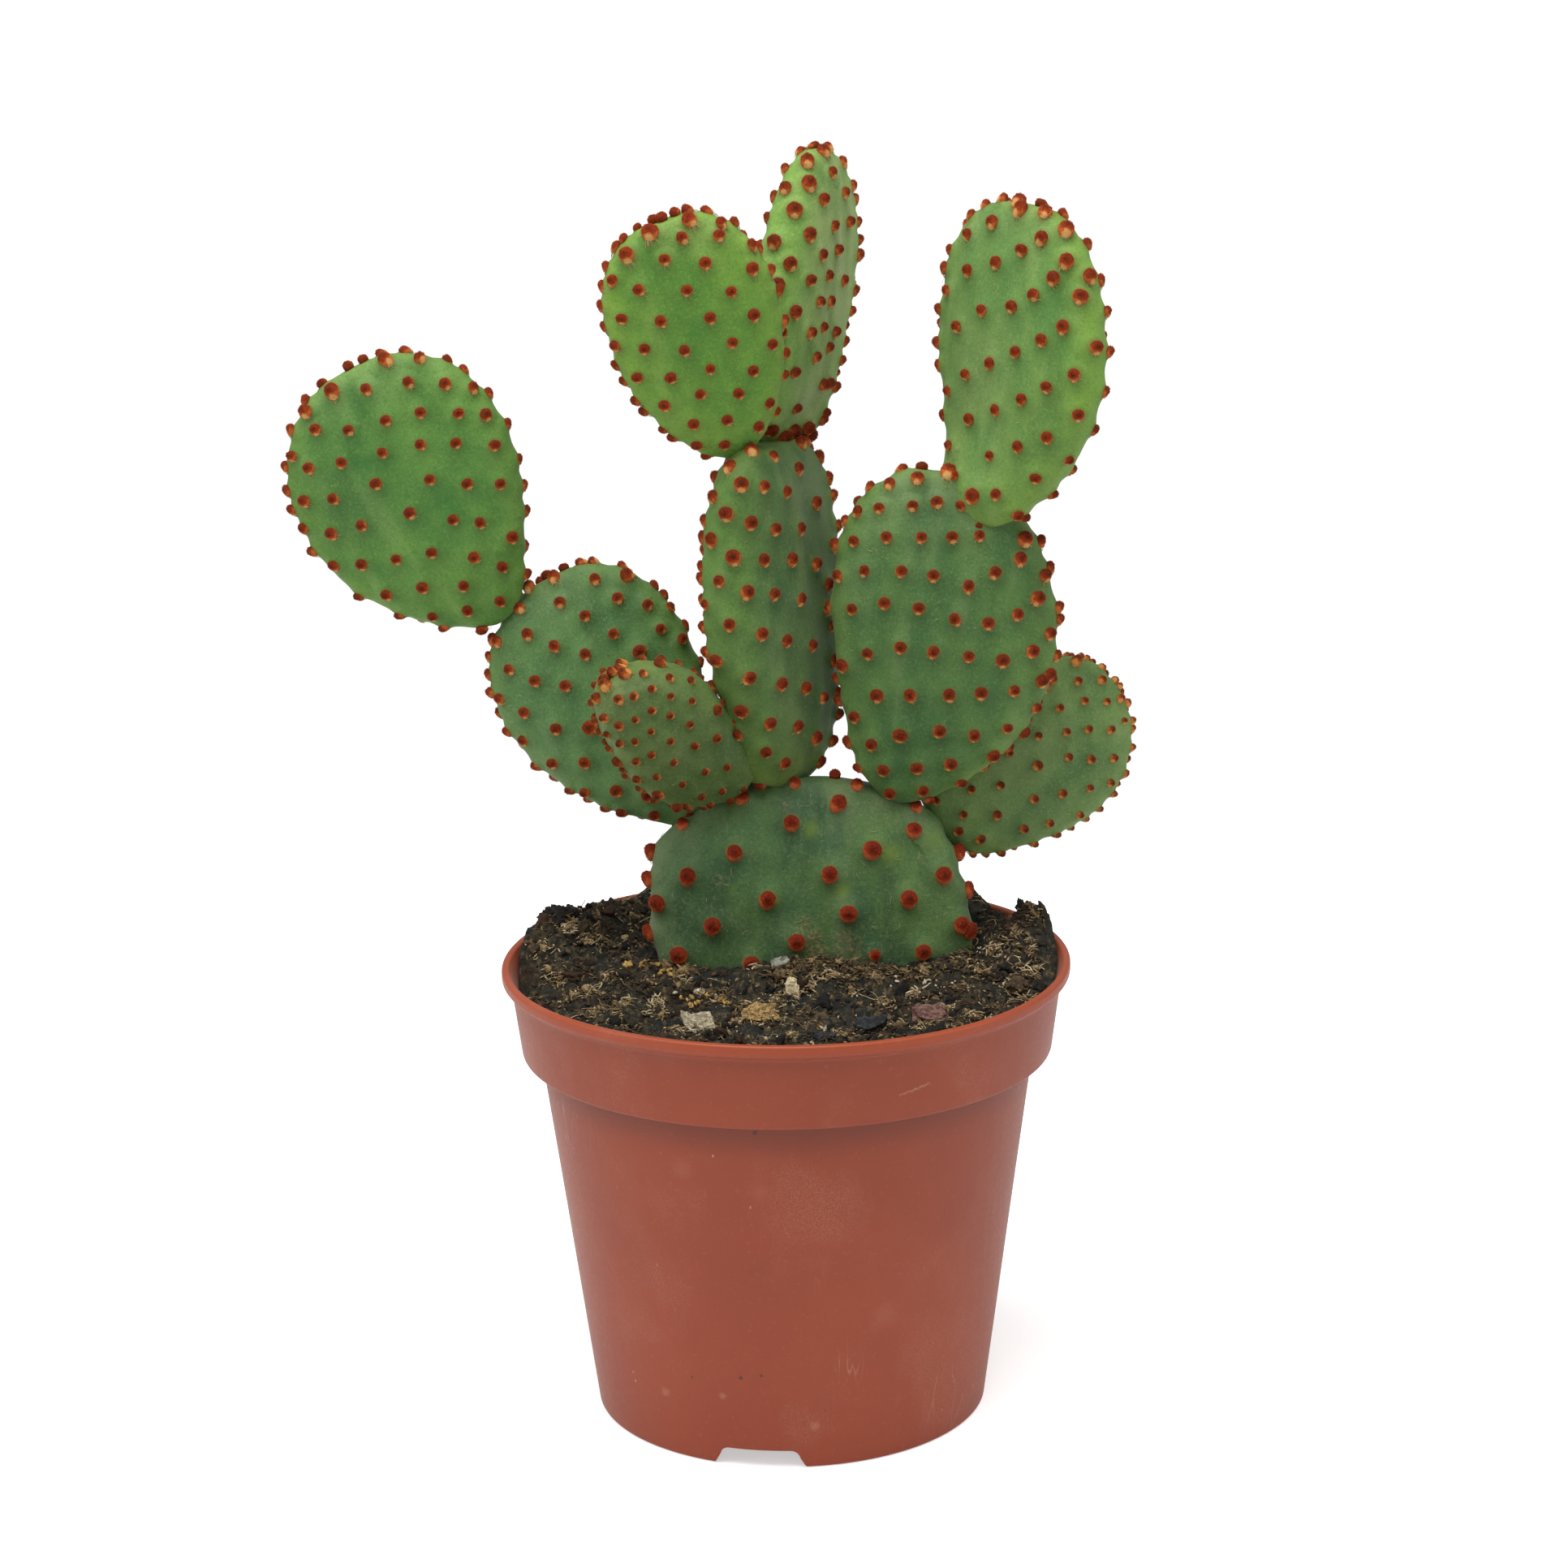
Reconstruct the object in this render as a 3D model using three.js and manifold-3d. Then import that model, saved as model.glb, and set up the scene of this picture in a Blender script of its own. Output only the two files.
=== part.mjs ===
// Potted paddle cactus: ten flat pads that grow from one another, rooted in a
// heaped peat mix in a flared plastic nursery pot.
// Millimetres, +Z up. Origin: centre of the pot's foot, on the surface it
// stands on. The broad face of most pads looks along -Y.
import * as THREE from "three";
import { mergeVertices } from "three/addons/utils/BufferGeometryUtils.js";
import Module from "manifold-3d";

// ---------------------------------------------------------------- dimensions
const GAP = 0.35; // clearance between pieces that touch

const POT_HEIGHT = 98.05;
const LIP_RADIUS = 60.0; // a 120 mm pot, measured over the lip
const COLLAR_TOP_RADIUS = 58.14;
const COLLAR_FOOT_RADIUS = 56.12;
const COLLAR_FOOT_Z = 79.15;
const BODY_TOP_RADIUS = 52.31;
const BODY_FOOT_RADIUS = 41.8;
const WALL = 1.2;
const FOOT_DISC_RADIUS = 24.0; // the middle of the floor stands on the ground
const FLOOR_LIFT = 5.0; // the ring round it is raised and drained
const POT_SEGMENTS = 48;

const NOTCH_HEIGHT = 4.0;
const NOTCH_WIDTH_FOOT = 18.9;
const NOTCH_WIDTH_TOP = 16.3;
const NOTCH_RADIUS = 1.8;
const NOTCH_ANGLES = [-99.5, 20.5, 140.5]; // degrees from +X

const DRAIN_COUNT = 6;
const DRAIN_RADIUS = 4.0;
const DRAIN_CIRCLE = 33.0;

const SOIL_LEVEL = 92.6;
// heaps on the soil: [x, y, rise, spread]
const SOIL_HEAPS = [
  [-50.5, 15.5, 8.8, 6.8],
  [-45, 25, 2.8, 5],
  [-39, 32, 7, 7],
  [-26, 43, 9.2, 6.5],
  [38, 41, 9.4, 8],
  [53.4, 12, 8.8, 5.8],
  [45, 26, 5, 6],
  [44, 2, 2.6, 10],
  [-50, -8, -2.5, 8],
  [6, -9, 2.8, 7],
];
const SOIL_COLLAR = { rise: 4.4, reach: 11.0 }; // heaped against the base pad

const ROOTS = [
  // each: points from the crown outwards, radius
  { r: 1.5, p: [[2, 3, 50], [-6, -2, 43], [-15, -7, 34], [-23, -9, 24], [-30, -14, 17]] },
  { r: 1.4, p: [[2, 3, 50], [10, -1, 42], [19, -6, 35], [27, -4, 26], [33, -9, 19]] },
  { r: 1.3, p: [[1, 4, 50], [-4, 12, 41], [-9, 20, 32], [-8, 28, 24], [-13, 32, 16]] },
  { r: 1.3, p: [[3, 4, 50], [9, 11, 42], [15, 19, 34], [22, 24, 25], [23, 29, 17]] },
  { r: 1.6, p: [[2, 3, 50], [2, -1, 40], [5, -6, 30], [1, -10, 21], [4, -17, 14]] },
];

// Pads. base: where the pad grows from its parent; tilt, lean, yaw in degrees:
// tilt turns the pad's axis to the right in the XZ plane, lean tips it back
// along +Y, yaw turns its face round the axis. The outline is
// t^a (1-t)^b scaled to the width; ta, tb shape the thickness the same way;
// c1, c2 bend the outline's middle line sideways. pulls draw the skin towards a
// neighbour: [height, degrees round] of a point, the way it goes, the reach.
const PADS = {
  pad_1_base: { parent: null, base: [1.5, 3.0, 52.0], tilt: 6.4, lean: 1, yaw: 0, length: 84.3, width: 67.9, thickness: 16.0, a: 0.74, b: 0.48, c1: -0.45, c2: 2.07, pulls: [[0.805, 186, [-2.4, 0, 0.8], 9], [0.932, 357, [0.5, 0, 1], 8]] },
  pad_2_left: { parent: "pad_1_base", base: [-22.0, 7.0, 126.7], tilt: -27.8, lean: 7, yaw: -4, length: 57.9, width: 43.0, thickness: 13.0, a: 0.72, b: 0.46, c1: -1.4, c2: 0.2, pulls: [[0.1, 0, [6, 0, -5], 9]] },
  pad_3_far_left: { parent: "pad_2_left", base: [-60.1, 12.0, 168.4], tilt: -27.1, lean: -3, yaw: -8, length: 61.3, width: 48.8, thickness: 11.4, a: 0.69, b: 0.47, c1: -2.15, c2: -0.83, pulls: [[0.05, 0, [1.5, 0, -0.6], 6.5]] },
  pad_4_young: { parent: "pad_1_base", base: [-11.1, 1.5, 134.2], tilt: -41.8, lean: -24, yaw: 8, length: 40.7, width: 24.3, thickness: 14.9, a: 0.6, b: 0.58, c1: 0.68, c2: -0.86, pulls: [[0.12, 0, [3.4, 0, -1.6], 9]] },
  pad_5_centre: { parent: "pad_1_base", base: [1.9, 6.5, 134.3], tilt: -3.0, lean: 2, yaw: 55, length: 72.4, width: 38.5, thickness: 17.2, a: 0.43, b: 0.33, ta: 0.36, tb: 0.27, c1: -2.4, c2: 0.0, pulls: [[0.93, 180, [0, -5.5, 1.5], 10], [0.06, 180, [-2.5, 0, -1], 8]] },
  pad_6_upper_left: { parent: "pad_5_centre", base: [-7.7, -0.6, 205.15], tilt: -16.7, lean: -11.5, yaw: 6, length: 52.6, width: 34.7, thickness: 11.5, a: 0.62, b: 0.41, c1: -0.39, c2: -0.3 },
  pad_7_upper_middle: { parent: "pad_5_centre", base: [4.5, 16, 203.4], tilt: 4.1, lean: 5, yaw: 62, length: 62.2, width: 33.4, thickness: 11.9, a: 0.58, b: 0.51, c1: -2.62, c2: -1.79, pulls: [[0.08, 180, [-3.5, 0, -1.5], 8], [0.08, 270, [-3.5, 0, -1], 7]] },
  pad_8_right: { parent: "pad_1_base", base: [24.1, 1.0, 131.2], tilt: 7.9, lean: -1, yaw: -3, length: 70.8, width: 46.4, thickness: 14.0, a: 0.59, b: 0.43, c1: 4.83, c2: 1.07 },
  pad_9_upper_right: { parent: "pad_8_right", base: [44.2, -1.0, 191.4], tilt: 5.4, lean: -1, yaw: -46, length: 64.8, width: 42.0, thickness: 13.3, a: 0.6, b: 0.42, c1: 3.0, c2: 0.67, pulls: [[0.085, 150, [-4.2, -1.5, -1], 9], [0.06, 92, [-1, -2.6, -1], 8.5]] },
  pad_10_low_right: { parent: "pad_1_base", base: [34.3, 7.5, 120.8], tilt: 47.9, lean: 16, yaw: 5, length: 49.5, width: 35.1, thickness: 13.1, a: 0.6, b: 0.48, c1: 0.42, c2: -1.1, pulls: [[0.1, 180, [-2.5, 0, 0.2], 7]] },
};
// pads that press on a neighbour which isn't their parent
const PRESSED = { pad_4_young: ["pad_5_centre"] };
const EDGE_POWER = 2.5; // cross-section: blunter than an ellipse

// Tufts of barbed hairs. Each pad: three numbers per tuft, which are the height
// along the pad in thousandths, degrees round it, radius in hundredths of a mm.
const TUFT_HEIGHT = 1.95; // in radii
const TUFT_BASE = 1.12; // in radii
const TUFT_SINK = 0.9; // how deep a tuft's foot sits in its pad
const TUFT_CLEARANCE = 3.4; // no tuft nearer than this to another pad
const SOIL_CLEARANCE = 102.5; // no tuft lower than this
const TUFT_FACING = 0.1; // tufts that look further back than this stay flat
const TUFTS = {
  pad_1_base: [
    932, 150, 136, 844, 165, 115, 980, 129, 110, 1000, 213, 112, 989, 63, 110, 948, 87, 154,
    892, 102, 159, 804, 120, 162, 760, 180, 158, 892, 45, 142, 940, 24, 110, 844, 72, 162, 831,
    0, 165, 697, 177, 152, 729, 138, 162, 775, 87, 162, 790, 33, 162, 697, 102, 162, 648, 159,
    162, 729, 57, 162, 745, 3, 151, 614, 123, 162, 681, 81, 162, 665, 24, 162, 648, 15, 159,
    562, 177, 162, 596, 93, 162, 526, 144, 162, 596, 51, 162, 526, 108, 162, 579, 72, 110, 438,
    270, 165, 474, 348, 175, 404, 228, 153, 681, 270, 160, 509, 294, 151, 697, 246, 174, 844,
    276, 169, 844, 252, 175, 697, 294, 159, 544, 255, 172, 404, 177, 172, 831, 306, 167, 932,
    297, 166, 562, 231, 162, 579, 318, 159, 869, 222, 152, 963, 213, 159, 980, 6, 154, 913,
    264, 148, 579, 279, 172, 892, 339, 170, 665, 222, 158, 421, 255, 158, 697, 318, 163, 491,
    204, 150, 775, 222, 152, 562, 0, 159, 902, 174, 161, 940, 276, 155, 790, 267, 152, 474,
    312, 161,
  ],
  pad_2_left: [
    992, 138, 135, 948, 123, 122, 1000, 60, 120, 985, 78, 135, 995, 9, 109, 980, 0, 120, 963,
    0, 111, 913, 51, 118, 902, 357, 111, 869, 21, 148, 790, 357, 108, 745, 357, 113, 902, 87,
    110, 818, 51, 110, 745, 33, 117, 697, 6, 110, 818, 78, 110, 714, 69, 110, 648, 36, 110,
    614, 357, 117, 579, 18, 110, 474, 357, 110, 857, 111, 114, 775, 96, 117, 697, 87, 110, 614,
    60, 141, 892, 171, 118, 880, 150, 115, 775, 132, 113, 697, 114, 111, 631, 99, 117, 844,
    171, 116, 790, 171, 118, 697, 153, 110, 729, 171, 119, 614, 132, 114, 509, 117, 118, 456,
    99, 145, 579, 171, 120, 526, 150, 110, 404, 141, 120, 352, 117, 120, 421, 171, 115, 255,
    147, 110, 286, 168, 108, 210, 117, 130, 169, 168, 111, 131, 150, 110, 156, 99, 129, 78,
    117, 110, 11, 150, 110, 52, 78, 122, 225, 3, 120, 438, 282, 110, 562, 258, 112, 818, 267,
    105, 404, 66, 117, 665, 288, 115, 319, 255, 105, 225, 282, 117, 714, 240, 123, 108, 351,
    114, 902, 237, 122, 844, 291, 111, 352, 18, 112, 509, 228, 116, 240, 72, 104, 544, 306,
    108, 335, 309, 122, 544, 84, 111, 369, 225, 111, 169, 255, 111, 948, 174, 107, 932, 264,
    117, 648, 216, 118, 319, 93, 111, 491, 48, 120, 665, 315, 118, 681, 267, 123, 975, 210,
    124, 438, 267, 109, 790, 312, 103, 562, 276, 114, 255, 225, 110, 818, 222, 118, 932, 282,
    113, 438, 318, 105, 335, 273, 118, 509, 195, 123, 456, 249, 114, 421, 87, 110, 303, 48,
    106, 98, 273, 111, 210, 312, 107, 790, 252, 115, 303, 345, 120, 352, 189, 116, 87, 213,
    113, 745, 210, 107, 892, 213, 112, 182, 42, 114, 544, 330, 113, 913, 318, 106, 509, 69,
    114, 729, 276, 115, 596, 240, 116, 438, 210, 107, 648, 186, 117, 131, 66, 122, 438, 27,
    110, 335, 78, 109, 225, 186, 105, 386, 342, 106, 169, 222, 113, 844, 276, 103, 665, 255,
    111, 989, 252, 105, 169, 351, 111, 352, 288, 117, 456, 297, 110,
  ],
  pad_3_far_left: [
    956, 351, 121, 985, 351, 114, 969, 39, 149, 922, 18, 126, 869, 354, 122, 818, 354, 107,
    997, 345, 116, 1000, 327, 112, 989, 174, 119, 963, 108, 152, 922, 84, 115, 880, 57, 114,
    818, 36, 115, 760, 15, 111, 714, 357, 109, 940, 144, 133, 963, 174, 120, 880, 123, 122,
    831, 99, 114, 804, 84, 110, 775, 66, 110, 714, 45, 110, 665, 24, 119, 596, 357, 115, 902,
    171, 120, 831, 153, 116, 775, 132, 125, 745, 108, 110, 714, 90, 110, 681, 75, 114, 631, 57,
    110, 562, 30, 120, 474, 357, 114, 804, 171, 113, 729, 171, 119, 681, 144, 122, 648, 120,
    113, 631, 96, 124, 562, 78, 114, 491, 60, 116, 438, 36, 119, 665, 171, 122, 596, 159, 110,
    544, 132, 121, 526, 111, 121, 491, 90, 124, 404, 75, 110, 352, 60, 113, 255, 33, 126, 509,
    171, 112, 438, 150, 110, 404, 126, 118, 369, 105, 112, 335, 90, 110, 255, 72, 112, 182, 51,
    117, 120, 0, 121, 303, 168, 121, 271, 132, 119, 240, 105, 121, 182, 87, 114, 87, 66, 114,
    182, 165, 109, 131, 129, 110, 98, 96, 117, 78, 162, 116, 15, 150, 117, 631, 273, 116, 491,
    261, 107, 857, 267, 122, 474, 288, 107, 681, 252, 120, 804, 288, 112, 303, 276, 113, 648,
    297, 117, 491, 234, 121, 319, 255, 104, 369, 315, 107, 831, 243, 105, 182, 264, 116, 665,
    228, 111, 255, 303, 116, 352, 231, 113, 509, 309, 113, 902, 282, 115, 386, 201, 119, 775,
    309, 113, 156, 288, 120, 818, 219, 112, 303, 351, 108, 869, 309, 119, 913, 246, 116, 562,
    213, 118, 421, 273, 121, 196, 237, 104, 386, 354, 113, 745, 264, 122, 648, 321, 108, 948,
    261, 114, 579, 246, 112, 255, 216, 122, 196, 339, 117, 913, 219, 111, 369, 288, 111, 579,
    285, 118, 614, 264, 106, 526, 273, 106, 729, 276, 113, 131, 195, 114, 474, 207, 123, 544,
    327, 107, 438, 249, 106, 87, 252, 116,
  ],
  pad_4_young: [
    963, 345, 115, 975, 0, 115, 989, 0, 115, 969, 30, 115, 1000, 135, 115, 995, 111, 115, 969,
    168, 115, 913, 33, 75, 844, 6, 114, 804, 345, 82, 729, 351, 75, 880, 336, 82, 804, 36, 77,
    697, 27, 76, 648, 357, 79, 544, 6, 81, 940, 99, 91, 902, 84, 83, 857, 63, 78, 760, 63, 75,
    648, 54, 75, 857, 186, 78, 902, 147, 99, 844, 126, 86, 818, 102, 75, 790, 87, 77, 697, 81,
    76, 579, 75, 76, 491, 39, 115, 818, 159, 76, 729, 120, 75, 760, 141, 82, 714, 99, 75, 596,
    93, 80, 474, 84, 84, 404, 63, 88, 714, 177, 76, 648, 168, 115, 631, 135, 77, 614, 114, 75,
    491, 102, 77, 319, 90, 75, 255, 75, 78, 579, 174, 77, 526, 153, 91, 491, 126, 75, 352, 111,
    75, 156, 93, 75, 78, 75, 76, 438, 171, 80, 386, 144, 112, 210, 111, 81, 240, 147, 115, 210,
    141, 82, 120, 123, 75, 52, 105, 75, 491, 270, 82, 286, 333, 72, 240, 258, 80, 760, 264, 79,
    131, 354, 74, 303, 207, 75, 614, 234, 73, 509, 309, 79, 143, 204, 85, 913, 246, 72, 386, 3,
    78, 255, 21, 82, 438, 240, 82, 697, 294, 73, 98, 276, 80, 319, 285, 79, 526, 207, 84, 869,
    282, 79, 760, 225, 75, 319, 174, 83, 474, 342, 72, 648, 201, 78, 421, 198, 72, 631, 321,
    79, 196, 297, 74, 969, 276, 80, 631, 267, 75, 78, 177, 85, 386, 309, 80, 210, 180, 75, 913,
    207, 81, 386, 264, 76, 804, 303, 79, 210, 351, 80, 775, 195, 85, 78, 21, 85, 579, 288, 76,
    98, 243, 83, 303, 0, 83, 562, 345, 72, 369, 339, 84, 509, 183, 83, 143, 168, 73, 544, 255,
    77, 319, 243, 79, 438, 285, 77, 78, 321, 83, 844, 231, 78, 225, 231, 81, 456, 15, 72, 922,
    309, 73, 969, 231, 72, 681, 249, 74, 182, 15, 82, 196, 273, 76, 729, 318, 73, 760, 279, 78,
    844, 261, 73, 386, 222, 77, 579, 189, 81, 271, 186, 73, 303, 306, 81, 352, 21, 81, 286,
    270, 82, 225, 204, 79, 352, 192, 78, 225, 321, 85, 831, 207, 85, 697, 216, 79, 714, 192,
    72, 902, 270, 84,
  ],
  pad_5_centre: [
    992, 192, 151, 975, 162, 148, 963, 120, 122, 980, 66, 137, 999, 9, 162, 969, 219, 115, 932,
    39, 131, 940, 183, 142, 922, 90, 131, 913, 213, 127, 869, 39, 136, 902, 162, 138, 892, 132,
    125, 869, 105, 128, 818, 39, 134, 869, 195, 132, 818, 78, 133, 831, 174, 156, 804, 144,
    136, 775, 117, 129, 760, 93, 125, 729, 39, 130, 804, 210, 131, 760, 186, 149, 760, 210,
    134, 714, 162, 144, 697, 129, 129, 681, 102, 126, 648, 84, 122, 681, 57, 140, 681, 210,
    120, 648, 210, 122, 648, 177, 135, 614, 147, 140, 596, 120, 128, 562, 96, 129, 509, 75,
    124, 579, 72, 120, 579, 195, 112, 509, 210, 122, 526, 168, 130, 491, 135, 139, 456, 111,
    122, 421, 90, 118, 456, 69, 110, 438, 207, 132, 421, 186, 141, 369, 153, 136, 335, 120,
    137, 303, 96, 129, 255, 81, 120, 352, 66, 133, 255, 57, 110, 335, 207, 136, 271, 171, 135,
    225, 138, 122, 196, 105, 122, 143, 87, 130, 182, 42, 131, 196, 183, 117, 143, 147, 129, 98,
    120, 121, 108, 207, 110, 60, 69, 123, 108, 45, 125, 37, 177, 110, 526, 342, 138, 579, 273,
    132, 804, 276, 119, 335, 273, 137, 352, 354, 117, 697, 312, 123, 880, 312, 136, 156, 279,
    133, 225, 324, 119, 648, 0, 139, 456, 294, 136, 790, 345, 131, 969, 342, 129, 922, 270,
    135, 697, 255, 121, 456, 24, 137, 474, 252, 134, 240, 249, 139, 902, 357, 124, 818, 252,
    121, 579, 39, 119, 579, 300, 125, 108, 324, 137, 255, 6, 124, 335, 300, 126, 352, 249, 123,
    596, 243, 124, 992, 264, 138, 438, 348, 118, 335, 33, 134, 697, 279, 125, 956, 291, 135,
    87, 258, 120, 474, 273, 120, 169, 357, 131, 729, 3, 127, 902, 252, 118, 985, 18, 129, 255,
    219, 130, 562, 6, 123, 614, 324, 119, 790, 309, 138, 844, 3, 131, 404, 315, 126, 880, 285,
    127, 240, 288, 120, 303, 327, 137, 948, 6, 138, 182, 225, 122, 509, 312, 118, 169, 258,
    139, 648, 30, 139, 404, 267, 124, 78, 3, 119, 78, 288, 133, 614, 261, 123, 857, 336, 137,
    404, 48, 121, 404, 234, 136, 386, 15, 119, 745, 267, 135, 491, 51, 137, 526, 285, 120, 697,
    342, 137, 989, 324, 131, 714, 234, 129, 963, 252, 138, 491, 3, 137, 790, 12, 122, 857, 234,
    133, 271, 267, 131, 526, 237, 135, 404, 282, 130, 932, 336, 133, 745, 291, 120, 596, 351,
    132, 648, 294, 124, 544, 255, 127, 775, 240, 133, 857, 270, 132, 526, 27, 127, 579, 225,
    124, 169, 306, 122, 997, 298, 125, 976, 30, 125,
  ],
  pad_6_upper_left: [
    989, 348, 115, 975, 54, 147, 963, 354, 115, 922, 27, 112, 892, 0, 112, 997, 333, 107, 1000,
    297, 117, 999, 225, 105, 980, 111, 159, 969, 189, 105, 932, 81, 118, 892, 48, 122, 948,
    186, 118, 932, 138, 156, 880, 96, 114, 818, 75, 114, 804, 18, 110, 775, 3, 109, 729, 39,
    119, 892, 183, 110, 857, 153, 113, 831, 180, 109, 804, 120, 115, 745, 90, 110, 681, 66,
    111, 681, 6, 104, 596, 6, 118, 760, 180, 111, 714, 141, 113, 665, 108, 110, 614, 84, 117,
    562, 54, 119, 474, 6, 115, 681, 180, 103, 614, 159, 110, 579, 126, 111, 526, 99, 110, 491,
    75, 114, 421, 39, 119, 352, 9, 116, 526, 177, 111, 474, 144, 113, 438, 114, 110, 421, 90,
    110, 352, 63, 116, 271, 9, 110, 456, 177, 103, 369, 174, 113, 335, 132, 110, 335, 99, 110,
    286, 78, 110, 196, 42, 110, 143, 12, 108, 319, 174, 112, 225, 171, 104, 225, 117, 110, 196,
    90, 110, 120, 57, 110, 182, 171, 112, 131, 138, 110, 98, 102, 110, 68, 165, 103, 631, 267,
    119, 404, 279, 113, 818, 276, 111, 456, 249, 114, 579, 294, 111, 790, 249, 108, 255, 264,
    105, 614, 237, 107, 760, 303, 102, 255, 294, 107, 421, 309, 106, 902, 258, 101, 131, 276,
    120, 286, 234, 111, 544, 324, 118, 869, 303, 119, 509, 222, 120, 665, 318, 116, 729, 228,
    103, 509, 270, 112, 156, 237, 102, 697, 279, 118, 922, 279, 108, 596, 207, 108, 869, 231,
    102, 303, 318, 111, 78, 324, 112, 404, 225, 108, 369, 264, 102, 210, 330, 104, 818, 333,
    110, 745, 267, 111, 421, 339, 106, 562, 255, 119, 681, 252, 114, 989, 207, 100,
  ],
  pad_7_upper_middle: [
    999, 195, 114, 981, 216, 112, 985, 120, 149, 950, 162, 154, 995, 66, 119, 957, 51, 113,
    924, 216, 119, 924, 99, 113, 883, 147, 159, 861, 183, 139, 861, 81, 110, 883, 48, 116, 836,
    213, 113, 836, 117, 135, 796, 162, 155, 767, 213, 114, 752, 96, 110, 767, 75, 110, 767, 45,
    110, 690, 180, 139, 722, 132, 140, 658, 108, 112, 675, 90, 110, 658, 45, 124, 625, 153,
    140, 575, 120, 126, 591, 96, 110, 575, 78, 110, 540, 45, 120, 557, 165, 145, 472, 135, 133,
    506, 102, 110, 506, 90, 110, 472, 45, 110, 404, 108, 118, 421, 93, 110, 404, 78, 110, 371,
    45, 110, 277, 126, 117, 323, 96, 110, 354, 84, 110, 307, 45, 116, 233, 81, 118, 233, 69,
    124, 219, 45, 121, 168, 105, 110, 113, 45, 124, 134, 45, 110, 44, 105, 130, 113, 174, 148,
    658, 282, 125, 354, 189, 122, 472, 276, 108, 823, 273, 113, 608, 252, 114, 354, 255, 127,
    591, 336, 127, 836, 336, 108, 307, 285, 114, 421, 324, 108, 472, 228, 117, 722, 348, 118,
    924, 333, 107, 206, 195, 110, 168, 273, 108, 277, 327, 115, 722, 261, 110, 540, 297, 118,
    924, 276, 127, 489, 0, 120, 454, 183, 122, 591, 222, 118, 489, 258, 126, 233, 252, 120,
    976, 324, 110, 339, 0, 113, 737, 300, 111, 180, 333, 110, 277, 171, 110, 836, 252, 107,
    642, 6, 122, 575, 270, 123, 836, 21, 126, 292, 228, 110, 836, 297, 110, 675, 228, 114, 387,
    297, 114, 895, 3, 122, 421, 12, 112, 642, 306, 127, 404, 153, 126, 916, 255, 112, 523, 198,
    121, 557, 12, 117, 262, 12, 111, 387, 270, 107, 942, 15, 126, 782, 3, 107, 105, 246, 109,
    105, 294, 126, 387, 228, 117, 608, 189, 107, 506, 321, 125, 219, 294, 122, 168, 225, 125,
    737, 273, 114, 262, 270, 123, 767, 243, 117, 540, 243, 123, 767, 324, 121, 658, 330, 120,
    706, 27, 117, 339, 153, 111, 354, 321, 125, 113, 339, 112, 976, 276, 126,
  ],
  pad_8_right: [
    922, 180, 114, 948, 147, 110, 980, 186, 129, 975, 120, 130, 995, 195, 117, 995, 84, 162,
    880, 135, 110, 902, 108, 110, 922, 93, 119, 857, 159, 110, 818, 177, 115, 775, 147, 110,
    804, 120, 115, 818, 99, 118, 831, 87, 120, 844, 72, 115, 844, 33, 153, 831, 3, 127, 745,
    177, 140, 697, 132, 110, 714, 108, 115, 714, 93, 120, 697, 81, 124, 745, 66, 128, 790, 45,
    136, 745, 21, 139, 760, 3, 121, 665, 159, 113, 579, 141, 117, 614, 117, 127, 614, 99, 129,
    596, 87, 123, 596, 72, 124, 631, 54, 125, 681, 36, 144, 648, 3, 127, 614, 3, 127, 456, 129,
    122, 491, 108, 131, 491, 93, 129, 491, 81, 114, 491, 63, 133, 526, 42, 127, 579, 24, 122,
    404, 156, 136, 335, 123, 131, 352, 102, 130, 369, 87, 130, 386, 72, 124, 404, 51, 121, 438,
    27, 134, 509, 6, 110, 456, 18, 143, 255, 147, 121, 225, 105, 144, 255, 87, 134, 255, 66,
    128, 286, 42, 110, 352, 18, 110, 182, 129, 122, 169, 174, 128, 271, 9, 130, 108, 117, 122,
    131, 90, 130, 156, 69, 124, 196, 33, 128, 98, 165, 112, 37, 111, 126, 60, 72, 119, 98, 30,
    110, 31, 24, 110, 963, 351, 124, 562, 267, 129, 760, 276, 116, 562, 294, 114, 369, 267,
    123, 831, 255, 129, 631, 240, 118, 369, 294, 120, 456, 237, 122, 902, 276, 111, 509, 198,
    117, 255, 246, 126, 225, 279, 119, 857, 309, 115, 714, 300, 114, 335, 216, 118, 456, 315,
    113, 760, 231, 128, 992, 354, 128, 913, 354, 132, 143, 264, 133, 614, 204, 116, 240, 309,
    112, 681, 264, 119, 562, 321, 115, 648, 279, 120, 857, 228, 113, 922, 258, 122, 491, 276,
    125, 335, 324, 125, 421, 207, 128, 913, 48, 128, 143, 345, 113, 697, 327, 114, 404, 345,
    131, 120, 291, 122, 240, 213, 132, 369, 249, 112, 969, 273, 117, 474, 258, 111, 790, 321,
    120, 156, 231, 130, 922, 231, 115, 697, 213, 124, 286, 183, 129, 913, 297, 117, 544, 231,
    112, 210, 348, 124, 869, 198, 123, 963, 48, 119, 714, 249, 132, 78, 243, 129, 474, 294,
    129, 335, 279, 131, 562, 180, 130, 352, 180, 119, 775, 207, 124, 831, 285, 119, 271, 267,
    133, 790, 267, 112, 474, 339, 133,
  ],
  pad_9_upper_right: [
    992, 159, 121, 995, 90, 162, 997, 333, 123, 969, 159, 116, 932, 159, 123, 980, 81, 162,
    980, 33, 162, 975, 339, 132, 932, 105, 135, 880, 129, 118, 913, 57, 147, 940, 15, 161, 902,
    342, 127, 818, 159, 117, 869, 78, 131, 818, 93, 126, 775, 114, 124, 857, 33, 159, 760, 156,
    126, 818, 6, 150, 804, 342, 122, 697, 138, 110, 804, 51, 139, 745, 69, 126, 697, 84, 128,
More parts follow.
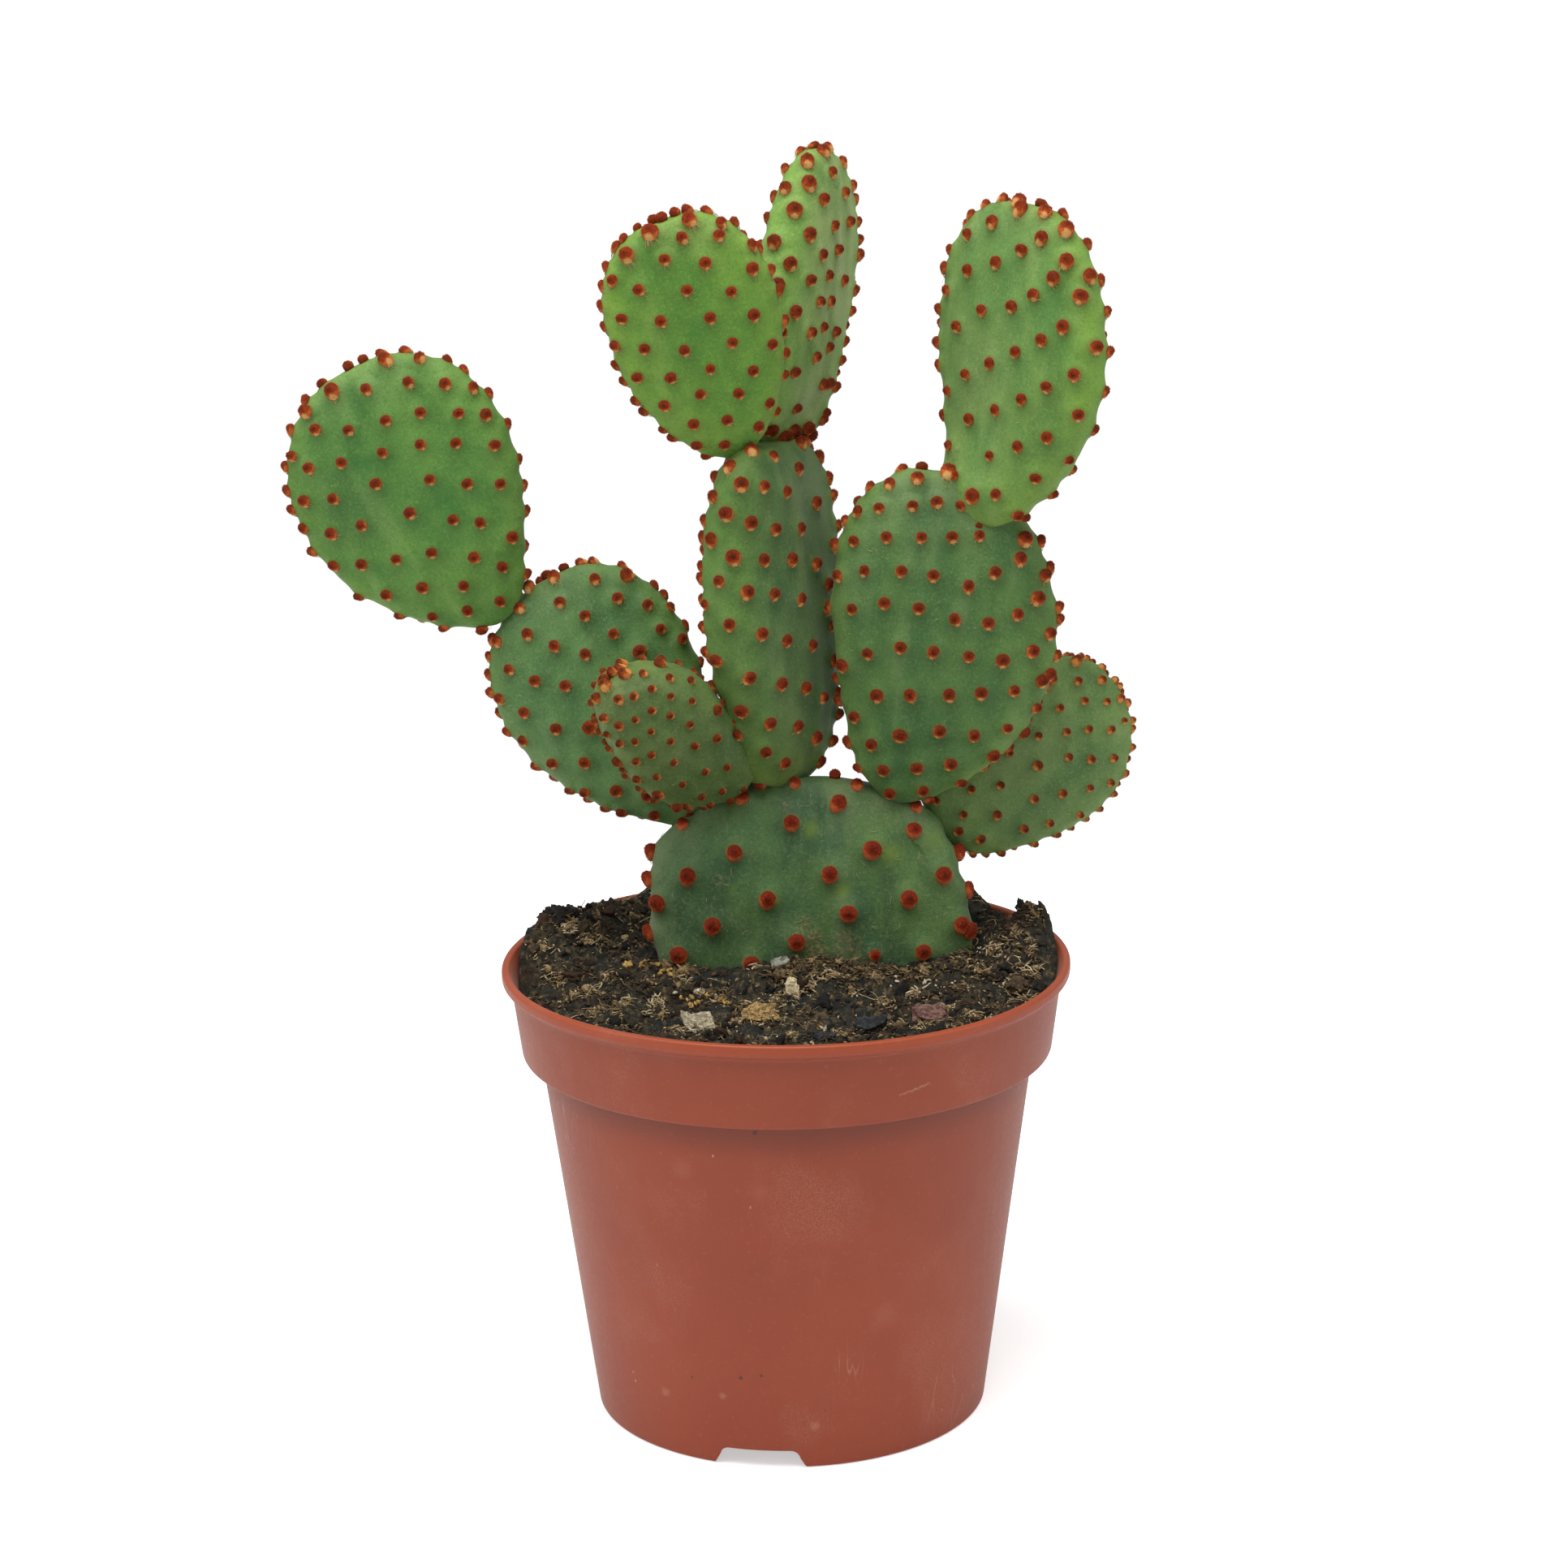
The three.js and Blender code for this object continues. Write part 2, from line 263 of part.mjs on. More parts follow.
    665, 99, 119, 760, 24, 158, 714, 342, 116, 631, 156, 117, 596, 120, 119, 665, 45, 141, 614,
    63, 126, 562, 81, 121, 509, 93, 122, 456, 111, 114, 614, 9, 150, 596, 345, 127, 526, 156,
    127, 456, 156, 124, 526, 33, 139, 474, 57, 129, 421, 75, 119, 369, 90, 119, 319, 108, 114,
    386, 135, 110, 474, 345, 126, 303, 156, 122, 404, 21, 135, 352, 345, 120, 319, 48, 135,
    271, 72, 122, 225, 90, 110, 225, 132, 110, 255, 9, 110, 156, 114, 110, 182, 42, 121, 120,
    78, 114, 78, 105, 112, 68, 150, 111, 131, 348, 126, 60, 24, 126, 15, 90, 110, 52, 351, 121,
    131, 153, 123, 614, 270, 130, 404, 261, 130, 831, 258, 131, 456, 288, 116, 596, 240, 130,
    775, 285, 116, 271, 279, 114, 614, 297, 130, 404, 225, 117, 271, 243, 130, 745, 231, 129,
    892, 276, 132, 156, 267, 126, 857, 222, 118, 579, 207, 114, 225, 198, 126, 697, 198, 115,
    922, 243, 118, 303, 306, 134, 526, 258, 132, 714, 261, 117, 869, 297, 122, 474, 201, 126,
    386, 186, 127, 956, 267, 121, 509, 309, 117, 790, 201, 120, 509, 273, 119, 210, 330, 126,
    156, 234, 127, 714, 306, 114, 892, 183, 130, 404, 309, 122, 169, 288, 124, 369, 273, 132,
    319, 207, 123, 303, 264, 121, 940, 207, 114, 665, 282, 132, 804, 309, 120, 491, 237, 121,
    78, 252, 135, 775, 270, 127, 631, 318, 113, 975, 216, 118, 648, 225, 133, 614, 258, 131,
    579, 177, 116,
  ],
  pad_10_low_right: [
    922, 180, 79, 922, 147, 112, 956, 174, 82, 969, 168, 80, 992, 144, 87, 995, 78, 81, 992,
    54, 81, 869, 117, 88, 948, 102, 89, 790, 135, 115, 956, 69, 89, 969, 33, 88, 831, 99, 76,
    902, 87, 75, 729, 108, 86, 902, 57, 75, 932, 24, 88, 760, 87, 87, 831, 72, 85, 681, 93, 85,
    579, 102, 81, 913, 21, 79, 857, 18, 84, 614, 84, 84, 681, 72, 86, 760, 54, 84, 438, 105,
    75, 491, 90, 98, 760, 15, 89, 319, 93, 84, 225, 105, 75, 491, 66, 93, 596, 54, 79, 681, 39,
    81, 386, 75, 93, 108, 132, 75, 131, 96, 82, 225, 81, 97, 369, 45, 79, 491, 33, 82, 68, 90,
    91, 271, 54, 88, 108, 66, 95, 271, 12, 80, 579, 12, 81, 143, 12, 89, 52, 12, 79, 369, 12,
    86, 665, 15, 82, 562, 189, 89, 303, 189, 90, 579, 270, 78, 818, 267, 86, 335, 273, 84, 697,
    237, 83, 509, 303, 84, 438, 246, 84, 729, 294, 84, 714, 183, 81, 240, 246, 88, 438, 147,
    78, 880, 294, 78, 169, 189, 79, 614, 135, 86, 156, 276, 83, 335, 306, 90, 818, 210, 89,
    940, 264, 90, 438, 213, 77, 681, 324, 78, 491, 342, 88, 804, 327, 84, 303, 132, 84, 857,
    243, 79, 969, 300, 78, 562, 231, 77, 210, 306, 90, 844, 171, 89, 456, 282, 86, 108, 246,
    87, 902, 333, 78, 956, 342, 81, 614, 285, 79, 404, 324, 88, 544, 255, 85, 681, 261, 81,
    404, 180, 81, 335, 231, 89, 948, 231, 83, 210, 345, 88, 509, 123, 90, 631, 165, 88, 438,
    267, 79, 196, 135, 89, 240, 162, 83, 526, 159, 83, 319, 342, 80, 98, 195, 79, 579, 324, 83,
    631, 210, 83, 714, 147, 88, 335, 258, 88, 631, 348, 82, 745, 276, 88, 120, 306, 91, 714,
    354, 91, 352, 153, 88, 404, 123, 81, 995, 264, 80, 880, 216, 79, 438, 3, 78, 892, 276, 81,
    255, 216, 88, 775, 171, 86, 818, 303, 80, 818, 357, 88, 210, 264, 82, 989, 357, 79, 286,
    288, 86, 681, 123, 81, 729, 213, 87, 985, 204, 82, 614, 303, 90, 491, 183, 83, 509, 6, 80,
    869, 348, 89, 775, 255, 81, 98, 351, 90, 421, 300, 86, 562, 351, 79, 369, 204, 92, 169,
    228, 91, 369, 288, 77, 790, 237, 84, 614, 243, 79, 156, 333, 91, 880, 186, 80, 932, 357,
    90, 526, 213, 79, 940, 204, 80, 665, 273, 80, 78, 285, 90, 131, 168, 86, 596, 117, 91, 255,
    273, 83, 775, 192, 87,
  ],
};

// Loose pieces on the soil: [x, y], half sizes, turn about Z in degrees, tip
const LITTER = {
  wood_flake: { at: [-18.0, -29.2], half: [3.2, 2.7, 1.1], turn: 25, tip: 46, seed: 3 },
  bark_chip_pink: { at: [29.6, -26.4], half: [3.5, 2.4, 1.3], turn: 12, tip: 34, seed: 7 },
  bark_chip_dark: { at: [17.2, -33.7], half: [2.7, 2.2, 1.7], turn: -20, tip: 18, seed: 11 },
  bark_chip_front: { at: [7.4, -41.5], half: [2.3, 1.8, 1.4], turn: 40, tip: 12, seed: 13 },
  stone_grey: { at: [-1.1, -7.9], half: [1.8, 1.5, 1.4], turn: 10, tip: 8, seed: 17 },
  flake_cream: { at: [1.4, -15.0], half: [1.3, 2.7, 0.9], turn: -6, tip: 52, seed: 19 },
  peat_clump_tan: { at: [-5.2, -26.3], half: [3.5, 2.4, 1.7], turn: -8, tip: 20, seed: 23 },
  peat_clump_back_left: { at: [-48.8, 18.6], half: [3.4, 2.4, 1.6], turn: 115, tip: 0, seed: 29 },
  straw_cream: { at: [-16.6, -13.5], half: [2.4, 0.8, 0.6], turn: -32, tip: 16, seed: 31 },
  bark_chip_back: { at: [20.0, 36.0], half: [5, 3.2, 1.5], turn: 60, tip: 12, seed: 37 },
  bark_chip_right: { at: [48.0, -12.0], half: [2.6, 1.8, 1.2], turn: 75, tip: 16, seed: 41 },
};

// ----------------------------------------------------------------- utilities
const wasm = await Module();
wasm.setup();

const rad = THREE.MathUtils.degToRad;

function toSolid(geometry) {
  const g = geometry.clone();
  for (const name of Object.keys(g.attributes))
    if (name !== "position") g.deleteAttribute(name);
  const merged = mergeVertices(g, 1e-4);
  return new wasm.Manifold(
    new wasm.Mesh({
      numProp: 3,
      vertProperties: new Float32Array(merged.attributes.position.array),
      triVerts: new Uint32Array(merged.index.array),
    }),
  );
}

function toGeometry(solid) {
  const m = solid.getMesh();
  const xyz = new Float32Array(m.numVert * 3);
  for (let i = 0; i < m.numVert; i++)
    xyz.set(m.vertProperties.subarray(i * m.numProp, i * m.numProp + 3), i * 3);
  const g = new THREE.BufferGeometry();
  g.setAttribute("position", new THREE.BufferAttribute(xyz, 3));
  g.setIndex(new THREE.BufferAttribute(new Uint32Array(m.triVerts), 1));
  return g;
}

// The largest of a solid's separate bodies: a cut can leave crumbs.
function biggest(solid) {
  return solid
    .decompose()
    .sort((p, q) => q.volume() - p.volume())[0];
}

const group = new THREE.Group();
group.name = "potted_paddle_cactus";

function addMesh(name, solid, material, frame = new THREE.Matrix4()) {
  const geometry = toGeometry(solid);
  geometry.applyMatrix4(frame.clone().invert());
  const flat = geometry.toNonIndexed();
  flat.computeVertexNormals();
  const mesh = new THREE.Mesh(flat, material);
  mesh.name = name;
  frame.decompose(mesh.position, mesh.quaternion, mesh.scale);
  group.add(mesh);
  return mesh;
}

// A smooth, repeatable ripple in the range -1 to 1.
function ripple(x, y, z, seed) {
  return (
    (Math.sin(x * 0.9 + seed * 1.7) * Math.cos(y * 1.1 - seed * 0.6) +
      Math.sin(y * 0.7 + z * 1.3 + seed * 2.3) +
      Math.cos(z * 1.7 - x * 0.6 + seed)) /
    3
  );
}

// ----------------------------------------------------------------------- pot
function innerRadius(z) {
  // radius of the pot's inner wall at height z
  const wall = [
    [6.9, 40.7],
    [79.9, 51.1],
    [80.6, 54.6],
    [93.5, 56.9],
    [97.2, 57.9],
    [110, 57.9],
  ];
  for (let i = 1; i < wall.length; i++)
    if (z <= wall[i][0]) {
      const [z0, r0] = wall[i - 1],
        [z1, r1] = wall[i];
      return r0 + ((r1 - r0) * (z - z0)) / (z1 - z0);
    }
  return 57.9;
}

function potSolid() {
  const profile = [
    [0, 0],
    [FOOT_DISC_RADIUS - 0.6, 0],
    [FOOT_DISC_RADIUS, 0.4],
    [FOOT_DISC_RADIUS + 1.3, FLOOR_LIFT - 0.4],
    [FOOT_DISC_RADIUS + 2.0, FLOOR_LIFT],
    [39.0, FLOOR_LIFT],
    [39.9, FLOOR_LIFT - 0.7],
    [40.3, 0.3],
    [40.8, 0],
    [41.4, 0.1],
    [BODY_FOOT_RADIUS + 0.2, 0.9],
    [47.05, 40.0],
    [BODY_TOP_RADIUS, COLLAR_FOOT_Z - 0.7],
    [BODY_TOP_RADIUS + 0.5, COLLAR_FOOT_Z - 0.15],
    [COLLAR_FOOT_RADIUS - 0.8, COLLAR_FOOT_Z],
    [COLLAR_FOOT_RADIUS, COLLAR_FOOT_Z + 0.9],
    [COLLAR_TOP_RADIUS, 94.3],
    [LIP_RADIUS - 0.5, 95.6],
    [LIP_RADIUS, 96.7],
    [LIP_RADIUS - 0.3, POT_HEIGHT - 0.3],
    [LIP_RADIUS - 1.0, POT_HEIGHT],
    [LIP_RADIUS - 1.7, POT_HEIGHT - 0.2],
    [57.9, 97.2],
    [56.9, 93.5],
    [54.6, 80.6],
    [51.1, 79.9],
    [40.7, 6.9],
    [40.0, FLOOR_LIFT + WALL],
    [FOOT_DISC_RADIUS + 2.9, FLOOR_LIFT + WALL],
    [FOOT_DISC_RADIUS + 2.0, FLOOR_LIFT + WALL - 0.4],
    [FOOT_DISC_RADIUS + 0.8, WALL + 0.5],
    [FOOT_DISC_RADIUS, WALL],
    [0, WALL],
  ].map(([r, z]) => new THREE.Vector2(r, z));
  const lathe = new THREE.LatheGeometry(profile, POT_SEGMENTS);
  lathe.rotateX(Math.PI / 2);
  let pot = toSolid(lathe);

  // foot notches: a slot with rounded upper corners through the foot ring
  const h = NOTCH_HEIGHT,
    b = NOTCH_WIDTH_FOOT / 2,
    t = NOTCH_WIDTH_TOP / 2,
    r = NOTCH_RADIUS;
  const slot = new THREE.Shape();
  slot.moveTo(-b - 0.3, -1);
  slot.lineTo(b + 0.3, -1);
  slot.lineTo(t + 0.35, h - r);
  slot.quadraticCurveTo(t, h, t - r, h);
  slot.lineTo(-t + r, h);
  slot.quadraticCurveTo(-t, h, -t - 0.35, h - r);
  slot.closePath();
  for (const angle of NOTCH_ANGLES) {
    const cutter = new THREE.ExtrudeGeometry(slot, {
      depth: 8,
      bevelEnabled: false,
      curveSegments: 4,
    });
    cutter.rotateX(Math.PI / 2); // slot stands up, runs along -Y
    cutter.translate(0, -36, 0);
    cutter.rotateZ(rad(angle + 90));
    pot = pot.subtract(toSolid(cutter));
  }

  // drainage holes in the raised ring of the floor
  for (let i = 0; i < DRAIN_COUNT; i++) {
    const drain = new THREE.CylinderGeometry(DRAIN_RADIUS, DRAIN_RADIUS, 8, 14);
    drain.rotateX(Math.PI / 2);
    const angle = rad((360 / DRAIN_COUNT) * (i + 0.5));
    drain.translate(
      DRAIN_CIRCLE * Math.cos(angle),
      DRAIN_CIRCLE * Math.sin(angle),
      FLOOR_LIFT + WALL / 2,
    );
    pot = pot.subtract(toSolid(drain));
  }
  return biggest(pot);
}

// ---------------------------------------------------------------------- soil
function soilHeight(x, y) {
  let z = SOIL_LEVEL;
  for (const [hx, hy, rise, spread] of SOIL_HEAPS)
    z += rise * Math.exp(-((x - hx) ** 2 + (y - hy) ** 2) / (2 * spread * spread));
  const ring = Math.max(0, Math.hypot(x / 34, (y - 3.5) / 9) - 1) * 14;
  z += SOIL_COLLAR.rise * Math.exp(-((ring / SOIL_COLLAR.reach) ** 2));
  z += 0.7 * ripple(x * 0.32, y * 0.32, 0, 5) + 0.5 * ripple(x * 0.8, y * 0.8, 0, 9);
  return z;
}

function soilSolid() {
  const top = [];
  const RINGS = 9;
  for (let i = RINGS; i > 0; i--) top.push([i / RINGS, NaN]);
  const side = [
    [0, WALL + GAP],
    [FOOT_DISC_RADIUS - 0.3, WALL + GAP],
    [FOOT_DISC_RADIUS + 0.45, WALL + 0.9],
    [FOOT_DISC_RADIUS + 1.7, FLOOR_LIFT + WALL + 0.1],
    [FOOT_DISC_RADIUS + 2.7, FLOOR_LIFT + WALL + GAP],
    [39.7, FLOOR_LIFT + WALL + GAP],
    [40.35, 7.1],
    [50.7, 79.95],
    [51.0, 80.3],
    [54.25, 81.0],
    [55.1, 86.0],
  ];
  const profile = [
    ...side.map(([r, z]) => new THREE.Vector2(r, z)),
    ...top.map(([k]) => new THREE.Vector2(k, 500)), // heights are set below
    new THREE.Vector2(0, 500),
  ];
  const g = new THREE.LatheGeometry(profile, POT_SEGMENTS);
  g.rotateX(Math.PI / 2);
  const p = g.attributes.position;
  for (let i = 0; i < p.count; i++) {
    if (p.getZ(i) < 400) continue;
    const k = Math.hypot(p.getX(i), p.getY(i)),
      angle = Math.atan2(p.getY(i), p.getX(i));
    const c = Math.cos(angle),
      s = Math.sin(angle);
    const rimZ = soilHeight(56 * c, 56 * s);
    const edge = innerRadius(Math.min(rimZ, 97)) - GAP - 0.1;
    const x = k * edge * c,
      y = k * edge * s;
    p.setXYZ(i, x, y, k > 0.99 ? rimZ : soilHeight(x, y));
  }
  return toSolid(g);
}

// ---------------------------------------------------------------------- pads
function padFrame(pad) {
  const tilt = rad(pad.tilt),
    lean = rad(pad.lean),
    yaw = rad(pad.yaw);
  const axis = new THREE.Vector3(
    Math.sin(tilt) * Math.cos(lean),
    Math.sin(lean),
    Math.cos(tilt) * Math.cos(lean),
  );
  const face = new THREE.Vector3(0, -1, 0);
  face.addScaledVector(axis, -face.dot(axis)).normalize();
  const side = new THREE.Vector3().crossVectors(axis, face);
  const normal = face
    .clone()
    .multiplyScalar(Math.cos(yaw))
    .addScaledVector(side, Math.sin(yaw));
  const across = new THREE.Vector3().crossVectors(axis, normal);
  return new THREE.Matrix4()
    .makeBasis(across, axis, normal)
    .setPosition(...pad.base);
}

function swell(t, a, b) {
  const peak = a / (a + b);
  return (t ** a * (1 - t) ** b) / (peak ** a * (1 - peak) ** b);
}

// A point of a pad in its own frame: X across, Y along the axis, Z out of the
// face; t is the height along the pad, (c, s) the direction round it.
function plainPoint(pad, t, c, s, grow = 0) {
  const power = 2 / EDGE_POWER;
  const end = t < 1e-6 || t > 1 - 1e-6;
  const half = end ? 0 : (pad.width / 2) * swell(t, pad.a, pad.b) + grow;
  const deep = end
    ? 0
    : (pad.thickness / 2) * swell(t, pad.ta ?? 0.5, pad.tb ?? 0.36) + grow;
  const middle =
    pad.c1 * Math.sin(Math.PI * t) + pad.c2 * Math.sin(2 * Math.PI * t);
  return new THREE.Vector3(
    middle + half * Math.sign(c) * Math.abs(c) ** power,
    pad.length * t + (t < 0.5 ? -grow : grow) * Math.abs(2 * t - 1),
    deep * Math.sign(s) * Math.abs(s) ** power,
  );
}

function padPoint(pad, frame, t, c, s, grow = 0) {
  const turned = new THREE.Matrix4().extractRotation(frame).invert();
  const p = plainPoint(pad, t, c, s, grow);
  for (const [at, degrees, way, reach] of pad.pulls ?? []) {
    const a = rad(degrees);
    const centre = plainPoint(pad, at, Math.cos(a), Math.sin(a));
    const near = Math.exp(-p.distanceToSquared(centre) / reach ** 2);
    p.addScaledVector(new THREE.Vector3(...way).applyMatrix4(turned), near);
  }
  return p;
}

function padGeometry(pad, frame, grow = 0, around = 18, along = 13) {
  const g = new THREE.SphereGeometry(1, around, along);
  g.deleteAttribute("normal");
  g.deleteAttribute("uv");
  const m = mergeVertices(g, 1e-5);
  const p = m.attributes.position;
  for (let i = 0; i < p.count; i++) {
    const x = p.getX(i),
      y = p.getY(i),
      z = p.getZ(i);
    const ring = Math.hypot(x, z) || 1;
    const t = Math.min(1, Math.max(0, (1 + y) / 2));
    p.setXYZ(i, ...padPoint(pad, frame, t, x / ring, z / ring, grow));
  }
  return m;
}

// Is a point, in the row's frame, inside a pad or within reach of it?
function nearPad(pad, toLocal, point, reach) {
  const q = point.clone().applyMatrix4(toLocal);
  if (q.y < -reach || q.y > pad.length + reach) return false;
  const t = Math.min(0.985, Math.max(0.015, q.y / pad.length));
  const half = (pad.width / 2) * swell(t, pad.a, pad.b) + reach;
  const deep =
    (pad.thickness / 2) * swell(t, pad.ta ?? 0.5, pad.tb ?? 0.36) + reach;
  const middle =
    pad.c1 * Math.sin(Math.PI * t) + pad.c2 * Math.sin(2 * Math.PI * t);
  return (
    Math.abs((q.x - middle) / half) ** EDGE_POWER +
      Math.abs(q.z / deep) ** EDGE_POWER <
    1
  );
}

// One tuft: a four-sided peak on the skin, its foot sunk into the pad.
function tuftSolid(pad, frame, height, degrees, radius) {
  const t = Math.min(0.996, Math.max(0.004, height)),
    a = rad(degrees),
    e = 0.002;
  const at = (u, w) => padPoint(pad, frame, u, Math.cos(w), Math.sin(w));
  const p = at(t, a);
  const normal = new THREE.Vector3()
    .crossVectors(
      at(t, a + 0.03).sub(at(t, a - 0.03)),
      at(t + e, a).sub(at(t - e, a)),
    )
    .normalize();
  const inside = new THREE.Vector3(0, pad.length / 2, 0);
  if (p.clone().sub(inside).dot(normal) < 0) normal.negate();
  const up = new THREE.Vector3(0, 1, 0);
  up.addScaledVector(normal, -up.dot(normal));
  if (up.length() < 0.25) {
    up.set(0, 0, 1);
    up.addScaledVector(normal, -up.dot(normal));
  }
  up.normalize();
  const side = new THREE.Vector3().crossVectors(up, normal);
  const rise = TUFT_HEIGHT * radius + TUFT_SINK;
  const foot = TUFT_BASE * radius * (rise / (TUFT_HEIGHT * radius));
  const corner = (x, y) =>
    p
      .clone()
      .addScaledVector(normal, -TUFT_SINK)
      .addScaledVector(side, x * foot)
      .addScaledVector(up, y * foot);
  const tip = p
    .clone()
    .addScaledVector(normal, TUFT_HEIGHT * radius)
    .addScaledVector(up, 0.25 * radius);
  const points = [corner(1, 0), corner(0, 1), corner(-1, 0), corner(0, -1), tip];
  const g = new THREE.BufferGeometry();
  g.setAttribute(
    "position",
    new THREE.Float32BufferAttribute(points.flatMap((v) => [v.x, v.y, v.z]), 3),
  );
  g.setIndex([0, 1, 4, 1, 2, 4, 2, 3, 4, 3, 0, 4, 2, 1, 0, 3, 2, 0]);
  return {
    solid: toSolid(g.applyMatrix4(frame)),
    at: p.applyMatrix4(frame),
    out: normal.transformDirection(frame),
  };
}

function padSolids() {
  const frames = {},
    locals = {},
    plain = {},
    grown = {},
    out = {};
  for (const [name, pad] of Object.entries(PADS)) {
    frames[name] = padFrame(pad);
    locals[name] = frames[name].clone().invert();
    const place = (g) => toSolid(g.clone().applyMatrix4(frames[name]));
    plain[name] = place(padGeometry(pad, frames[name]));
    grown[name] = place(padGeometry(pad, frames[name], GAP));
  }
  for (const [name, pad] of Object.entries(PADS)) {
    let s = plain[name];
    for (const other of [pad.parent, ...(PRESSED[name] ?? [])])
      if (other) s = s.subtract(grown[other]);
    s = biggest(s);
    const peaks = [];
    for (let i = 0; i < TUFTS[name].length; i += 3) {
      const [height, degrees, radius] = TUFTS[name].slice(i, i + 3);
      const tuft = tuftSolid(pad, frames[name], height / 1000, degrees, radius / 100);
      if (tuft.at.z < SOIL_CLEARANCE) continue;
      const crowded = Object.keys(PADS).some(
        (other) =>
          other !== name &&
          nearPad(PADS[other], locals[other], tuft.at, TUFT_CLEARANCE),
      );
      if (!crowded && tuft.out.y < TUFT_FACING) peaks.push(tuft.solid);
    }
    let tufts = wasm.Manifold.union(peaks);
    for (const other of Object.keys(PADS))
      if (other !== name) tufts = tufts.subtract(grown[other]);
    out[name] = biggest(s.add(tufts));

  }
  return { frames, out, grown };
}

// --------------------------------------------------------------------- roots
function rootSolid(grow, basePad) {
  let all = null;
  for (const root of ROOTS) {
    const path = new THREE.CatmullRomCurve3(
      root.p.map(([x, y, z]) => new THREE.Vector3(x, y, z)),
    );
    const ring = new THREE.Shape();
    for (let i = 0; i < 6; i++) {
      const a = (i / 6) * Math.PI * 2,
        r = root.r + grow;
      if (i) ring.lineTo(r * Math.cos(a), r * Math.sin(a));
      else ring.moveTo(r, 0);
    }
    ring.closePath();
    const tube = toSolid(
      new THREE.ExtrudeGeometry(ring, { steps: 6, extrudePath: path }),
    );
    all = all ? all.add(tube) : tube;
  }
  const crown = new THREE.SphereGeometry(1, 12, 7);
  crown.scale(6.5 + grow, 4.6 + grow, 5.5 + grow);
  crown.translate(1.8, 3, 48.5);
  return biggest(all.add(toSolid(crown)).subtract(basePad));
}

// -------------------------------------------------------------------- litter
function litterGeometry(piece) {
  const g = new THREE.IcosahedronGeometry(1, 1);
  g.deleteAttribute("normal");
  g.deleteAttribute("uv");
  const m = mergeVertices(g, 1e-4);
  const p = m.attributes.position;
  for (let i = 0; i < p.count; i++) {
    const x = p.getX(i),
      y = p.getY(i),
      z = p.getZ(i);
    const k = 1 + 0.28 * ripple(x * 3, y * 3, z * 3, piece.seed);
    const flat = (v) => Math.sign(v) * Math.abs(v) ** 0.8;
    p.setXYZ(
      i,
      flat(x) * piece.half[0] * k,
      flat(y) * piece.half[1] * k,
      flat(z) * piece.half[2] * k,
    );
  }
  return m;
}

function litterFrame(piece) {
  const [x, y] = piece.at;
  // follow the soil's slope, then tip a little further
  const e = 2;
  const nx = (soilHeight(x - e, y) - soilHeight(x + e, y)) / (2 * e),
    ny = (soilHeight(x, y - e) - soilHeight(x, y + e)) / (2 * e);
  const normal = new THREE.Vector3(nx, ny, 1).normalize();
  const q = new THREE.Quaternion()
    .setFromUnitVectors(new THREE.Vector3(0, 0, 1), normal)
    .multiply(
      new THREE.Quaternion().setFromEuler(
        new THREE.Euler(rad(piece.tip), 0, rad(piece.turn), "ZXY"),
      ),
    );
  return new THREE.Matrix4().compose(
    new THREE.Vector3(x, y, soilHeight(x, y) + piece.half[2] * 0.55),
    q,
    new THREE.Vector3(1, 1, 1),
  );
}

// ------------------------------------------------------------------ assembly
const finish = (color, roughness, metalness = 0) =>
  new THREE.MeshStandardMaterial({ color, roughness, metalness });

const pads = padSolids();
const PAD_COLOURS = {
  pad_1_base: 0x3f6246,
  pad_2_left: 0x527a4c,
  pad_3_far_left: 0x568c42,
  pad_4_young: 0x4d7043,
  pad_5_centre: 0x54803f,
  pad_6_upper_left: 0x5c9444,
  pad_7_upper_middle: 0x5e9247,
  pad_8_right: 0x4f7c49,
  pad_9_upper_right: 0x5f9150,
  pad_10_low_right: 0x4a7040,
};
for (const name of Object.keys(PADS))
  addMesh(name, pads.out[name], finish(PAD_COLOURS[name], 0.62), pads.frames[name]);

addMesh("pot", potSolid(), finish(0x944c37, 0.48));

const basePadHole = pads.grown.pad_1_base;
addMesh("roots", rootSolid(0, basePadHole), finish(0xa98a5e, 0.85));

const litterHoles = [];
const LITTER_COLOURS = {
  wood_flake: 0xb7ab8d,
  bark_chip_pink: 0x8b5a4a,
  bark_chip_dark: 0x35343a,
  bark_chip_front: 0x2f3036,
  stone_grey: 0xa9a79b,
  flake_cream: 0xd9cda6,
  peat_clump_tan: 0xa88a55,
  peat_clump_back_left: 0x2e2b22,
  straw_cream: 0xd8c9a0,
  bark_chip_back: 0x5a4332,
  bark_chip_right: 0x6d5a40,
};
for (const [name, piece] of Object.entries(LITTER)) {
  const frame = litterFrame(piece);
  const solid = toSolid(litterGeometry(piece).applyMatrix4(frame));
  const grownPiece = {
    ...piece,
    half: piece.half.map((v) => v + GAP * 1.5),
  };
  litterHoles.push(toSolid(litterGeometry(grownPiece).applyMatrix4(frame)));
  addMesh(name, solid, finish(LITTER_COLOURS[name], 0.85), frame);
}

let soil = soilSolid()
  .subtract(basePadHole)
  .subtract(rootSolid(GAP, wasmNothing()));
for (const hole of litterHoles) soil = soil.subtract(hole);
addMesh("potting_soil", biggest(soil), finish(0x32291f, 0.95));

// A solid far from the part, for a cut that should take nothing away.
function wasmNothing() {
  return toSolid(new THREE.BoxGeometry(1, 1, 1).translate(0, 0, -900));
}

export default group;
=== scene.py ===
# Potted paddle cactus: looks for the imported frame. Lengths in the code are
# millimetres; mesh builders scale them to metres.
import math

import bpy
import bmesh
import numpy as np
from mathutils import Matrix, Vector


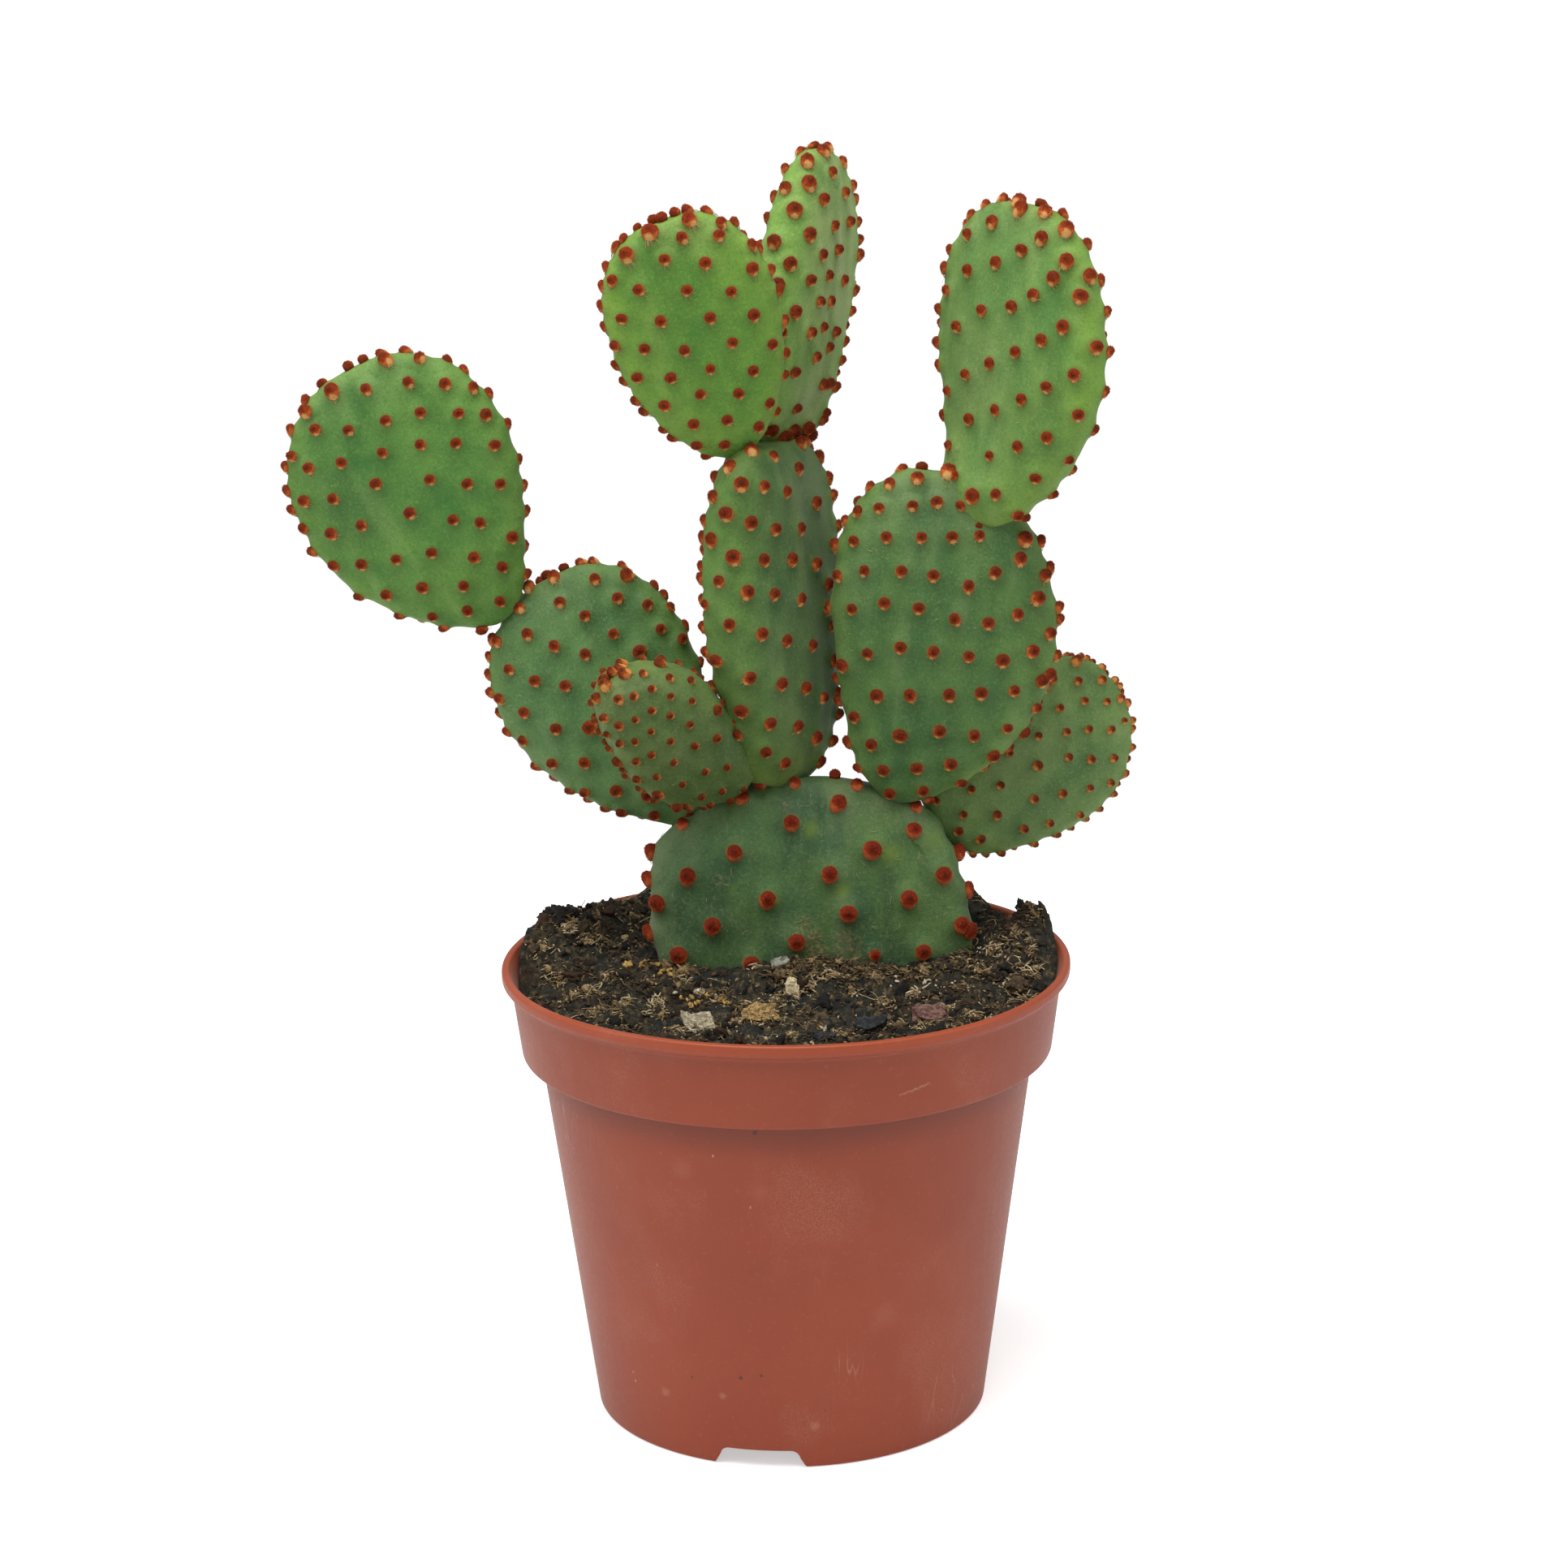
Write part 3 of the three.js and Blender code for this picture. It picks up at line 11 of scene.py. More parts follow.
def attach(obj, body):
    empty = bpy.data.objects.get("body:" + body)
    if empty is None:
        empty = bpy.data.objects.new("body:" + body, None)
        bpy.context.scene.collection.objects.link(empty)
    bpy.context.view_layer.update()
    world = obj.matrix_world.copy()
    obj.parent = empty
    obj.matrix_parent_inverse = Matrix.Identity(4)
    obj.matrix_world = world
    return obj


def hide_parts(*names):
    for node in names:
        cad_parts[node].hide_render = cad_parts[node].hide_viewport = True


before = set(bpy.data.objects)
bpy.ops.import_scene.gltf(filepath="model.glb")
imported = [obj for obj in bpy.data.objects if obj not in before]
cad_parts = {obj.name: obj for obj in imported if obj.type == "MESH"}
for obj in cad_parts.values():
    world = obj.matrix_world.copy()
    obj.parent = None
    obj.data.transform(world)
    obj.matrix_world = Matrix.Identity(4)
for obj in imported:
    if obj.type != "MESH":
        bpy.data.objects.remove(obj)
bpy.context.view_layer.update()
MM = 0.001

# ------------------------------------------------------------------ the pads
# base: where the pad grows; tilt, lean and yaw in degrees; the outline is
# t^a (1-t)^b; ta, tb shape the thickness; c1, c2 bend the middle line. pulls
# draw the skin near a point (t, degrees round) by a vector, within a reach.
PADS = {
    "pad_1_base": dict(parent=None, base=(1.5, 3.0, 52.0), tilt=6.4, lean=1, yaw=0, length=84.3, width=67.9, thickness=16.0, a=0.74, b=0.48, c1=-0.45, c2=2.07, pulls=((0.805, 186, (-2.4, 0, 0.8), 9), (0.932, 357, (0.5, 0, 1), 8),)),
    "pad_2_left": dict(parent="pad_1_base", base=(-22.0, 7.0, 126.7), tilt=-27.8, lean=7, yaw=-4, length=57.9, width=43.0, thickness=13.0, a=0.72, b=0.46, c1=-1.4, c2=0.2, pulls=((0.10, 0, (6.0, 0, -5.0), 9.0),)),
    "pad_3_far_left": dict(parent="pad_2_left", base=(-60.1, 12.0, 168.4), tilt=-27.1, lean=-3, yaw=-8, length=61.3, width=48.8, thickness=11.4, a=0.69, b=0.47, c1=-2.15, c2=-0.83, pulls=((0.05, 0, (1.5, 0, -0.6), 6.5),)),
    "pad_4_young": dict(parent="pad_1_base", base=(-11.1, 1.5, 134.2), tilt=-41.8, lean=-24, yaw=8, length=40.7, width=24.3, thickness=14.9, a=0.6, b=0.58, c1=0.68, c2=-0.86, pulls=((0.12, 0, (3.4, 0, -1.6), 9),)),
    "pad_5_centre": dict(parent="pad_1_base", base=(1.9, 6.5, 134.3), tilt=-3.0, lean=2, yaw=55, length=72.4, width=38.5, thickness=17.2, a=0.43, b=0.33, ta=0.36, tb=0.27, c1=-2.4, c2=0.0, pulls=((0.93, 180, (0, -5.5, 1.5), 10), (0.06, 180, (-2.5, 0, -1), 8))),
    "pad_6_upper_left": dict(parent="pad_5_centre", base=(-7.7, -0.6, 205.15), tilt=-16.7, lean=-11.5, yaw=6, length=52.6, width=34.7, thickness=11.5, a=0.62, b=0.41, c1=-0.39, c2=-0.3),
    "pad_7_upper_middle": dict(parent="pad_5_centre", base=(4.5, 16, 203.4), tilt=4.1, lean=5, yaw=62, length=62.2, width=33.4, thickness=11.9, a=0.58, b=0.51, c1=-2.62, c2=-1.79, pulls=((0.08, 180, (-3.5, 0, -1.5), 8), (0.08, 270, (-3.5, 0, -1), 7),)),
    "pad_8_right": dict(parent="pad_1_base", base=(24.1, 1.0, 131.2), tilt=7.9, lean=-1, yaw=-3, length=70.8, width=46.4, thickness=14.0, a=0.59, b=0.43, c1=4.83, c2=1.07),
    "pad_9_upper_right": dict(parent="pad_8_right", base=(44.2, -1.0, 191.4), tilt=5.4, lean=-1, yaw=-46, length=64.8, width=42.0, thickness=13.3, a=0.6, b=0.42, c1=3.0, c2=0.67, pulls=((0.085, 150, (-4.2, -1.5, -1), 9), (0.06, 92, (-1, -2.6, -1), 8.5),)),
    "pad_10_low_right": dict(parent="pad_1_base", base=(34.3, 7.5, 120.8), tilt=47.9, lean=16, yaw=5, length=49.5, width=35.1, thickness=13.1, a=0.6, b=0.48, c1=0.42, c2=-1.1, pulls=((0.1, 180, (-2.5, 0, 0.2), 7),)),
}
EDGE_POWER = 2.5
# how high the soft folds along a pad rise
FOLDS = {
    "pad_5_centre": 0.34, "pad_7_upper_middle": 0.30, "pad_9_upper_right": 0.24,
    "pad_8_right": 0.18, "pad_6_upper_left": 0.12, "pad_2_left": 0.14, "pad_1_base": 0.16,
}


def tone8(r, g, b):
    return tuple((c / 255 / 12.92 if c / 255 <= 0.04045 else ((c / 255 + 0.055) / 1.055) ** 2.4) for c in (r, g, b))


# marks on a pad's face: x, z, radius, kind, strength
SPOTS = {
    "pad_1_base": (
        (0.4, 131.0, 0.9, "ring", 0.8), (-13.9, 115.7, 0.9, "ring", 0.8), (-6.4, 121.1, 0.8, "ring", 0.6),
        (28.7, 119.1, 0.8, "ring", 0.6), (-3.2, 104.0, 0.9, "ring", 0.3),
        (5.7, 126.3, 1.6, "spot", 0.8), (21.9, 121.0, 2.0, "spot", 0.8), (12.0, 113.6, 1.3, "spot", 0.9),
        (-2.1, 111.6, 1.5, "spot", 0.4), (31.1, 123.5, 2.2, "spot", 0.5), (-10.3, 131.1, 1.4, "spot", 0.35),
        (4.3, 106.2, 1.5, "cork", 0.9), (5.6, 103.0, 2.2, "cork", 1.0), (5.9, 100.5, 2.4, "cork", 0.9),
        (12.3, 104.0, 1.5, "cork", 0.85), (13.1, 101.5, 2.2, "cork", 0.8), (2.9, 104.5, 1.2, "cork", 0.5),
        (15.6, 98.9, 1.6, "cork", 0.6),
    ),
}

# broad tints, some of them painted light and shade (marked below): degrees round, height, reach round, reach along,
# colour, strength
PAINT = {
    "pad_1_base": (
        # painted shade: pad 1's lower part, under the upper pads, darker
        (90, 0.45, 80, 0.16, tone8(60, 84, 52), 0.45),
        # painted highlight: a pale glare down pad 1's left edge
        (176, 0.62, 26, 0.30, tone8(128, 140, 112), 0.55),
        # painted sheen: paler near the pad's top
        (60, 0.99, 70, 0.07, tone8(108, 118, 84), 0.35),
        (125, 0.78, 30, 0.14, tone8(70, 112, 70), 0.40),
    ),
    "pad_2_left": (
        (120, 0.50, 60, 0.40, tone8(72, 112, 76), 0.40),
        # painted sheen: paler near the pad's top
        (90, 0.97, 80, 0.12, tone8(116, 144, 94), 0.45),
        (185, 0.30, 40, 0.30, tone8(92, 120, 74), 0.35),
    ),
    "pad_3_far_left": (
        (113, 0.62, 26, 0.20, tone8(60, 104, 52), 0.60),
        (176, 0.50, 34, 0.40, tone8(112, 152, 58), 0.60),
        (70, 0.13, 70, 0.13, tone8(104, 144, 56), 0.55),
        # painted sheen: paler near the pad's top
        (90, 0.99, 80, 0.13, tone8(128, 158, 96), 0.50),
        (20, 0.50, 28, 0.40, tone8(94, 138, 66), 0.35),
    ),
    "pad_4_young": (
        (90, 0.50, 120, 0.50, tone8(94, 108, 62), 0.35),
        # painted sheen: paler near the pad's top
        (90, 0.98, 90, 0.12, tone8(120, 128, 84), 0.35),
    ),
    "pad_5_centre": (
        (190, 0.70, 42, 0.28, tone8(80, 140, 52), 0.65),
        # greyer tint over pad 5's right-turned face, partly painted shade cast by pad 8
        (95, 0.58, 38, 0.50, tone8(92, 108, 84), 0.50),
        (140, 0.05, 100, 0.07, tone8(124, 144, 62), 0.60),
        # painted sheen: paler near the pad's top
        (60, 0.92, 60, 0.12, tone8(118, 138, 104), 0.40),
    ),
    "pad_6_upper_left": (
        (178, 0.55, 38, 0.42, tone8(122, 168, 52), 0.75),
        (140, 0.14, 60, 0.18, tone8(118, 154, 58), 0.55),
        # painted sheen: paler near the pad's top
        (90, 0.98, 80, 0.12, tone8(134, 160, 92), 0.45),
        (12, 0.42, 30, 0.30, tone8(106, 130, 54), 0.50),
        (100, 0.62, 28, 0.26, tone8(76, 128, 54), 0.40),
    ),
    "pad_7_upper_middle": (
        (182, 0.62, 42, 0.55, tone8(92, 160, 52), 0.70),
        # painted light: pale grey-green over pad 7's lit right face
        (80, 0.60, 42, 0.55, tone8(170, 180, 130), 0.78),
        # painted sheen: paler near the pad's top
        (95, 0.98, 80, 0.10, tone8(136, 160, 90), 0.40),
        (120, 0.10, 90, 0.12, tone8(112, 144, 70), 0.40),
    ),
    "pad_8_right": (
        # painted sheen: paler near the pad's top
        (90, 0.97, 80, 0.12, tone8(128, 150, 102), 0.55),
        (335, 0.10, 50, 0.18, tone8(132, 160, 62), 0.70),
        (95, 0.52, 60, 0.36, tone8(72, 104, 56), 0.35),
        (178, 0.50, 24, 0.40, tone8(104, 134, 78), 0.35),
    ),
    "pad_9_upper_right": (
        (2, 0.62, 38, 0.52, tone8(118, 172, 48), 0.75),
        (112, 0.52, 44, 0.46, tone8(112, 136, 88), 0.40),
        (70, 0.05, 80, 0.12, tone8(132, 162, 60), 0.50),
        # painted sheen: paler near the pad's top
        (100, 0.98, 80, 0.10, tone8(134, 158, 98), 0.35),
    ),
    "pad_10_low_right": (
        (90, 0.50, 80, 0.45, tone8(110, 132, 84), 0.45),
        (270, 0.20, 60, 0.20, tone8(112, 132, 72), 0.40),
    ),
}

# Where the tufts sit on each pad: three numbers for each one, which are the
# height along the pad in thousandths, the angle round it in degrees and the
# tuft's radius in hundredths of a millimetre.
TUFTS = {
    "pad_3_far_left": [
        956, 351, 121, 985, 351, 114, 969, 39, 149, 922, 18, 126, 869, 354, 122, 818, 354, 107, 997, 345,
        116, 1000, 327, 112, 989, 174, 119, 963, 108, 152, 922, 84, 115, 880, 57, 114, 818, 36, 115, 760,
        15, 111, 714, 357, 109, 940, 144, 133, 963, 174, 120, 880, 123, 122, 831, 99, 114, 804, 84, 110,
        775, 66, 110, 714, 45, 110, 665, 24, 119, 596, 357, 115, 902, 171, 120, 831, 153, 116, 775, 132,
        125, 745, 108, 110, 714, 90, 110, 681, 75, 114, 631, 57, 110, 562, 30, 120, 474, 357, 114, 804, 171,
        113, 729, 171, 119, 681, 144, 122, 648, 120, 113, 631, 96, 124, 562, 78, 114, 491, 60, 116, 438, 36,
        119, 665, 171, 122, 596, 159, 110, 544, 132, 121, 526, 111, 121, 491, 90, 124, 404, 75, 110, 352,
        60, 113, 255, 33, 126, 509, 171, 112, 438, 150, 110, 404, 126, 118, 369, 105, 112, 335, 90, 110,
        255, 72, 112, 182, 51, 117, 120, 0, 121, 303, 168, 121, 271, 132, 119, 240, 105, 121, 182, 87, 114,
        87, 66, 114, 182, 165, 109, 131, 129, 110, 98, 96, 117, 78, 162, 116, 15, 150, 117, 631, 273, 116,
        491, 261, 107, 857, 267, 122, 474, 288, 107, 681, 252, 120, 804, 288, 112, 303, 276, 113, 648, 297,
        117, 491, 234, 121, 319, 255, 104, 369, 315, 107, 831, 243, 105, 182, 264, 116, 665, 228, 111, 255,
        303, 116, 352, 231, 113, 509, 309, 113, 902, 282, 115, 386, 201, 119, 775, 309, 113, 156, 288, 120,
        818, 219, 112, 303, 351, 108, 869, 309, 119, 913, 246, 116, 562, 213, 118, 421, 273, 121, 196, 237,
        104, 386, 354, 113, 745, 264, 122, 648, 321, 108, 948, 261, 114, 579, 246, 112, 255, 216, 122, 196,
        339, 117, 913, 219, 111, 369, 288, 111, 579, 285, 118, 614, 264, 106, 526, 273, 106, 729, 276, 113,
        131, 195, 114, 474, 207, 123, 544, 327, 107, 438, 249, 106, 87, 252, 116,
    ],
    "pad_6_upper_left": [
        989, 348, 115, 975, 54, 147, 963, 354, 115, 922, 27, 112, 892, 0, 112, 997, 333, 107, 1000, 297,
        117, 999, 225, 105, 980, 111, 159, 969, 189, 105, 932, 81, 118, 892, 48, 122, 948, 186, 118, 932,
        138, 156, 880, 96, 114, 818, 75, 114, 804, 18, 110, 775, 3, 109, 729, 39, 119, 892, 183, 110, 857,
        153, 113, 831, 180, 109, 804, 120, 115, 745, 90, 110, 681, 66, 111, 681, 6, 104, 596, 6, 118, 760,
        180, 111, 714, 141, 113, 665, 108, 110, 614, 84, 117, 562, 54, 119, 474, 6, 115, 681, 180, 103, 614,
        159, 110, 579, 126, 111, 526, 99, 110, 491, 75, 114, 421, 39, 119, 352, 9, 116, 526, 177, 111, 474,
        144, 113, 438, 114, 110, 421, 90, 110, 352, 63, 116, 271, 9, 110, 456, 177, 103, 369, 174, 113, 335,
        132, 110, 335, 99, 110, 286, 78, 110, 196, 42, 110, 143, 12, 108, 319, 174, 112, 225, 171, 104, 225,
        117, 110, 196, 90, 110, 120, 57, 110, 182, 171, 112, 131, 138, 110, 98, 102, 110, 68, 165, 103, 631,
        267, 119, 404, 279, 113, 818, 276, 111, 456, 249, 114, 579, 294, 111, 790, 249, 108, 255, 264, 105,
        614, 237, 107, 760, 303, 102, 255, 294, 107, 421, 309, 106, 902, 258, 101, 131, 276, 120, 286, 234,
        111, 544, 324, 118, 869, 303, 119, 509, 222, 120, 665, 318, 116, 729, 228, 103, 509, 270, 112, 156,
        237, 102, 697, 279, 118, 922, 279, 108, 596, 207, 108, 869, 231, 102, 303, 318, 111, 78, 324, 112,
        404, 225, 108, 369, 264, 102, 210, 330, 104, 818, 333, 110, 745, 267, 111, 421, 339, 106, 562, 255,
        119, 681, 252, 114, 989, 207, 100,
    ],
    "pad_7_upper_middle": [
        999, 195, 114, 981, 216, 112, 985, 120, 149, 950, 162, 154, 995, 66, 119, 957, 51, 113, 924, 216,
        119, 924, 99, 113, 883, 147, 159, 861, 183, 139, 861, 81, 110, 883, 48, 116, 836, 213, 113, 836,
        117, 135, 796, 162, 155, 767, 213, 114, 752, 96, 110, 767, 75, 110, 767, 45, 110, 690, 180, 139,
        722, 132, 140, 658, 108, 112, 675, 90, 110, 658, 45, 124, 625, 153, 140, 575, 120, 126, 591, 96,
        110, 575, 78, 110, 540, 45, 120, 557, 165, 145, 472, 135, 133, 506, 102, 110, 506, 90, 110, 472, 45,
        110, 404, 108, 118, 421, 93, 110, 404, 78, 110, 371, 45, 110, 277, 126, 117, 323, 96, 110, 354, 84,
        110, 307, 45, 116, 233, 81, 118, 233, 69, 124, 219, 45, 121, 168, 105, 110, 113, 45, 124, 134, 45,
        110, 44, 105, 130, 113, 174, 148, 658, 282, 125, 354, 189, 122, 472, 276, 108, 823, 273, 113, 608,
        252, 114, 354, 255, 127, 591, 336, 127, 836, 336, 108, 307, 285, 114, 421, 324, 108, 472, 228, 117,
        722, 348, 118, 924, 333, 107, 206, 195, 110, 168, 273, 108, 277, 327, 115, 722, 261, 110, 540, 297,
        118, 924, 276, 127, 489, 0, 120, 454, 183, 122, 591, 222, 118, 489, 258, 126, 233, 252, 120, 976,
        324, 110, 339, 0, 113, 737, 300, 111, 180, 333, 110, 277, 171, 110, 836, 252, 107, 642, 6, 122, 575,
        270, 123, 836, 21, 126, 292, 228, 110, 836, 297, 110, 675, 228, 114, 387, 297, 114, 895, 3, 122,
        421, 12, 112, 642, 306, 127, 404, 153, 126, 916, 255, 112, 523, 198, 121, 557, 12, 117, 262, 12,
        111, 387, 270, 107, 942, 15, 126, 782, 3, 107, 105, 246, 109, 105, 294, 126, 387, 228, 117, 608,
        189, 107, 506, 321, 125, 219, 294, 122, 168, 225, 125, 737, 273, 114, 262, 270, 123, 767, 243, 117,
        540, 243, 123, 767, 324, 121, 658, 330, 120, 706, 27, 117, 339, 153, 111, 354, 321, 125, 113, 339,
        112, 976, 276, 126,
    ],
    "pad_9_upper_right": [
        992, 159, 121, 995, 90, 162, 997, 333, 123, 969, 159, 116, 932, 159, 123, 980, 81, 162, 980, 33,
        162, 975, 339, 132, 932, 105, 135, 880, 129, 118, 913, 57, 147, 940, 15, 161, 902, 342, 127, 818,
        159, 117, 869, 78, 131, 818, 93, 126, 775, 114, 124, 857, 33, 159, 760, 156, 126, 818, 6, 150, 804,
        342, 122, 697, 138, 110, 804, 51, 139, 745, 69, 126, 697, 84, 128, 665, 99, 119, 760, 24, 158, 714,
        342, 116, 631, 156, 117, 596, 120, 119, 665, 45, 141, 614, 63, 126, 562, 81, 121, 509, 93, 122, 456,
        111, 114, 614, 9, 150, 596, 345, 127, 526, 156, 127, 456, 156, 124, 526, 33, 139, 474, 57, 129, 421,
        75, 119, 369, 90, 119, 319, 108, 114, 386, 135, 110, 474, 345, 126, 303, 156, 122, 404, 21, 135,
        352, 345, 120, 319, 48, 135, 271, 72, 122, 225, 90, 110, 225, 132, 110, 255, 9, 110, 156, 114, 110,
        182, 42, 121, 120, 78, 114, 78, 105, 112, 68, 150, 111, 131, 348, 126, 60, 24, 126, 15, 90, 110, 52,
        351, 121, 131, 153, 123, 614, 270, 130, 404, 261, 130, 831, 258, 131, 456, 288, 116, 596, 240, 130,
        775, 285, 116, 271, 279, 114, 614, 297, 130, 404, 225, 117, 271, 243, 130, 745, 231, 129, 892, 276,
        132, 156, 267, 126, 857, 222, 118, 579, 207, 114, 225, 198, 126, 697, 198, 115, 922, 243, 118, 303,
        306, 134, 526, 258, 132, 714, 261, 117, 869, 297, 122, 474, 201, 126, 386, 186, 127, 956, 267, 121,
        509, 309, 117, 790, 201, 120, 509, 273, 119, 210, 330, 126, 156, 234, 127, 714, 306, 114, 892, 183,
        130, 404, 309, 122, 169, 288, 124, 369, 273, 132, 319, 207, 123, 303, 264, 121, 940, 207, 114, 665,
        282, 132, 804, 309, 120, 491, 237, 121, 78, 252, 135, 775, 270, 127, 631, 318, 113, 975, 216, 118,
        648, 225, 133, 614, 258, 131, 579, 177, 116,
    ],
    "pad_2_left": [
        992, 138, 135, 948, 123, 122, 1000, 60, 120, 985, 78, 135, 995, 9, 109, 980, 0, 120, 963, 0, 111,
        913, 51, 118, 902, 357, 111, 869, 21, 148, 790, 357, 108, 745, 357, 113, 902, 87, 110, 818, 51, 110,
        745, 33, 117, 697, 6, 110, 818, 78, 110, 714, 69, 110, 648, 36, 110, 614, 357, 117, 579, 18, 110,
        474, 357, 110, 857, 111, 114, 775, 96, 117, 697, 87, 110, 614, 60, 141, 892, 171, 118, 880, 150,
        115, 775, 132, 113, 697, 114, 111, 631, 99, 117, 844, 171, 116, 790, 171, 118, 697, 153, 110, 729,
        171, 119, 614, 132, 114, 509, 117, 118, 456, 99, 145, 579, 171, 120, 526, 150, 110, 404, 141, 120,
        352, 117, 120, 421, 171, 115, 255, 147, 110, 286, 168, 108, 210, 117, 130, 169, 168, 111, 131, 150,
        110, 156, 99, 129, 78, 117, 110, 11, 150, 110, 52, 78, 122, 225, 3, 120, 438, 282, 110, 562, 258,
        112, 818, 267, 105, 404, 66, 117, 665, 288, 115, 319, 255, 105, 225, 282, 117, 714, 240, 123, 108,
        351, 114, 902, 237, 122, 844, 291, 111, 352, 18, 112, 509, 228, 116, 240, 72, 104, 544, 306, 108,
        335, 309, 122, 544, 84, 111, 369, 225, 111, 169, 255, 111, 948, 174, 107, 932, 264, 117, 648, 216,
        118, 319, 93, 111, 491, 48, 120, 665, 315, 118, 681, 267, 123, 975, 210, 124, 438, 267, 109, 790,
        312, 103, 562, 276, 114, 255, 225, 110, 818, 222, 118, 932, 282, 113, 438, 318, 105, 335, 273, 118,
        509, 195, 123, 456, 249, 114, 421, 87, 110, 303, 48, 106, 98, 273, 111, 210, 312, 107, 790, 252,
        115, 303, 345, 120, 352, 189, 116, 87, 213, 113, 745, 210, 107, 892, 213, 112, 182, 42, 114, 544,
        330, 113, 913, 318, 106, 509, 69, 114, 729, 276, 115, 596, 240, 116, 438, 210, 107, 648, 186, 117,
        131, 66, 122, 438, 27, 110, 335, 78, 109, 225, 186, 105, 386, 342, 106, 169, 222, 113, 844, 276,
        103, 665, 255, 111, 989, 252, 105, 169, 351, 111, 352, 288, 117, 456, 297, 110,
    ],
    "pad_4_young": [
        963, 345, 115, 975, 0, 115, 989, 0, 115, 969, 30, 115, 1000, 135, 115, 995, 111, 115, 969, 168, 115,
        913, 33, 75, 844, 6, 114, 804, 345, 82, 729, 351, 75, 880, 336, 82, 804, 36, 77, 697, 27, 76, 648,
        357, 79, 544, 6, 81, 940, 99, 91, 902, 84, 83, 857, 63, 78, 760, 63, 75, 648, 54, 75, 857, 186, 78,
        902, 147, 99, 844, 126, 86, 818, 102, 75, 790, 87, 77, 697, 81, 76, 579, 75, 76, 491, 39, 115, 818,
        159, 76, 729, 120, 75, 760, 141, 82, 714, 99, 75, 596, 93, 80, 474, 84, 84, 404, 63, 88, 714, 177,
        76, 648, 168, 115, 631, 135, 77, 614, 114, 75, 491, 102, 77, 319, 90, 75, 255, 75, 78, 579, 174, 77,
        526, 153, 91, 491, 126, 75, 352, 111, 75, 156, 93, 75, 78, 75, 76, 438, 171, 80, 386, 144, 112, 210,
        111, 81, 240, 147, 115, 210, 141, 82, 120, 123, 75, 52, 105, 75, 491, 270, 82, 286, 333, 72, 240,
        258, 80, 760, 264, 79, 131, 354, 74, 303, 207, 75, 614, 234, 73, 509, 309, 79, 143, 204, 85, 913,
        246, 72, 386, 3, 78, 255, 21, 82, 438, 240, 82, 697, 294, 73, 98, 276, 80, 319, 285, 79, 526, 207,
        84, 869, 282, 79, 760, 225, 75, 319, 174, 83, 474, 342, 72, 648, 201, 78, 421, 198, 72, 631, 321,
        79, 196, 297, 74, 969, 276, 80, 631, 267, 75, 78, 177, 85, 386, 309, 80, 210, 180, 75, 913, 207, 81,
        386, 264, 76, 804, 303, 79, 210, 351, 80, 775, 195, 85, 78, 21, 85, 579, 288, 76, 98, 243, 83, 303,
        0, 83, 562, 345, 72, 369, 339, 84, 509, 183, 83, 143, 168, 73, 544, 255, 77, 319, 243, 79, 438, 285,
        77, 78, 321, 83, 844, 231, 78, 225, 231, 81, 456, 15, 72, 922, 309, 73, 969, 231, 72, 681, 249, 74,
        182, 15, 82, 196, 273, 76, 729, 318, 73, 760, 279, 78, 844, 261, 73, 386, 222, 77, 579, 189, 81,
        271, 186, 73, 303, 306, 81, 352, 21, 81, 286, 270, 82, 225, 204, 79, 352, 192, 78, 225, 321, 85,
        831, 207, 85, 697, 216, 79, 714, 192, 72, 902, 270, 84,
    ],
    "pad_5_centre": [
        992, 192, 151, 975, 162, 148, 963, 120, 122, 980, 66, 137, 999, 9, 162, 969, 219, 115, 932, 39, 131,
        940, 183, 142, 922, 90, 131, 913, 213, 127, 869, 39, 136, 902, 162, 138, 892, 132, 125, 869, 105,
        128, 818, 39, 134, 869, 195, 132, 818, 78, 133, 831, 174, 156, 804, 144, 136, 775, 117, 129, 760,
        93, 125, 729, 39, 130, 804, 210, 131, 760, 186, 149, 760, 210, 134, 714, 162, 144, 697, 129, 129,
        681, 102, 126, 648, 84, 122, 681, 57, 140, 681, 210, 120, 648, 210, 122, 648, 177, 135, 614, 147,
        140, 596, 120, 128, 562, 96, 129, 509, 75, 124, 579, 72, 120, 579, 195, 112, 509, 210, 122, 526,
        168, 130, 491, 135, 139, 456, 111, 122, 421, 90, 118, 456, 69, 110, 438, 207, 132, 421, 186, 141,
        369, 153, 136, 335, 120, 137, 303, 96, 129, 255, 81, 120, 352, 66, 133, 255, 57, 110, 335, 207, 136,
        271, 171, 135, 225, 138, 122, 196, 105, 122, 143, 87, 130, 182, 42, 131, 196, 183, 117, 143, 147,
        129, 98, 120, 121, 108, 207, 110, 60, 69, 123, 108, 45, 125, 37, 177, 110, 526, 342, 138, 579, 273,
        132, 804, 276, 119, 335, 273, 137, 352, 354, 117, 697, 312, 123, 880, 312, 136, 156, 279, 133, 225,
        324, 119, 648, 0, 139, 456, 294, 136, 790, 345, 131, 969, 342, 129, 922, 270, 135, 697, 255, 121,
        456, 24, 137, 474, 252, 134, 240, 249, 139, 902, 357, 124, 818, 252, 121, 579, 39, 119, 579, 300,
        125, 108, 324, 137, 255, 6, 124, 335, 300, 126, 352, 249, 123, 596, 243, 124, 992, 264, 138, 438,
        348, 118, 335, 33, 134, 697, 279, 125, 956, 291, 135, 87, 258, 120, 474, 273, 120, 169, 357, 131,
        729, 3, 127, 902, 252, 118, 985, 18, 129, 255, 219, 130, 562, 6, 123, 614, 324, 119, 790, 309, 138,
        844, 3, 131, 404, 315, 126, 880, 285, 127, 240, 288, 120, 303, 327, 137, 948, 6, 138, 182, 225, 122,
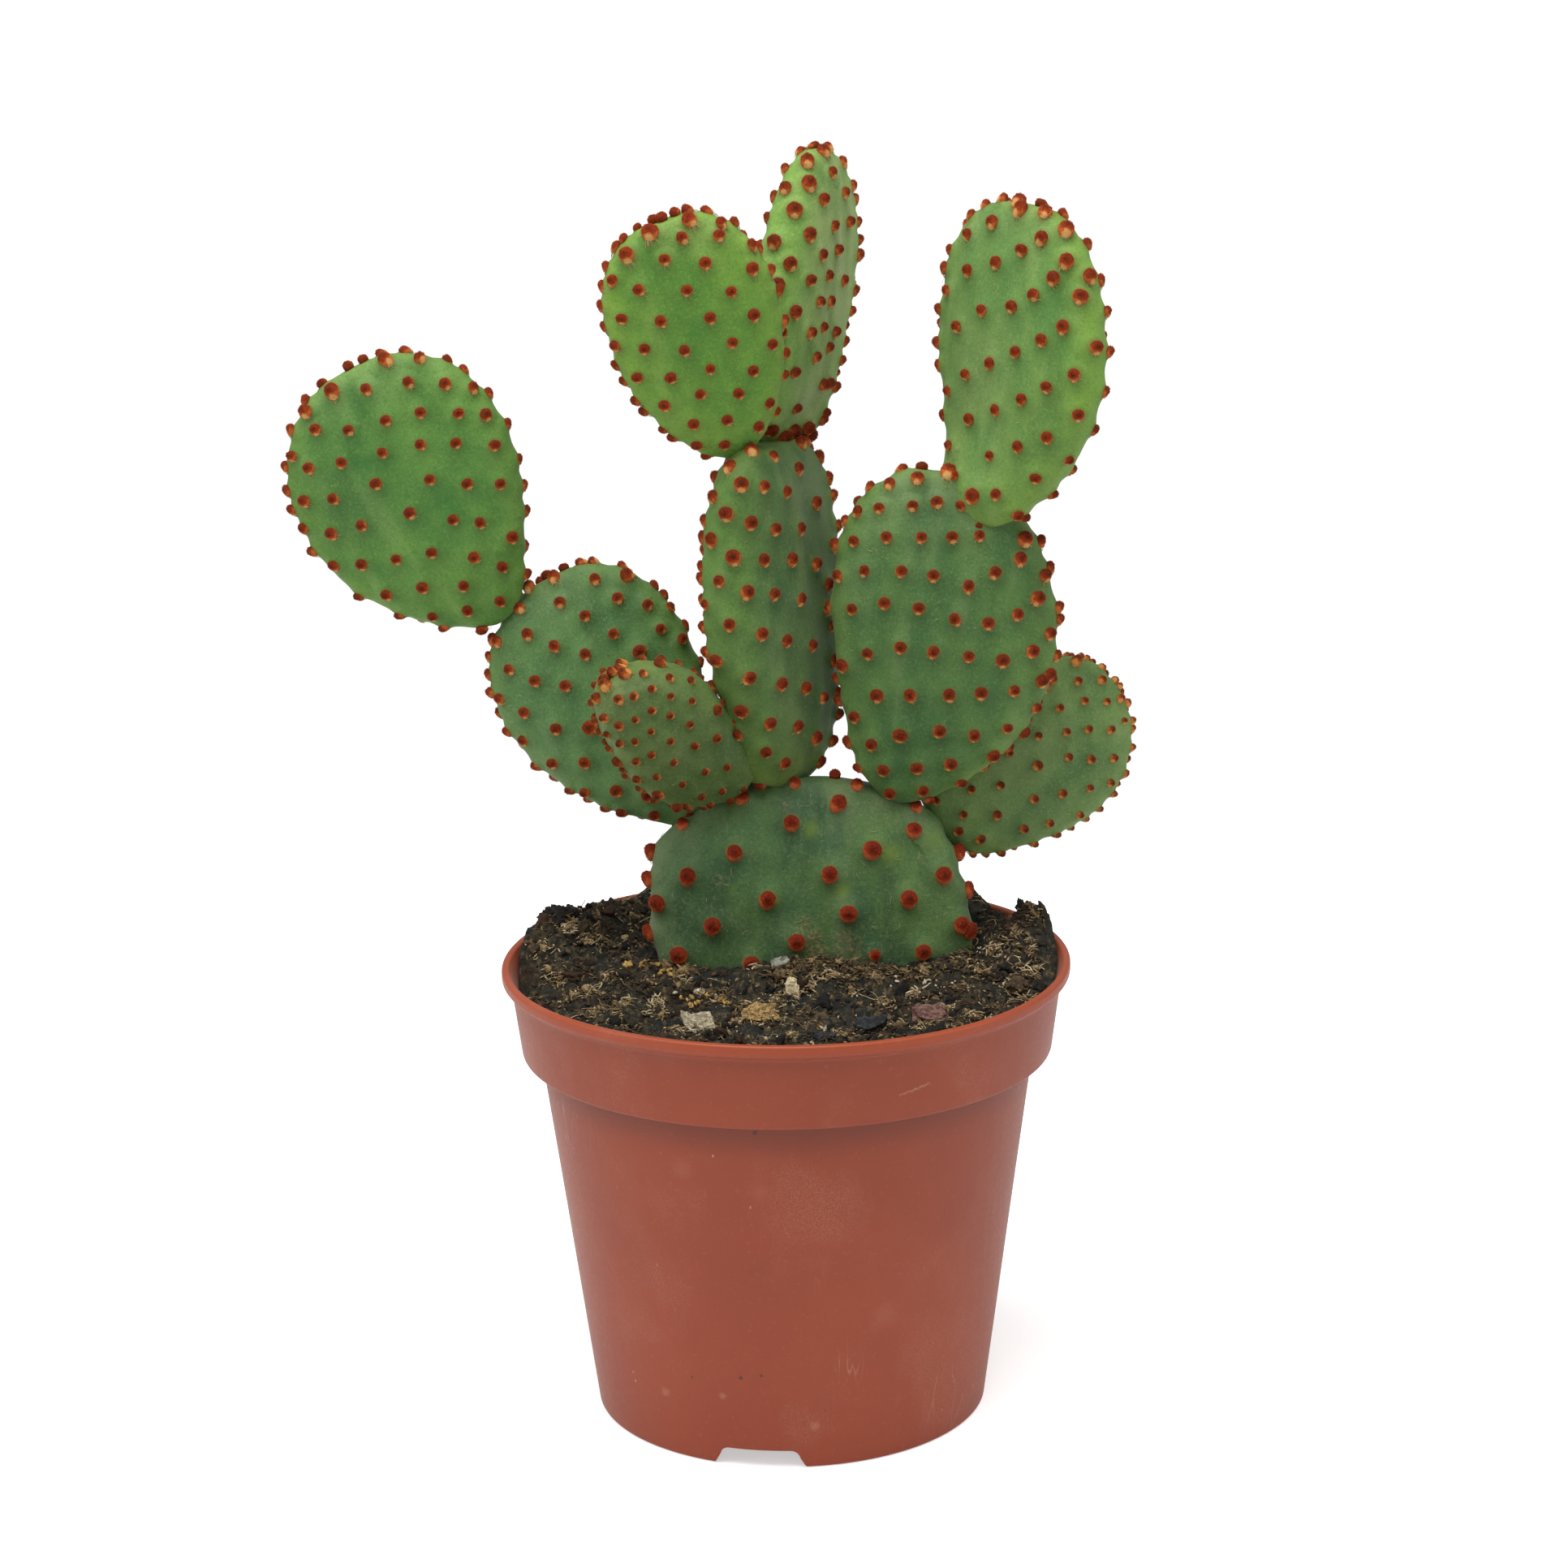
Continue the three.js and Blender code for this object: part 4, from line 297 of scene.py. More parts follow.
        509, 312, 118, 169, 258, 139, 648, 30, 139, 404, 267, 124, 78, 3, 119, 78, 288, 133, 614, 261, 123,
        857, 336, 137, 404, 48, 121, 404, 234, 136, 386, 15, 119, 745, 267, 135, 491, 51, 137, 526, 285,
        120, 697, 342, 137, 989, 324, 131, 714, 234, 129, 963, 252, 138, 491, 3, 137, 790, 12, 122, 857,
        234, 133, 271, 267, 131, 526, 237, 135, 404, 282, 130, 932, 336, 133, 745, 291, 120, 596, 351, 132,
        648, 294, 124, 544, 255, 127, 775, 240, 133, 857, 270, 132, 526, 27, 127, 579, 225, 124, 169, 306,
        122, 997, 298, 125, 976, 30, 125,
    ],
    "pad_8_right": [
        922, 180, 114, 948, 147, 110, 980, 186, 129, 975, 120, 130, 995, 195, 117, 995, 84, 162, 880, 135,
        110, 902, 108, 110, 922, 93, 119, 857, 159, 110, 818, 177, 115, 775, 147, 110, 804, 120, 115, 818,
        99, 118, 831, 87, 120, 844, 72, 115, 844, 33, 153, 831, 3, 127, 745, 177, 140, 697, 132, 110, 714,
        108, 115, 714, 93, 120, 697, 81, 124, 745, 66, 128, 790, 45, 136, 745, 21, 139, 760, 3, 121, 665,
        159, 113, 579, 141, 117, 614, 117, 127, 614, 99, 129, 596, 87, 123, 596, 72, 124, 631, 54, 125, 681,
        36, 144, 648, 3, 127, 614, 3, 127, 456, 129, 122, 491, 108, 131, 491, 93, 129, 491, 81, 114, 491,
        63, 133, 526, 42, 127, 579, 24, 122, 404, 156, 136, 335, 123, 131, 352, 102, 130, 369, 87, 130, 386,
        72, 124, 404, 51, 121, 438, 27, 134, 509, 6, 110, 456, 18, 143, 255, 147, 121, 225, 105, 144, 255,
        87, 134, 255, 66, 128, 286, 42, 110, 352, 18, 110, 182, 129, 122, 169, 174, 128, 271, 9, 130, 108,
        117, 122, 131, 90, 130, 156, 69, 124, 196, 33, 128, 98, 165, 112, 37, 111, 126, 60, 72, 119, 98, 30,
        110, 31, 24, 110, 963, 351, 124, 562, 267, 129, 760, 276, 116, 562, 294, 114, 369, 267, 123, 831,
        255, 129, 631, 240, 118, 369, 294, 120, 456, 237, 122, 902, 276, 111, 509, 198, 117, 255, 246, 126,
        225, 279, 119, 857, 309, 115, 714, 300, 114, 335, 216, 118, 456, 315, 113, 760, 231, 128, 992, 354,
        128, 913, 354, 132, 143, 264, 133, 614, 204, 116, 240, 309, 112, 681, 264, 119, 562, 321, 115, 648,
        279, 120, 857, 228, 113, 922, 258, 122, 491, 276, 125, 335, 324, 125, 421, 207, 128, 913, 48, 128,
        143, 345, 113, 697, 327, 114, 404, 345, 131, 120, 291, 122, 240, 213, 132, 369, 249, 112, 969, 273,
        117, 474, 258, 111, 790, 321, 120, 156, 231, 130, 922, 231, 115, 697, 213, 124, 286, 183, 129, 913,
        297, 117, 544, 231, 112, 210, 348, 124, 869, 198, 123, 963, 48, 119, 714, 249, 132, 78, 243, 129,
        474, 294, 129, 335, 279, 131, 562, 180, 130, 352, 180, 119, 775, 207, 124, 831, 285, 119, 271, 267,
        133, 790, 267, 112, 474, 339, 133,
    ],
    "pad_10_low_right": [
        922, 180, 79, 922, 147, 112, 956, 174, 82, 969, 168, 80, 992, 144, 87, 995, 78, 81, 992, 54, 81,
        869, 117, 88, 948, 102, 89, 790, 135, 115, 956, 69, 89, 969, 33, 88, 831, 99, 76, 902, 87, 75, 729,
        108, 86, 902, 57, 75, 932, 24, 88, 760, 87, 87, 831, 72, 85, 681, 93, 85, 579, 102, 81, 913, 21, 79,
        857, 18, 84, 614, 84, 84, 681, 72, 86, 760, 54, 84, 438, 105, 75, 491, 90, 98, 760, 15, 89, 319, 93,
        84, 225, 105, 75, 491, 66, 93, 596, 54, 79, 681, 39, 81, 386, 75, 93, 108, 132, 75, 131, 96, 82,
        225, 81, 97, 369, 45, 79, 491, 33, 82, 68, 90, 91, 271, 54, 88, 108, 66, 95, 271, 12, 80, 579, 12,
        81, 143, 12, 89, 52, 12, 79, 369, 12, 86, 665, 15, 82, 562, 189, 89, 303, 189, 90, 579, 270, 78,
        818, 267, 86, 335, 273, 84, 697, 237, 83, 509, 303, 84, 438, 246, 84, 729, 294, 84, 714, 183, 81,
        240, 246, 88, 438, 147, 78, 880, 294, 78, 169, 189, 79, 614, 135, 86, 156, 276, 83, 335, 306, 90,
        818, 210, 89, 940, 264, 90, 438, 213, 77, 681, 324, 78, 491, 342, 88, 804, 327, 84, 303, 132, 84,
        857, 243, 79, 969, 300, 78, 562, 231, 77, 210, 306, 90, 844, 171, 89, 456, 282, 86, 108, 246, 87,
        902, 333, 78, 956, 342, 81, 614, 285, 79, 404, 324, 88, 544, 255, 85, 681, 261, 81, 404, 180, 81,
        335, 231, 89, 948, 231, 83, 210, 345, 88, 509, 123, 90, 631, 165, 88, 438, 267, 79, 196, 135, 89,
        240, 162, 83, 526, 159, 83, 319, 342, 80, 98, 195, 79, 579, 324, 83, 631, 210, 83, 714, 147, 88,
        335, 258, 88, 631, 348, 82, 745, 276, 88, 120, 306, 91, 714, 354, 91, 352, 153, 88, 404, 123, 81,
        995, 264, 80, 880, 216, 79, 438, 3, 78, 892, 276, 81, 255, 216, 88, 775, 171, 86, 818, 303, 80, 818,
        357, 88, 210, 264, 82, 989, 357, 79, 286, 288, 86, 681, 123, 81, 729, 213, 87, 985, 204, 82, 614,
        303, 90, 491, 183, 83, 509, 6, 80, 869, 348, 89, 775, 255, 81, 98, 351, 90, 421, 300, 86, 562, 351,
        79, 369, 204, 92, 169, 228, 91, 369, 288, 77, 790, 237, 84, 614, 243, 79, 156, 333, 91, 880, 186,
        80, 932, 357, 90, 526, 213, 79, 940, 204, 80, 665, 273, 80, 78, 285, 90, 131, 168, 86, 596, 117, 91,
        255, 273, 83, 775, 192, 87,
    ],
    "pad_1_base": [
        932, 150, 136, 844, 165, 115, 980, 129, 110, 1000, 213, 112, 989, 63, 110, 948, 87, 154, 892, 102,
        159, 804, 120, 162, 760, 180, 158, 892, 45, 142, 940, 24, 110, 844, 72, 162, 831, 0, 165, 697, 177,
        152, 729, 138, 162, 775, 87, 162, 790, 33, 162, 697, 102, 162, 648, 159, 162, 729, 57, 162, 745, 3,
        151, 614, 123, 162, 681, 81, 162, 665, 24, 162, 648, 15, 159, 562, 177, 162, 596, 93, 162, 526, 144,
        162, 596, 51, 162, 526, 108, 162, 579, 72, 110, 438, 270, 165, 474, 348, 175, 404, 228, 153, 681,
        270, 160, 509, 294, 151, 697, 246, 174, 844, 276, 169, 844, 252, 175, 697, 294, 159, 544, 255, 172,
        404, 177, 172, 831, 306, 167, 932, 297, 166, 562, 231, 162, 579, 318, 159, 869, 222, 152, 963, 213,
        159, 980, 6, 154, 913, 264, 148, 579, 279, 172, 892, 339, 170, 665, 222, 158, 421, 255, 158, 697,
        318, 163, 491, 204, 150, 775, 222, 152, 562, 0, 159, 902, 174, 161, 940, 276, 155, 790, 267, 152,
        474, 312, 161,
    ],
}
AREOLES_OF = {}
for _name, _flat in TUFTS.items():
    _a = np.array(_flat, float).reshape(-1, 3)
    AREOLES_OF[_name] = np.stack([_a[:, 0] / 1000, np.radians(_a[:, 1]), _a[:, 2] / 100], -1)
# tufts crowded at a pad's foot, where it meets its parent
FOOT_TUFTS = {
    "pad_7_upper_middle": ((110, 152, 150), (84, 117, 162), (98, 97, 150), (99, 80, 158), (70, 68, 150)),
    "pad_9_upper_right": ((111, 93, 160),),
    "pad_1_base": ((951, 190, 165),),
}
for _name, _more in FOOT_TUFTS.items():
    _a = np.array(_more, float)
    _a = np.stack([_a[:, 0] / 1000, np.radians(_a[:, 1]), _a[:, 2] / 100], -1)
    AREOLES_OF[_name] = np.concatenate([AREOLES_OF[_name], _a])

# ------------------------------------------------------------------- helpers
def lin(c):
    c = c / 255.0
    return c / 12.92 if c <= 0.04045 else ((c + 0.055) / 1.055) ** 2.4


def srgb(r, g, b):
    return (lin(r), lin(g), lin(b), 1.0)


def hashed(ix, iy, iz, seed):
    h = (ix * 374761393 + iy * 668265263 + iz * 2147483647 + seed * 1442695041) & 0xFFFFFFFF
    h = ((h ^ (h >> 13)) * 1274126177) & 0xFFFFFFFF
    h = ((h ^ (h >> 16)) * 2246822519) & 0xFFFFFFFF
    h = h ^ (h >> 15)
    return (h & 0xFFFFFF) / float(0xFFFFFF) * 2.0 - 1.0


def vnoise(p, seed=0):
    """Smooth value noise in -1..1 at points p (N,3)."""
    p = np.asarray(p, float)
    i = np.floor(p).astype(np.int64)
    f = p - i
    f = f * f * f * (f * (f * 6 - 15) + 10)
    out = np.zeros(len(p))
    for dx in (0, 1):
        wx = f[:, 0] if dx else 1 - f[:, 0]
        for dy in (0, 1):
            wy = f[:, 1] if dy else 1 - f[:, 1]
            for dz in (0, 1):
                wz = f[:, 2] if dz else 1 - f[:, 2]
                out += wx * wy * wz * hashed(i[:, 0] + dx, i[:, 1] + dy, i[:, 2] + dz, seed)
    return out


def fbm(p, seed=0, octaves=4, gain=0.5, lac=2.03):
    amp, total, s = 1.0, 0.0, 0.0
    for k in range(octaves):
        total = total + amp * vnoise(np.asarray(p) * lac**k + 17.3 * k, seed + 31 * k)
        s += amp
        amp *= gain
    return total / s


def build(name, verts, faces, mats, slot, replaces=(), smooth=True, masks=None, mat_index=None):
    """A mesh object from millimetre vertices (N,3) and a list of face arrays."""
    me = bpy.data.meshes.new(name)
    verts = np.asarray(verts, np.float64) * MM
    groups = [np.asarray(f, np.int32) for f in faces if len(f)]
    nloops = sum(f.size for f in groups)
    nfaces = sum(len(f) for f in groups)
    me.vertices.add(len(verts))
    me.vertices.foreach_set("co", verts.astype(np.float32).ravel())
    me.loops.add(nloops)
    me.loops.foreach_set("vertex_index", np.concatenate([f.ravel() for f in groups]))
    me.polygons.add(nfaces)
    starts, total = [], 0
    for f in groups:
        starts.append(total + np.arange(len(f)) * f.shape[1])
        total += f.size
    me.polygons.foreach_set("loop_start", np.concatenate(starts).astype(np.int32))
    me.update(calc_edges=True)
    if mat_index is not None:
        me.polygons.foreach_set("material_index", np.asarray(mat_index, np.int32))
    me.polygons.foreach_set("use_smooth", np.full(nfaces, bool(smooth)))
    for key, data in (masks or {}).items():
        data = np.asarray(data, np.float32)
        if data.shape[1] == 3:
            data = np.concatenate([data, np.ones((len(data), 1), np.float32)], 1)
        at = me.attributes.new(key, "FLOAT_COLOR", "POINT")
        at.data.foreach_set("color", data.ravel())
    me.update()
    for m in mats:
        me.materials.append(m)
    ob = bpy.data.objects.new(name, me)
    bpy.context.scene.collection.objects.link(ob)
    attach(ob, "root")
    if replaces:
        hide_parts(*replaces)
    return ob


def grid_faces(nr, nc, offset=0, flip=False):
    r = np.arange(nr - 1)[:, None]
    c = np.arange(nc)[None, :]
    c1 = (c + 1) % nc
    q = np.stack([r * nc + c, r * nc + c1, (r + 1) * nc + c1, (r + 1) * nc + c], -1)
    q = q.reshape(-1, 4) + offset
    return q[:, ::-1] if flip else q


def fan(pole, ring, flip=False):
    ring = np.asarray(ring)
    t = np.stack([np.full(len(ring), pole), ring, np.roll(ring, -1)], -1)
    return t[:, ::-1] if flip else t


def unit(v):
    return v / (np.linalg.norm(v, axis=-1, keepdims=True) + 1e-12)


def ico(level):
    bm = bmesh.new()
    bmesh.ops.create_icosphere(bm, subdivisions=level, radius=1.0)
    v = np.array([x.co[:] for x in bm.verts])
    f = np.array([[x.index for x in y.verts] for y in bm.faces])
    bm.free()
    return v, f


def tubes(paths, radii, sides=3):
    """Closed thin tubes along paths (N,S,3) with radii (N,S)."""
    n, s, _ = paths.shape
    tan = unit(np.gradient(paths, axis=1))
    ref = np.where(np.abs(tan[:, :1, 2:3]) < 0.8, np.array([0, 0, 1.0]), np.array([1.0, 0, 0]))
    ref = np.broadcast_to(ref, tan.shape)
    e1 = unit(np.cross(tan, ref))
    e2 = np.cross(tan, e1)
    ang = np.arange(sides) * 2 * np.pi / sides
    ring = (
        paths[:, :, None]
        + radii[:, :, None, None]
        * (np.cos(ang)[:, None] * e1[:, :, None] + np.sin(ang)[:, None] * e2[:, :, None])
    )
    verts = ring.reshape(-1, 3)
    per = s * sides
    r = np.arange(s - 1)[:, None]
    c = np.arange(sides)[None, :]
    c1 = (c + 1) % sides
    q = np.stack([r * sides + c, r * sides + c1, (r + 1) * sides + c1, (r + 1) * sides + c], -1).reshape(-1, 4)
    quads = (q[None] + (np.arange(n) * per)[:, None, None]).reshape(-1, 4)
    a = np.arange(sides)
    ends = []
    for k in range(1, sides - 1):
        ends.append([0, a[k + 1], a[k]])
        o = (s - 1) * sides
        ends.append([o, o + a[k], o + a[k + 1]])
    ends = (np.array(ends)[None] + (np.arange(n) * per)[:, None, None]).reshape(-1, 3)
    return verts, quads, ends, per


# ------------------------------------------------------------- shader helper
class Tree:
    def __init__(self, name):
        self.mat = bpy.data.materials.new(name)
        self.mat.use_nodes = True
        self.t = self.mat.node_tree
        self.bsdf = self.t.nodes["Principled BSDF"]
        self.coord = self.t.nodes.new("ShaderNodeTexCoord")

    def node(self, kind, **props):
        n = self.t.nodes.new(kind)
        for k, v in props.items():
            setattr(n, k, v)
        return n

    def put(self, socket, value):
        if isinstance(value, bpy.types.NodeSocket):
            self.t.links.new(value, socket)
        else:
            socket.default_value = value

    def obj(self):
        return self.coord.outputs["Object"]

    def scaled(self, v, vec=None, rot=(0, 0, 0)):
        n = self.node("ShaderNodeMapping")
        n.inputs["Scale"].default_value = v
        n.inputs["Rotation"].default_value = rot
        self.put(n.inputs["Vector"], vec or self.obj())
        return n.outputs[0]

    def noise(self, scale, detail=4.0, rough=0.55, vec=None, distortion=0.0, out="Fac"):
        n = self.node("ShaderNodeTexNoise")
        n.inputs["Scale"].default_value = scale
        n.inputs["Detail"].default_value = detail
        n.inputs["Roughness"].default_value = rough
        n.inputs["Distortion"].default_value = distortion
        self.put(n.inputs["Vector"], vec or self.obj())
        return n.outputs[out]

    def voronoi(self, scale, feature="F1", vec=None, rand=1.0, out="Distance"):
        n = self.node("ShaderNodeTexVoronoi", feature=feature)
        n.inputs["Scale"].default_value = scale
        n.inputs["Randomness"].default_value = rand
        self.put(n.inputs["Vector"], vec or self.obj())
        return n.outputs[out]

    def ramp(self, fac, stops, mode="LINEAR"):
        n = self.node("ShaderNodeValToRGB")
        n.color_ramp.interpolation = mode
        el = n.color_ramp.elements
        while len(el) < len(stops):
            el.new(0.5)
        for e, (pos, col) in zip(el, stops):
            e.position = pos
            e.color = col
        self.put(n.inputs["Fac"], fac)
        return n.outputs["Color"]

    def span(self, v, lo, hi, a=0.0, b=1.0, smooth=True):
        n = self.node("ShaderNodeMapRange")
        n.interpolation_type = "SMOOTHSTEP" if smooth else "LINEAR"
        self.put(n.inputs["Value"], v)
        n.inputs["From Min"].default_value = lo
        n.inputs["From Max"].default_value = hi
        n.inputs["To Min"].default_value = a
        n.inputs["To Max"].default_value = b
        return n.outputs[0]

    def mix(self, fac, a, b, blend="MIX"):
        n = self.node("ShaderNodeMix", data_type="RGBA", blend_type=blend)
        n.clamp_factor = True
        self.put(n.inputs[0], fac)
        self.put(n.inputs[6], a)
        self.put(n.inputs[7], b)
        return n.outputs[2]

    def math(self, op, a, b=0.0, clamp=False):
        n = self.node("ShaderNodeMath", operation=op)
        n.use_clamp = clamp
        self.put(n.inputs[0], a)
        self.put(n.inputs[1], b)
        return n.outputs[0]

    def attr(self, name, channel=None):
        n = self.node("ShaderNodeAttribute", attribute_name=name)
        if channel is None:
            return n.outputs["Color"]
        if channel == "Alpha":
            return n.outputs["Alpha"]
        s = self.node("ShaderNodeSeparateColor")
        self.put(s.inputs[0], n.outputs["Color"])
        return s.outputs[channel]

    def bump(self, height, strength, distance=0.001, normal=None):
        n = self.node("ShaderNodeBump")
        n.inputs["Strength"].default_value = strength
        n.inputs["Distance"].default_value = distance
        self.put(n.inputs["Height"], height)
        if normal is not None:
            self.put(n.inputs["Normal"], normal)
        return n.outputs[0]

    def set(self, **kw):
        for k, v in kw.items():
            self.put(self.bsdf.inputs[k.replace("_", " ")], v)
        return self.mat


# --------------------------------------------------------------- pad surface
POWER = 2 / EDGE_POWER


def swell(t, a, b):
    peak = a / (a + b)
    return (t**a * (1 - t) ** b) / (peak**a * (1 - peak) ** b)


def pad_axes(q):
    tilt, lean, yaw = (math.radians(q[k]) for k in ("tilt", "lean", "yaw"))
    axis = np.array([math.sin(tilt) * math.cos(lean), math.sin(lean), math.cos(tilt) * math.cos(lean)])
    face = np.array([0.0, -1.0, 0.0])
    face = unit(face - (face @ axis) * axis)
    side = np.cross(axis, face)
    normal = math.cos(yaw) * face + math.sin(yaw) * side
    across = np.cross(axis, normal)
    return np.array(q["base"], float), axis, across, normal


def plain_points(q, t, ang):
    base, axis, across, normal = pad_axes(q)
    t = np.clip(t, 1e-6, 1 - 1e-6)
    w = q["width"] / 2 * swell(t, q["a"], q["b"])
    h = q["thickness"] / 2 * swell(t, q.get("ta", 0.5), q.get("tb", 0.36))
    mid = q["c1"] * np.sin(np.pi * t) + q["c2"] * np.sin(2 * np.pi * t)
    c, s = np.cos(ang), np.sin(ang)
    x = mid + w * np.sign(c) * np.abs(c) ** POWER
    z = h * np.sign(s) * np.abs(s) ** POWER
    return base + x[..., None] * across + (q["length"] * t)[..., None] * axis + z[..., None] * normal


def pad_points(q, t, ang):
    """Points of a pad's surface at heights t and angles ang, pulls included."""
    p = plain_points(q, t, ang)
    for at_t, at_deg, way, reach in q.get("pulls", ()):
        a = plain_points(q, np.array(at_t), np.array(math.radians(at_deg)))
        near = np.exp(-((p - a) ** 2).sum(-1) / reach**2)
        p = p + near[..., None] * np.array(way)
    return p


def even_angles(q, count):
    """Angles evenly spaced along the pad's outline in cross-section."""
    dense = np.linspace(0, 2 * np.pi, 24001)
    c, s = np.cos(dense), np.sin(dense)
    x = q["width"] / 2 * np.sign(c) * np.abs(c) ** POWER
    z = q["thickness"] / 2 * np.sign(s) * np.abs(s) ** POWER
    run = np.concatenate([[0], np.cumsum(np.hypot(np.diff(x), np.diff(z)))])
    return np.interp(np.arange(count) / count * run[-1], run, dense)


def areole_frames(q, at):
    """Centre, outward normal and tipward tangent at each areole."""
    e = 2e-3
    p = pad_points(q, at[:, 0], at[:, 1])
    pt = pad_points(q, at[:, 0] + e, at[:, 1]) - pad_points(q, at[:, 0] - e, at[:, 1])
    pa = pad_points(q, at[:, 0], at[:, 1] + 0.03) - pad_points(q, at[:, 0], at[:, 1] - 0.03)
    n = unit(np.cross(pa, pt))
    base, axis, across, normal = pad_axes(q)
    centre = base + axis * q["length"] * 0.5
    n *= np.where(((p - centre) * n).sum(-1) < 0, -1.0, 1.0)[:, None]
    up = axis - (n @ axis)[:, None] * n
    weak = np.linalg.norm(up, axis=1) < 0.25
    up[weak] = (normal - (n @ normal)[:, None] * n)[weak]
    return p, n, unit(up)


def pad_surface(name, q, seed, step=0.46):
    """Fine closed surface of a pad, with a low mound under each areole."""
    at = AREOLES_OF[name]
    n_t = int(q["length"] * 1.42 / step)
    n_a = int(2.05 * (q["width"] + 0.45 * q["thickness"]) / step)
    t = (1 - np.cos(np.pi * (np.arange(n_t) + 0.5) / n_t)) / 2
    ang = even_angles(q, n_a)
    T, A = np.meshgrid(t, ang, indexing="ij")
    P = pad_points(q, T, A)
    base, axis, across, normal = pad_axes(q)
    centre = base + axis * q["length"] * 0.5
    N = unit(np.cross(np.roll(P, -1, 1) - np.roll(P, 1, 1), np.gradient(P, axis=0)))
    if ((P - centre) * N).sum(-1).mean() < 0:
        N = -N
    flat = P.reshape(-1, 3)
    rel0 = flat - base
    lx, ly, lz = rel0 @ across, rel0 @ axis, rel0 @ normal
    # soft folds that run along the pad, clouds that are longer than wide
    folds = fbm(np.stack([lx / 4.2, ly / 24.0, lz / 4.2], -1), seed + 21, 2)
    cloud = fbm(np.stack([lx / 7.5, ly / 15.0, lz / 7.5], -1), seed + 27, 4)
    patch = fbm(np.stack([lx / 3.0, ly / 5.0, lz / 3.0], -1), seed + 33, 3)
    D = 0.34 * fbm(flat / 17.0, seed, 3) + 0.05 * fbm(flat / 4.5, seed + 3, 3)
    D = D + FOLDS.get(name, 0.12) * folds
    ap, an, aup = areole_frames(q, at)
    near = np.full(len(flat), 9.0)
    mound = np.zeros(len(flat))
    shade = np.zeros(len(flat))
    for j in range(len(at)):
        r = at[j, 2]
        idx = np.nonzero((np.abs(flat - ap[j]) < 4.6 * r).all(1))[0]
        rel = flat[idx] - ap[j]
        d = np.linalg.norm(rel, axis=1) / r
        y = (rel @ aup[j]) / r
        near[idx] = np.minimum(near[idx], d)
        # a mound that runs out towards the tip side, steeper on the base side
        m = MOUND * r * np.exp(-((np.hypot(rel @ np.cross(aup[j], an[j]) / r, y - 0.15) / 1.75) ** 2))
        mound[idx] = np.maximum(mound[idx], m)
        # painted shade below each tuft, on the pad's base side
        s = np.exp(-((d / 2.1) ** 2)) * np.clip(0.35 - 0.4 * y, 0, 1)
        shade[idx] = np.maximum(shade[idx], s)
    fade = np.clip(T / 0.06, 0, 1).ravel() * np.clip((1 - T) / 0.01, 0, 1).ravel()
    Q = P + N * (D * fade + mound * fade).reshape(T.shape)[..., None]
    near, shade = near.reshape(T.shape), shade.reshape(T.shape)
    T2, A2 = T, A
    low_end = Q[0].mean(0)
    nr = len(Q)
    verts = np.concatenate([Q.reshape(-1, 3), [low_end], [Q[-1].mean(0)]])
    quads = grid_faces(nr, n_a)
    lo = fan(nr * n_a, np.arange(n_a))
    hi = fan(nr * n_a + 1, (nr - 1) * n_a + np.arange(n_a))

    def faces_out(tri, way):
        a, b, c = verts[tri[0]], verts[tri[1]], verts[tri[2]]
        return np.cross(b - a, c - a) @ way > 0

    k = quads[len(quads) // 2]
    if not faces_out(k, verts[k[0]] - centre):
        quads = quads[:, ::-1]
    if not faces_out(lo[0], -axis):
        lo = lo[:, ::-1]
    if not faces_out(hi[0], axis):
        hi = hi[:, ::-1]
    edge = np.maximum(np.abs(np.cos(A2)) ** 2.5, np.clip((T2 - 0.9) / 0.1, 0, 1) ** 1.5)
    mask = np.stack([np.clip((2.6 - near) / 1.6, 0, 1).ravel(), edge.ravel(), T2.ravel(), shade.ravel()], -1)
    mask = np.concatenate([mask, [[0, 1, 0, 0]], [[0, 1, 1, 0]]])
    # broad tints: each fades out round a place on the pad; some are painted sheen, glare and shade
    deg = np.degrees(A2) % 360
    tint = np.zeros(T2.shape + (3,))
    much = np.zeros(T2.shape)
    wave = 1 + 0.55 * cloud.reshape(T2.shape) + 0.35 * folds.reshape(T2.shape)
    for a0, t0, ra, rt, colour, strength in PAINT.get(name, ()):
        away = np.abs((deg - a0 + 180) % 360 - 180) / ra
        w_ = np.exp(-(away**2 + ((T2 - t0) / rt) ** 2)) * strength * np.clip(wave, 0.3, 1.7)
        tint += w_[..., None] * np.array(colour[:3])
        much += w_
    tint /= np.maximum(much, 1e-6)[..., None]
    scar = np.zeros(T2.shape)
    spot = np.zeros(T2.shape)
    X3, Z3 = Q[..., 0], Q[..., 2]
    face = Q[..., 1] < base[1] + 0.5
    for x0, z0, r0, kind, s0 in SPOTS.get(name, ()):
        d = np.hypot(X3 - x0, Z3 - z0)
        rough = 1 + 0.5 * patch.reshape(T2.shape)
        if kind == "ring":
            v_ = np.exp(-(((d - r0) / (0.36 * r0)) ** 2)) * 0.8 + np.exp(-((d / (0.25 * r0)) ** 2))
            scar = np.maximum(scar, v_ * s0 * face)
        elif kind == "cork":
            scar = np.maximum(scar, np.clip(1.5 - d * rough / r0, 0, 1) * s0 * face)
        else:
            spot = np.maximum(spot, np.exp(-((d * rough / r0) ** 2)) * s0 * face)
    coat = np.stack([0.5 + 0.5 * folds, 0.5 + 0.5 * cloud, scar.ravel(), spot.ravel()], -1)
    coat = np.concatenate([coat, [[0.5, 0.5, 0, 0]] * 2])
    paint = np.concatenate([tint.reshape(-1, 3), np.clip(much, 0, 1).reshape(-1, 1)], -1)
    paint = np.concatenate([paint, np.zeros((2, 4))])
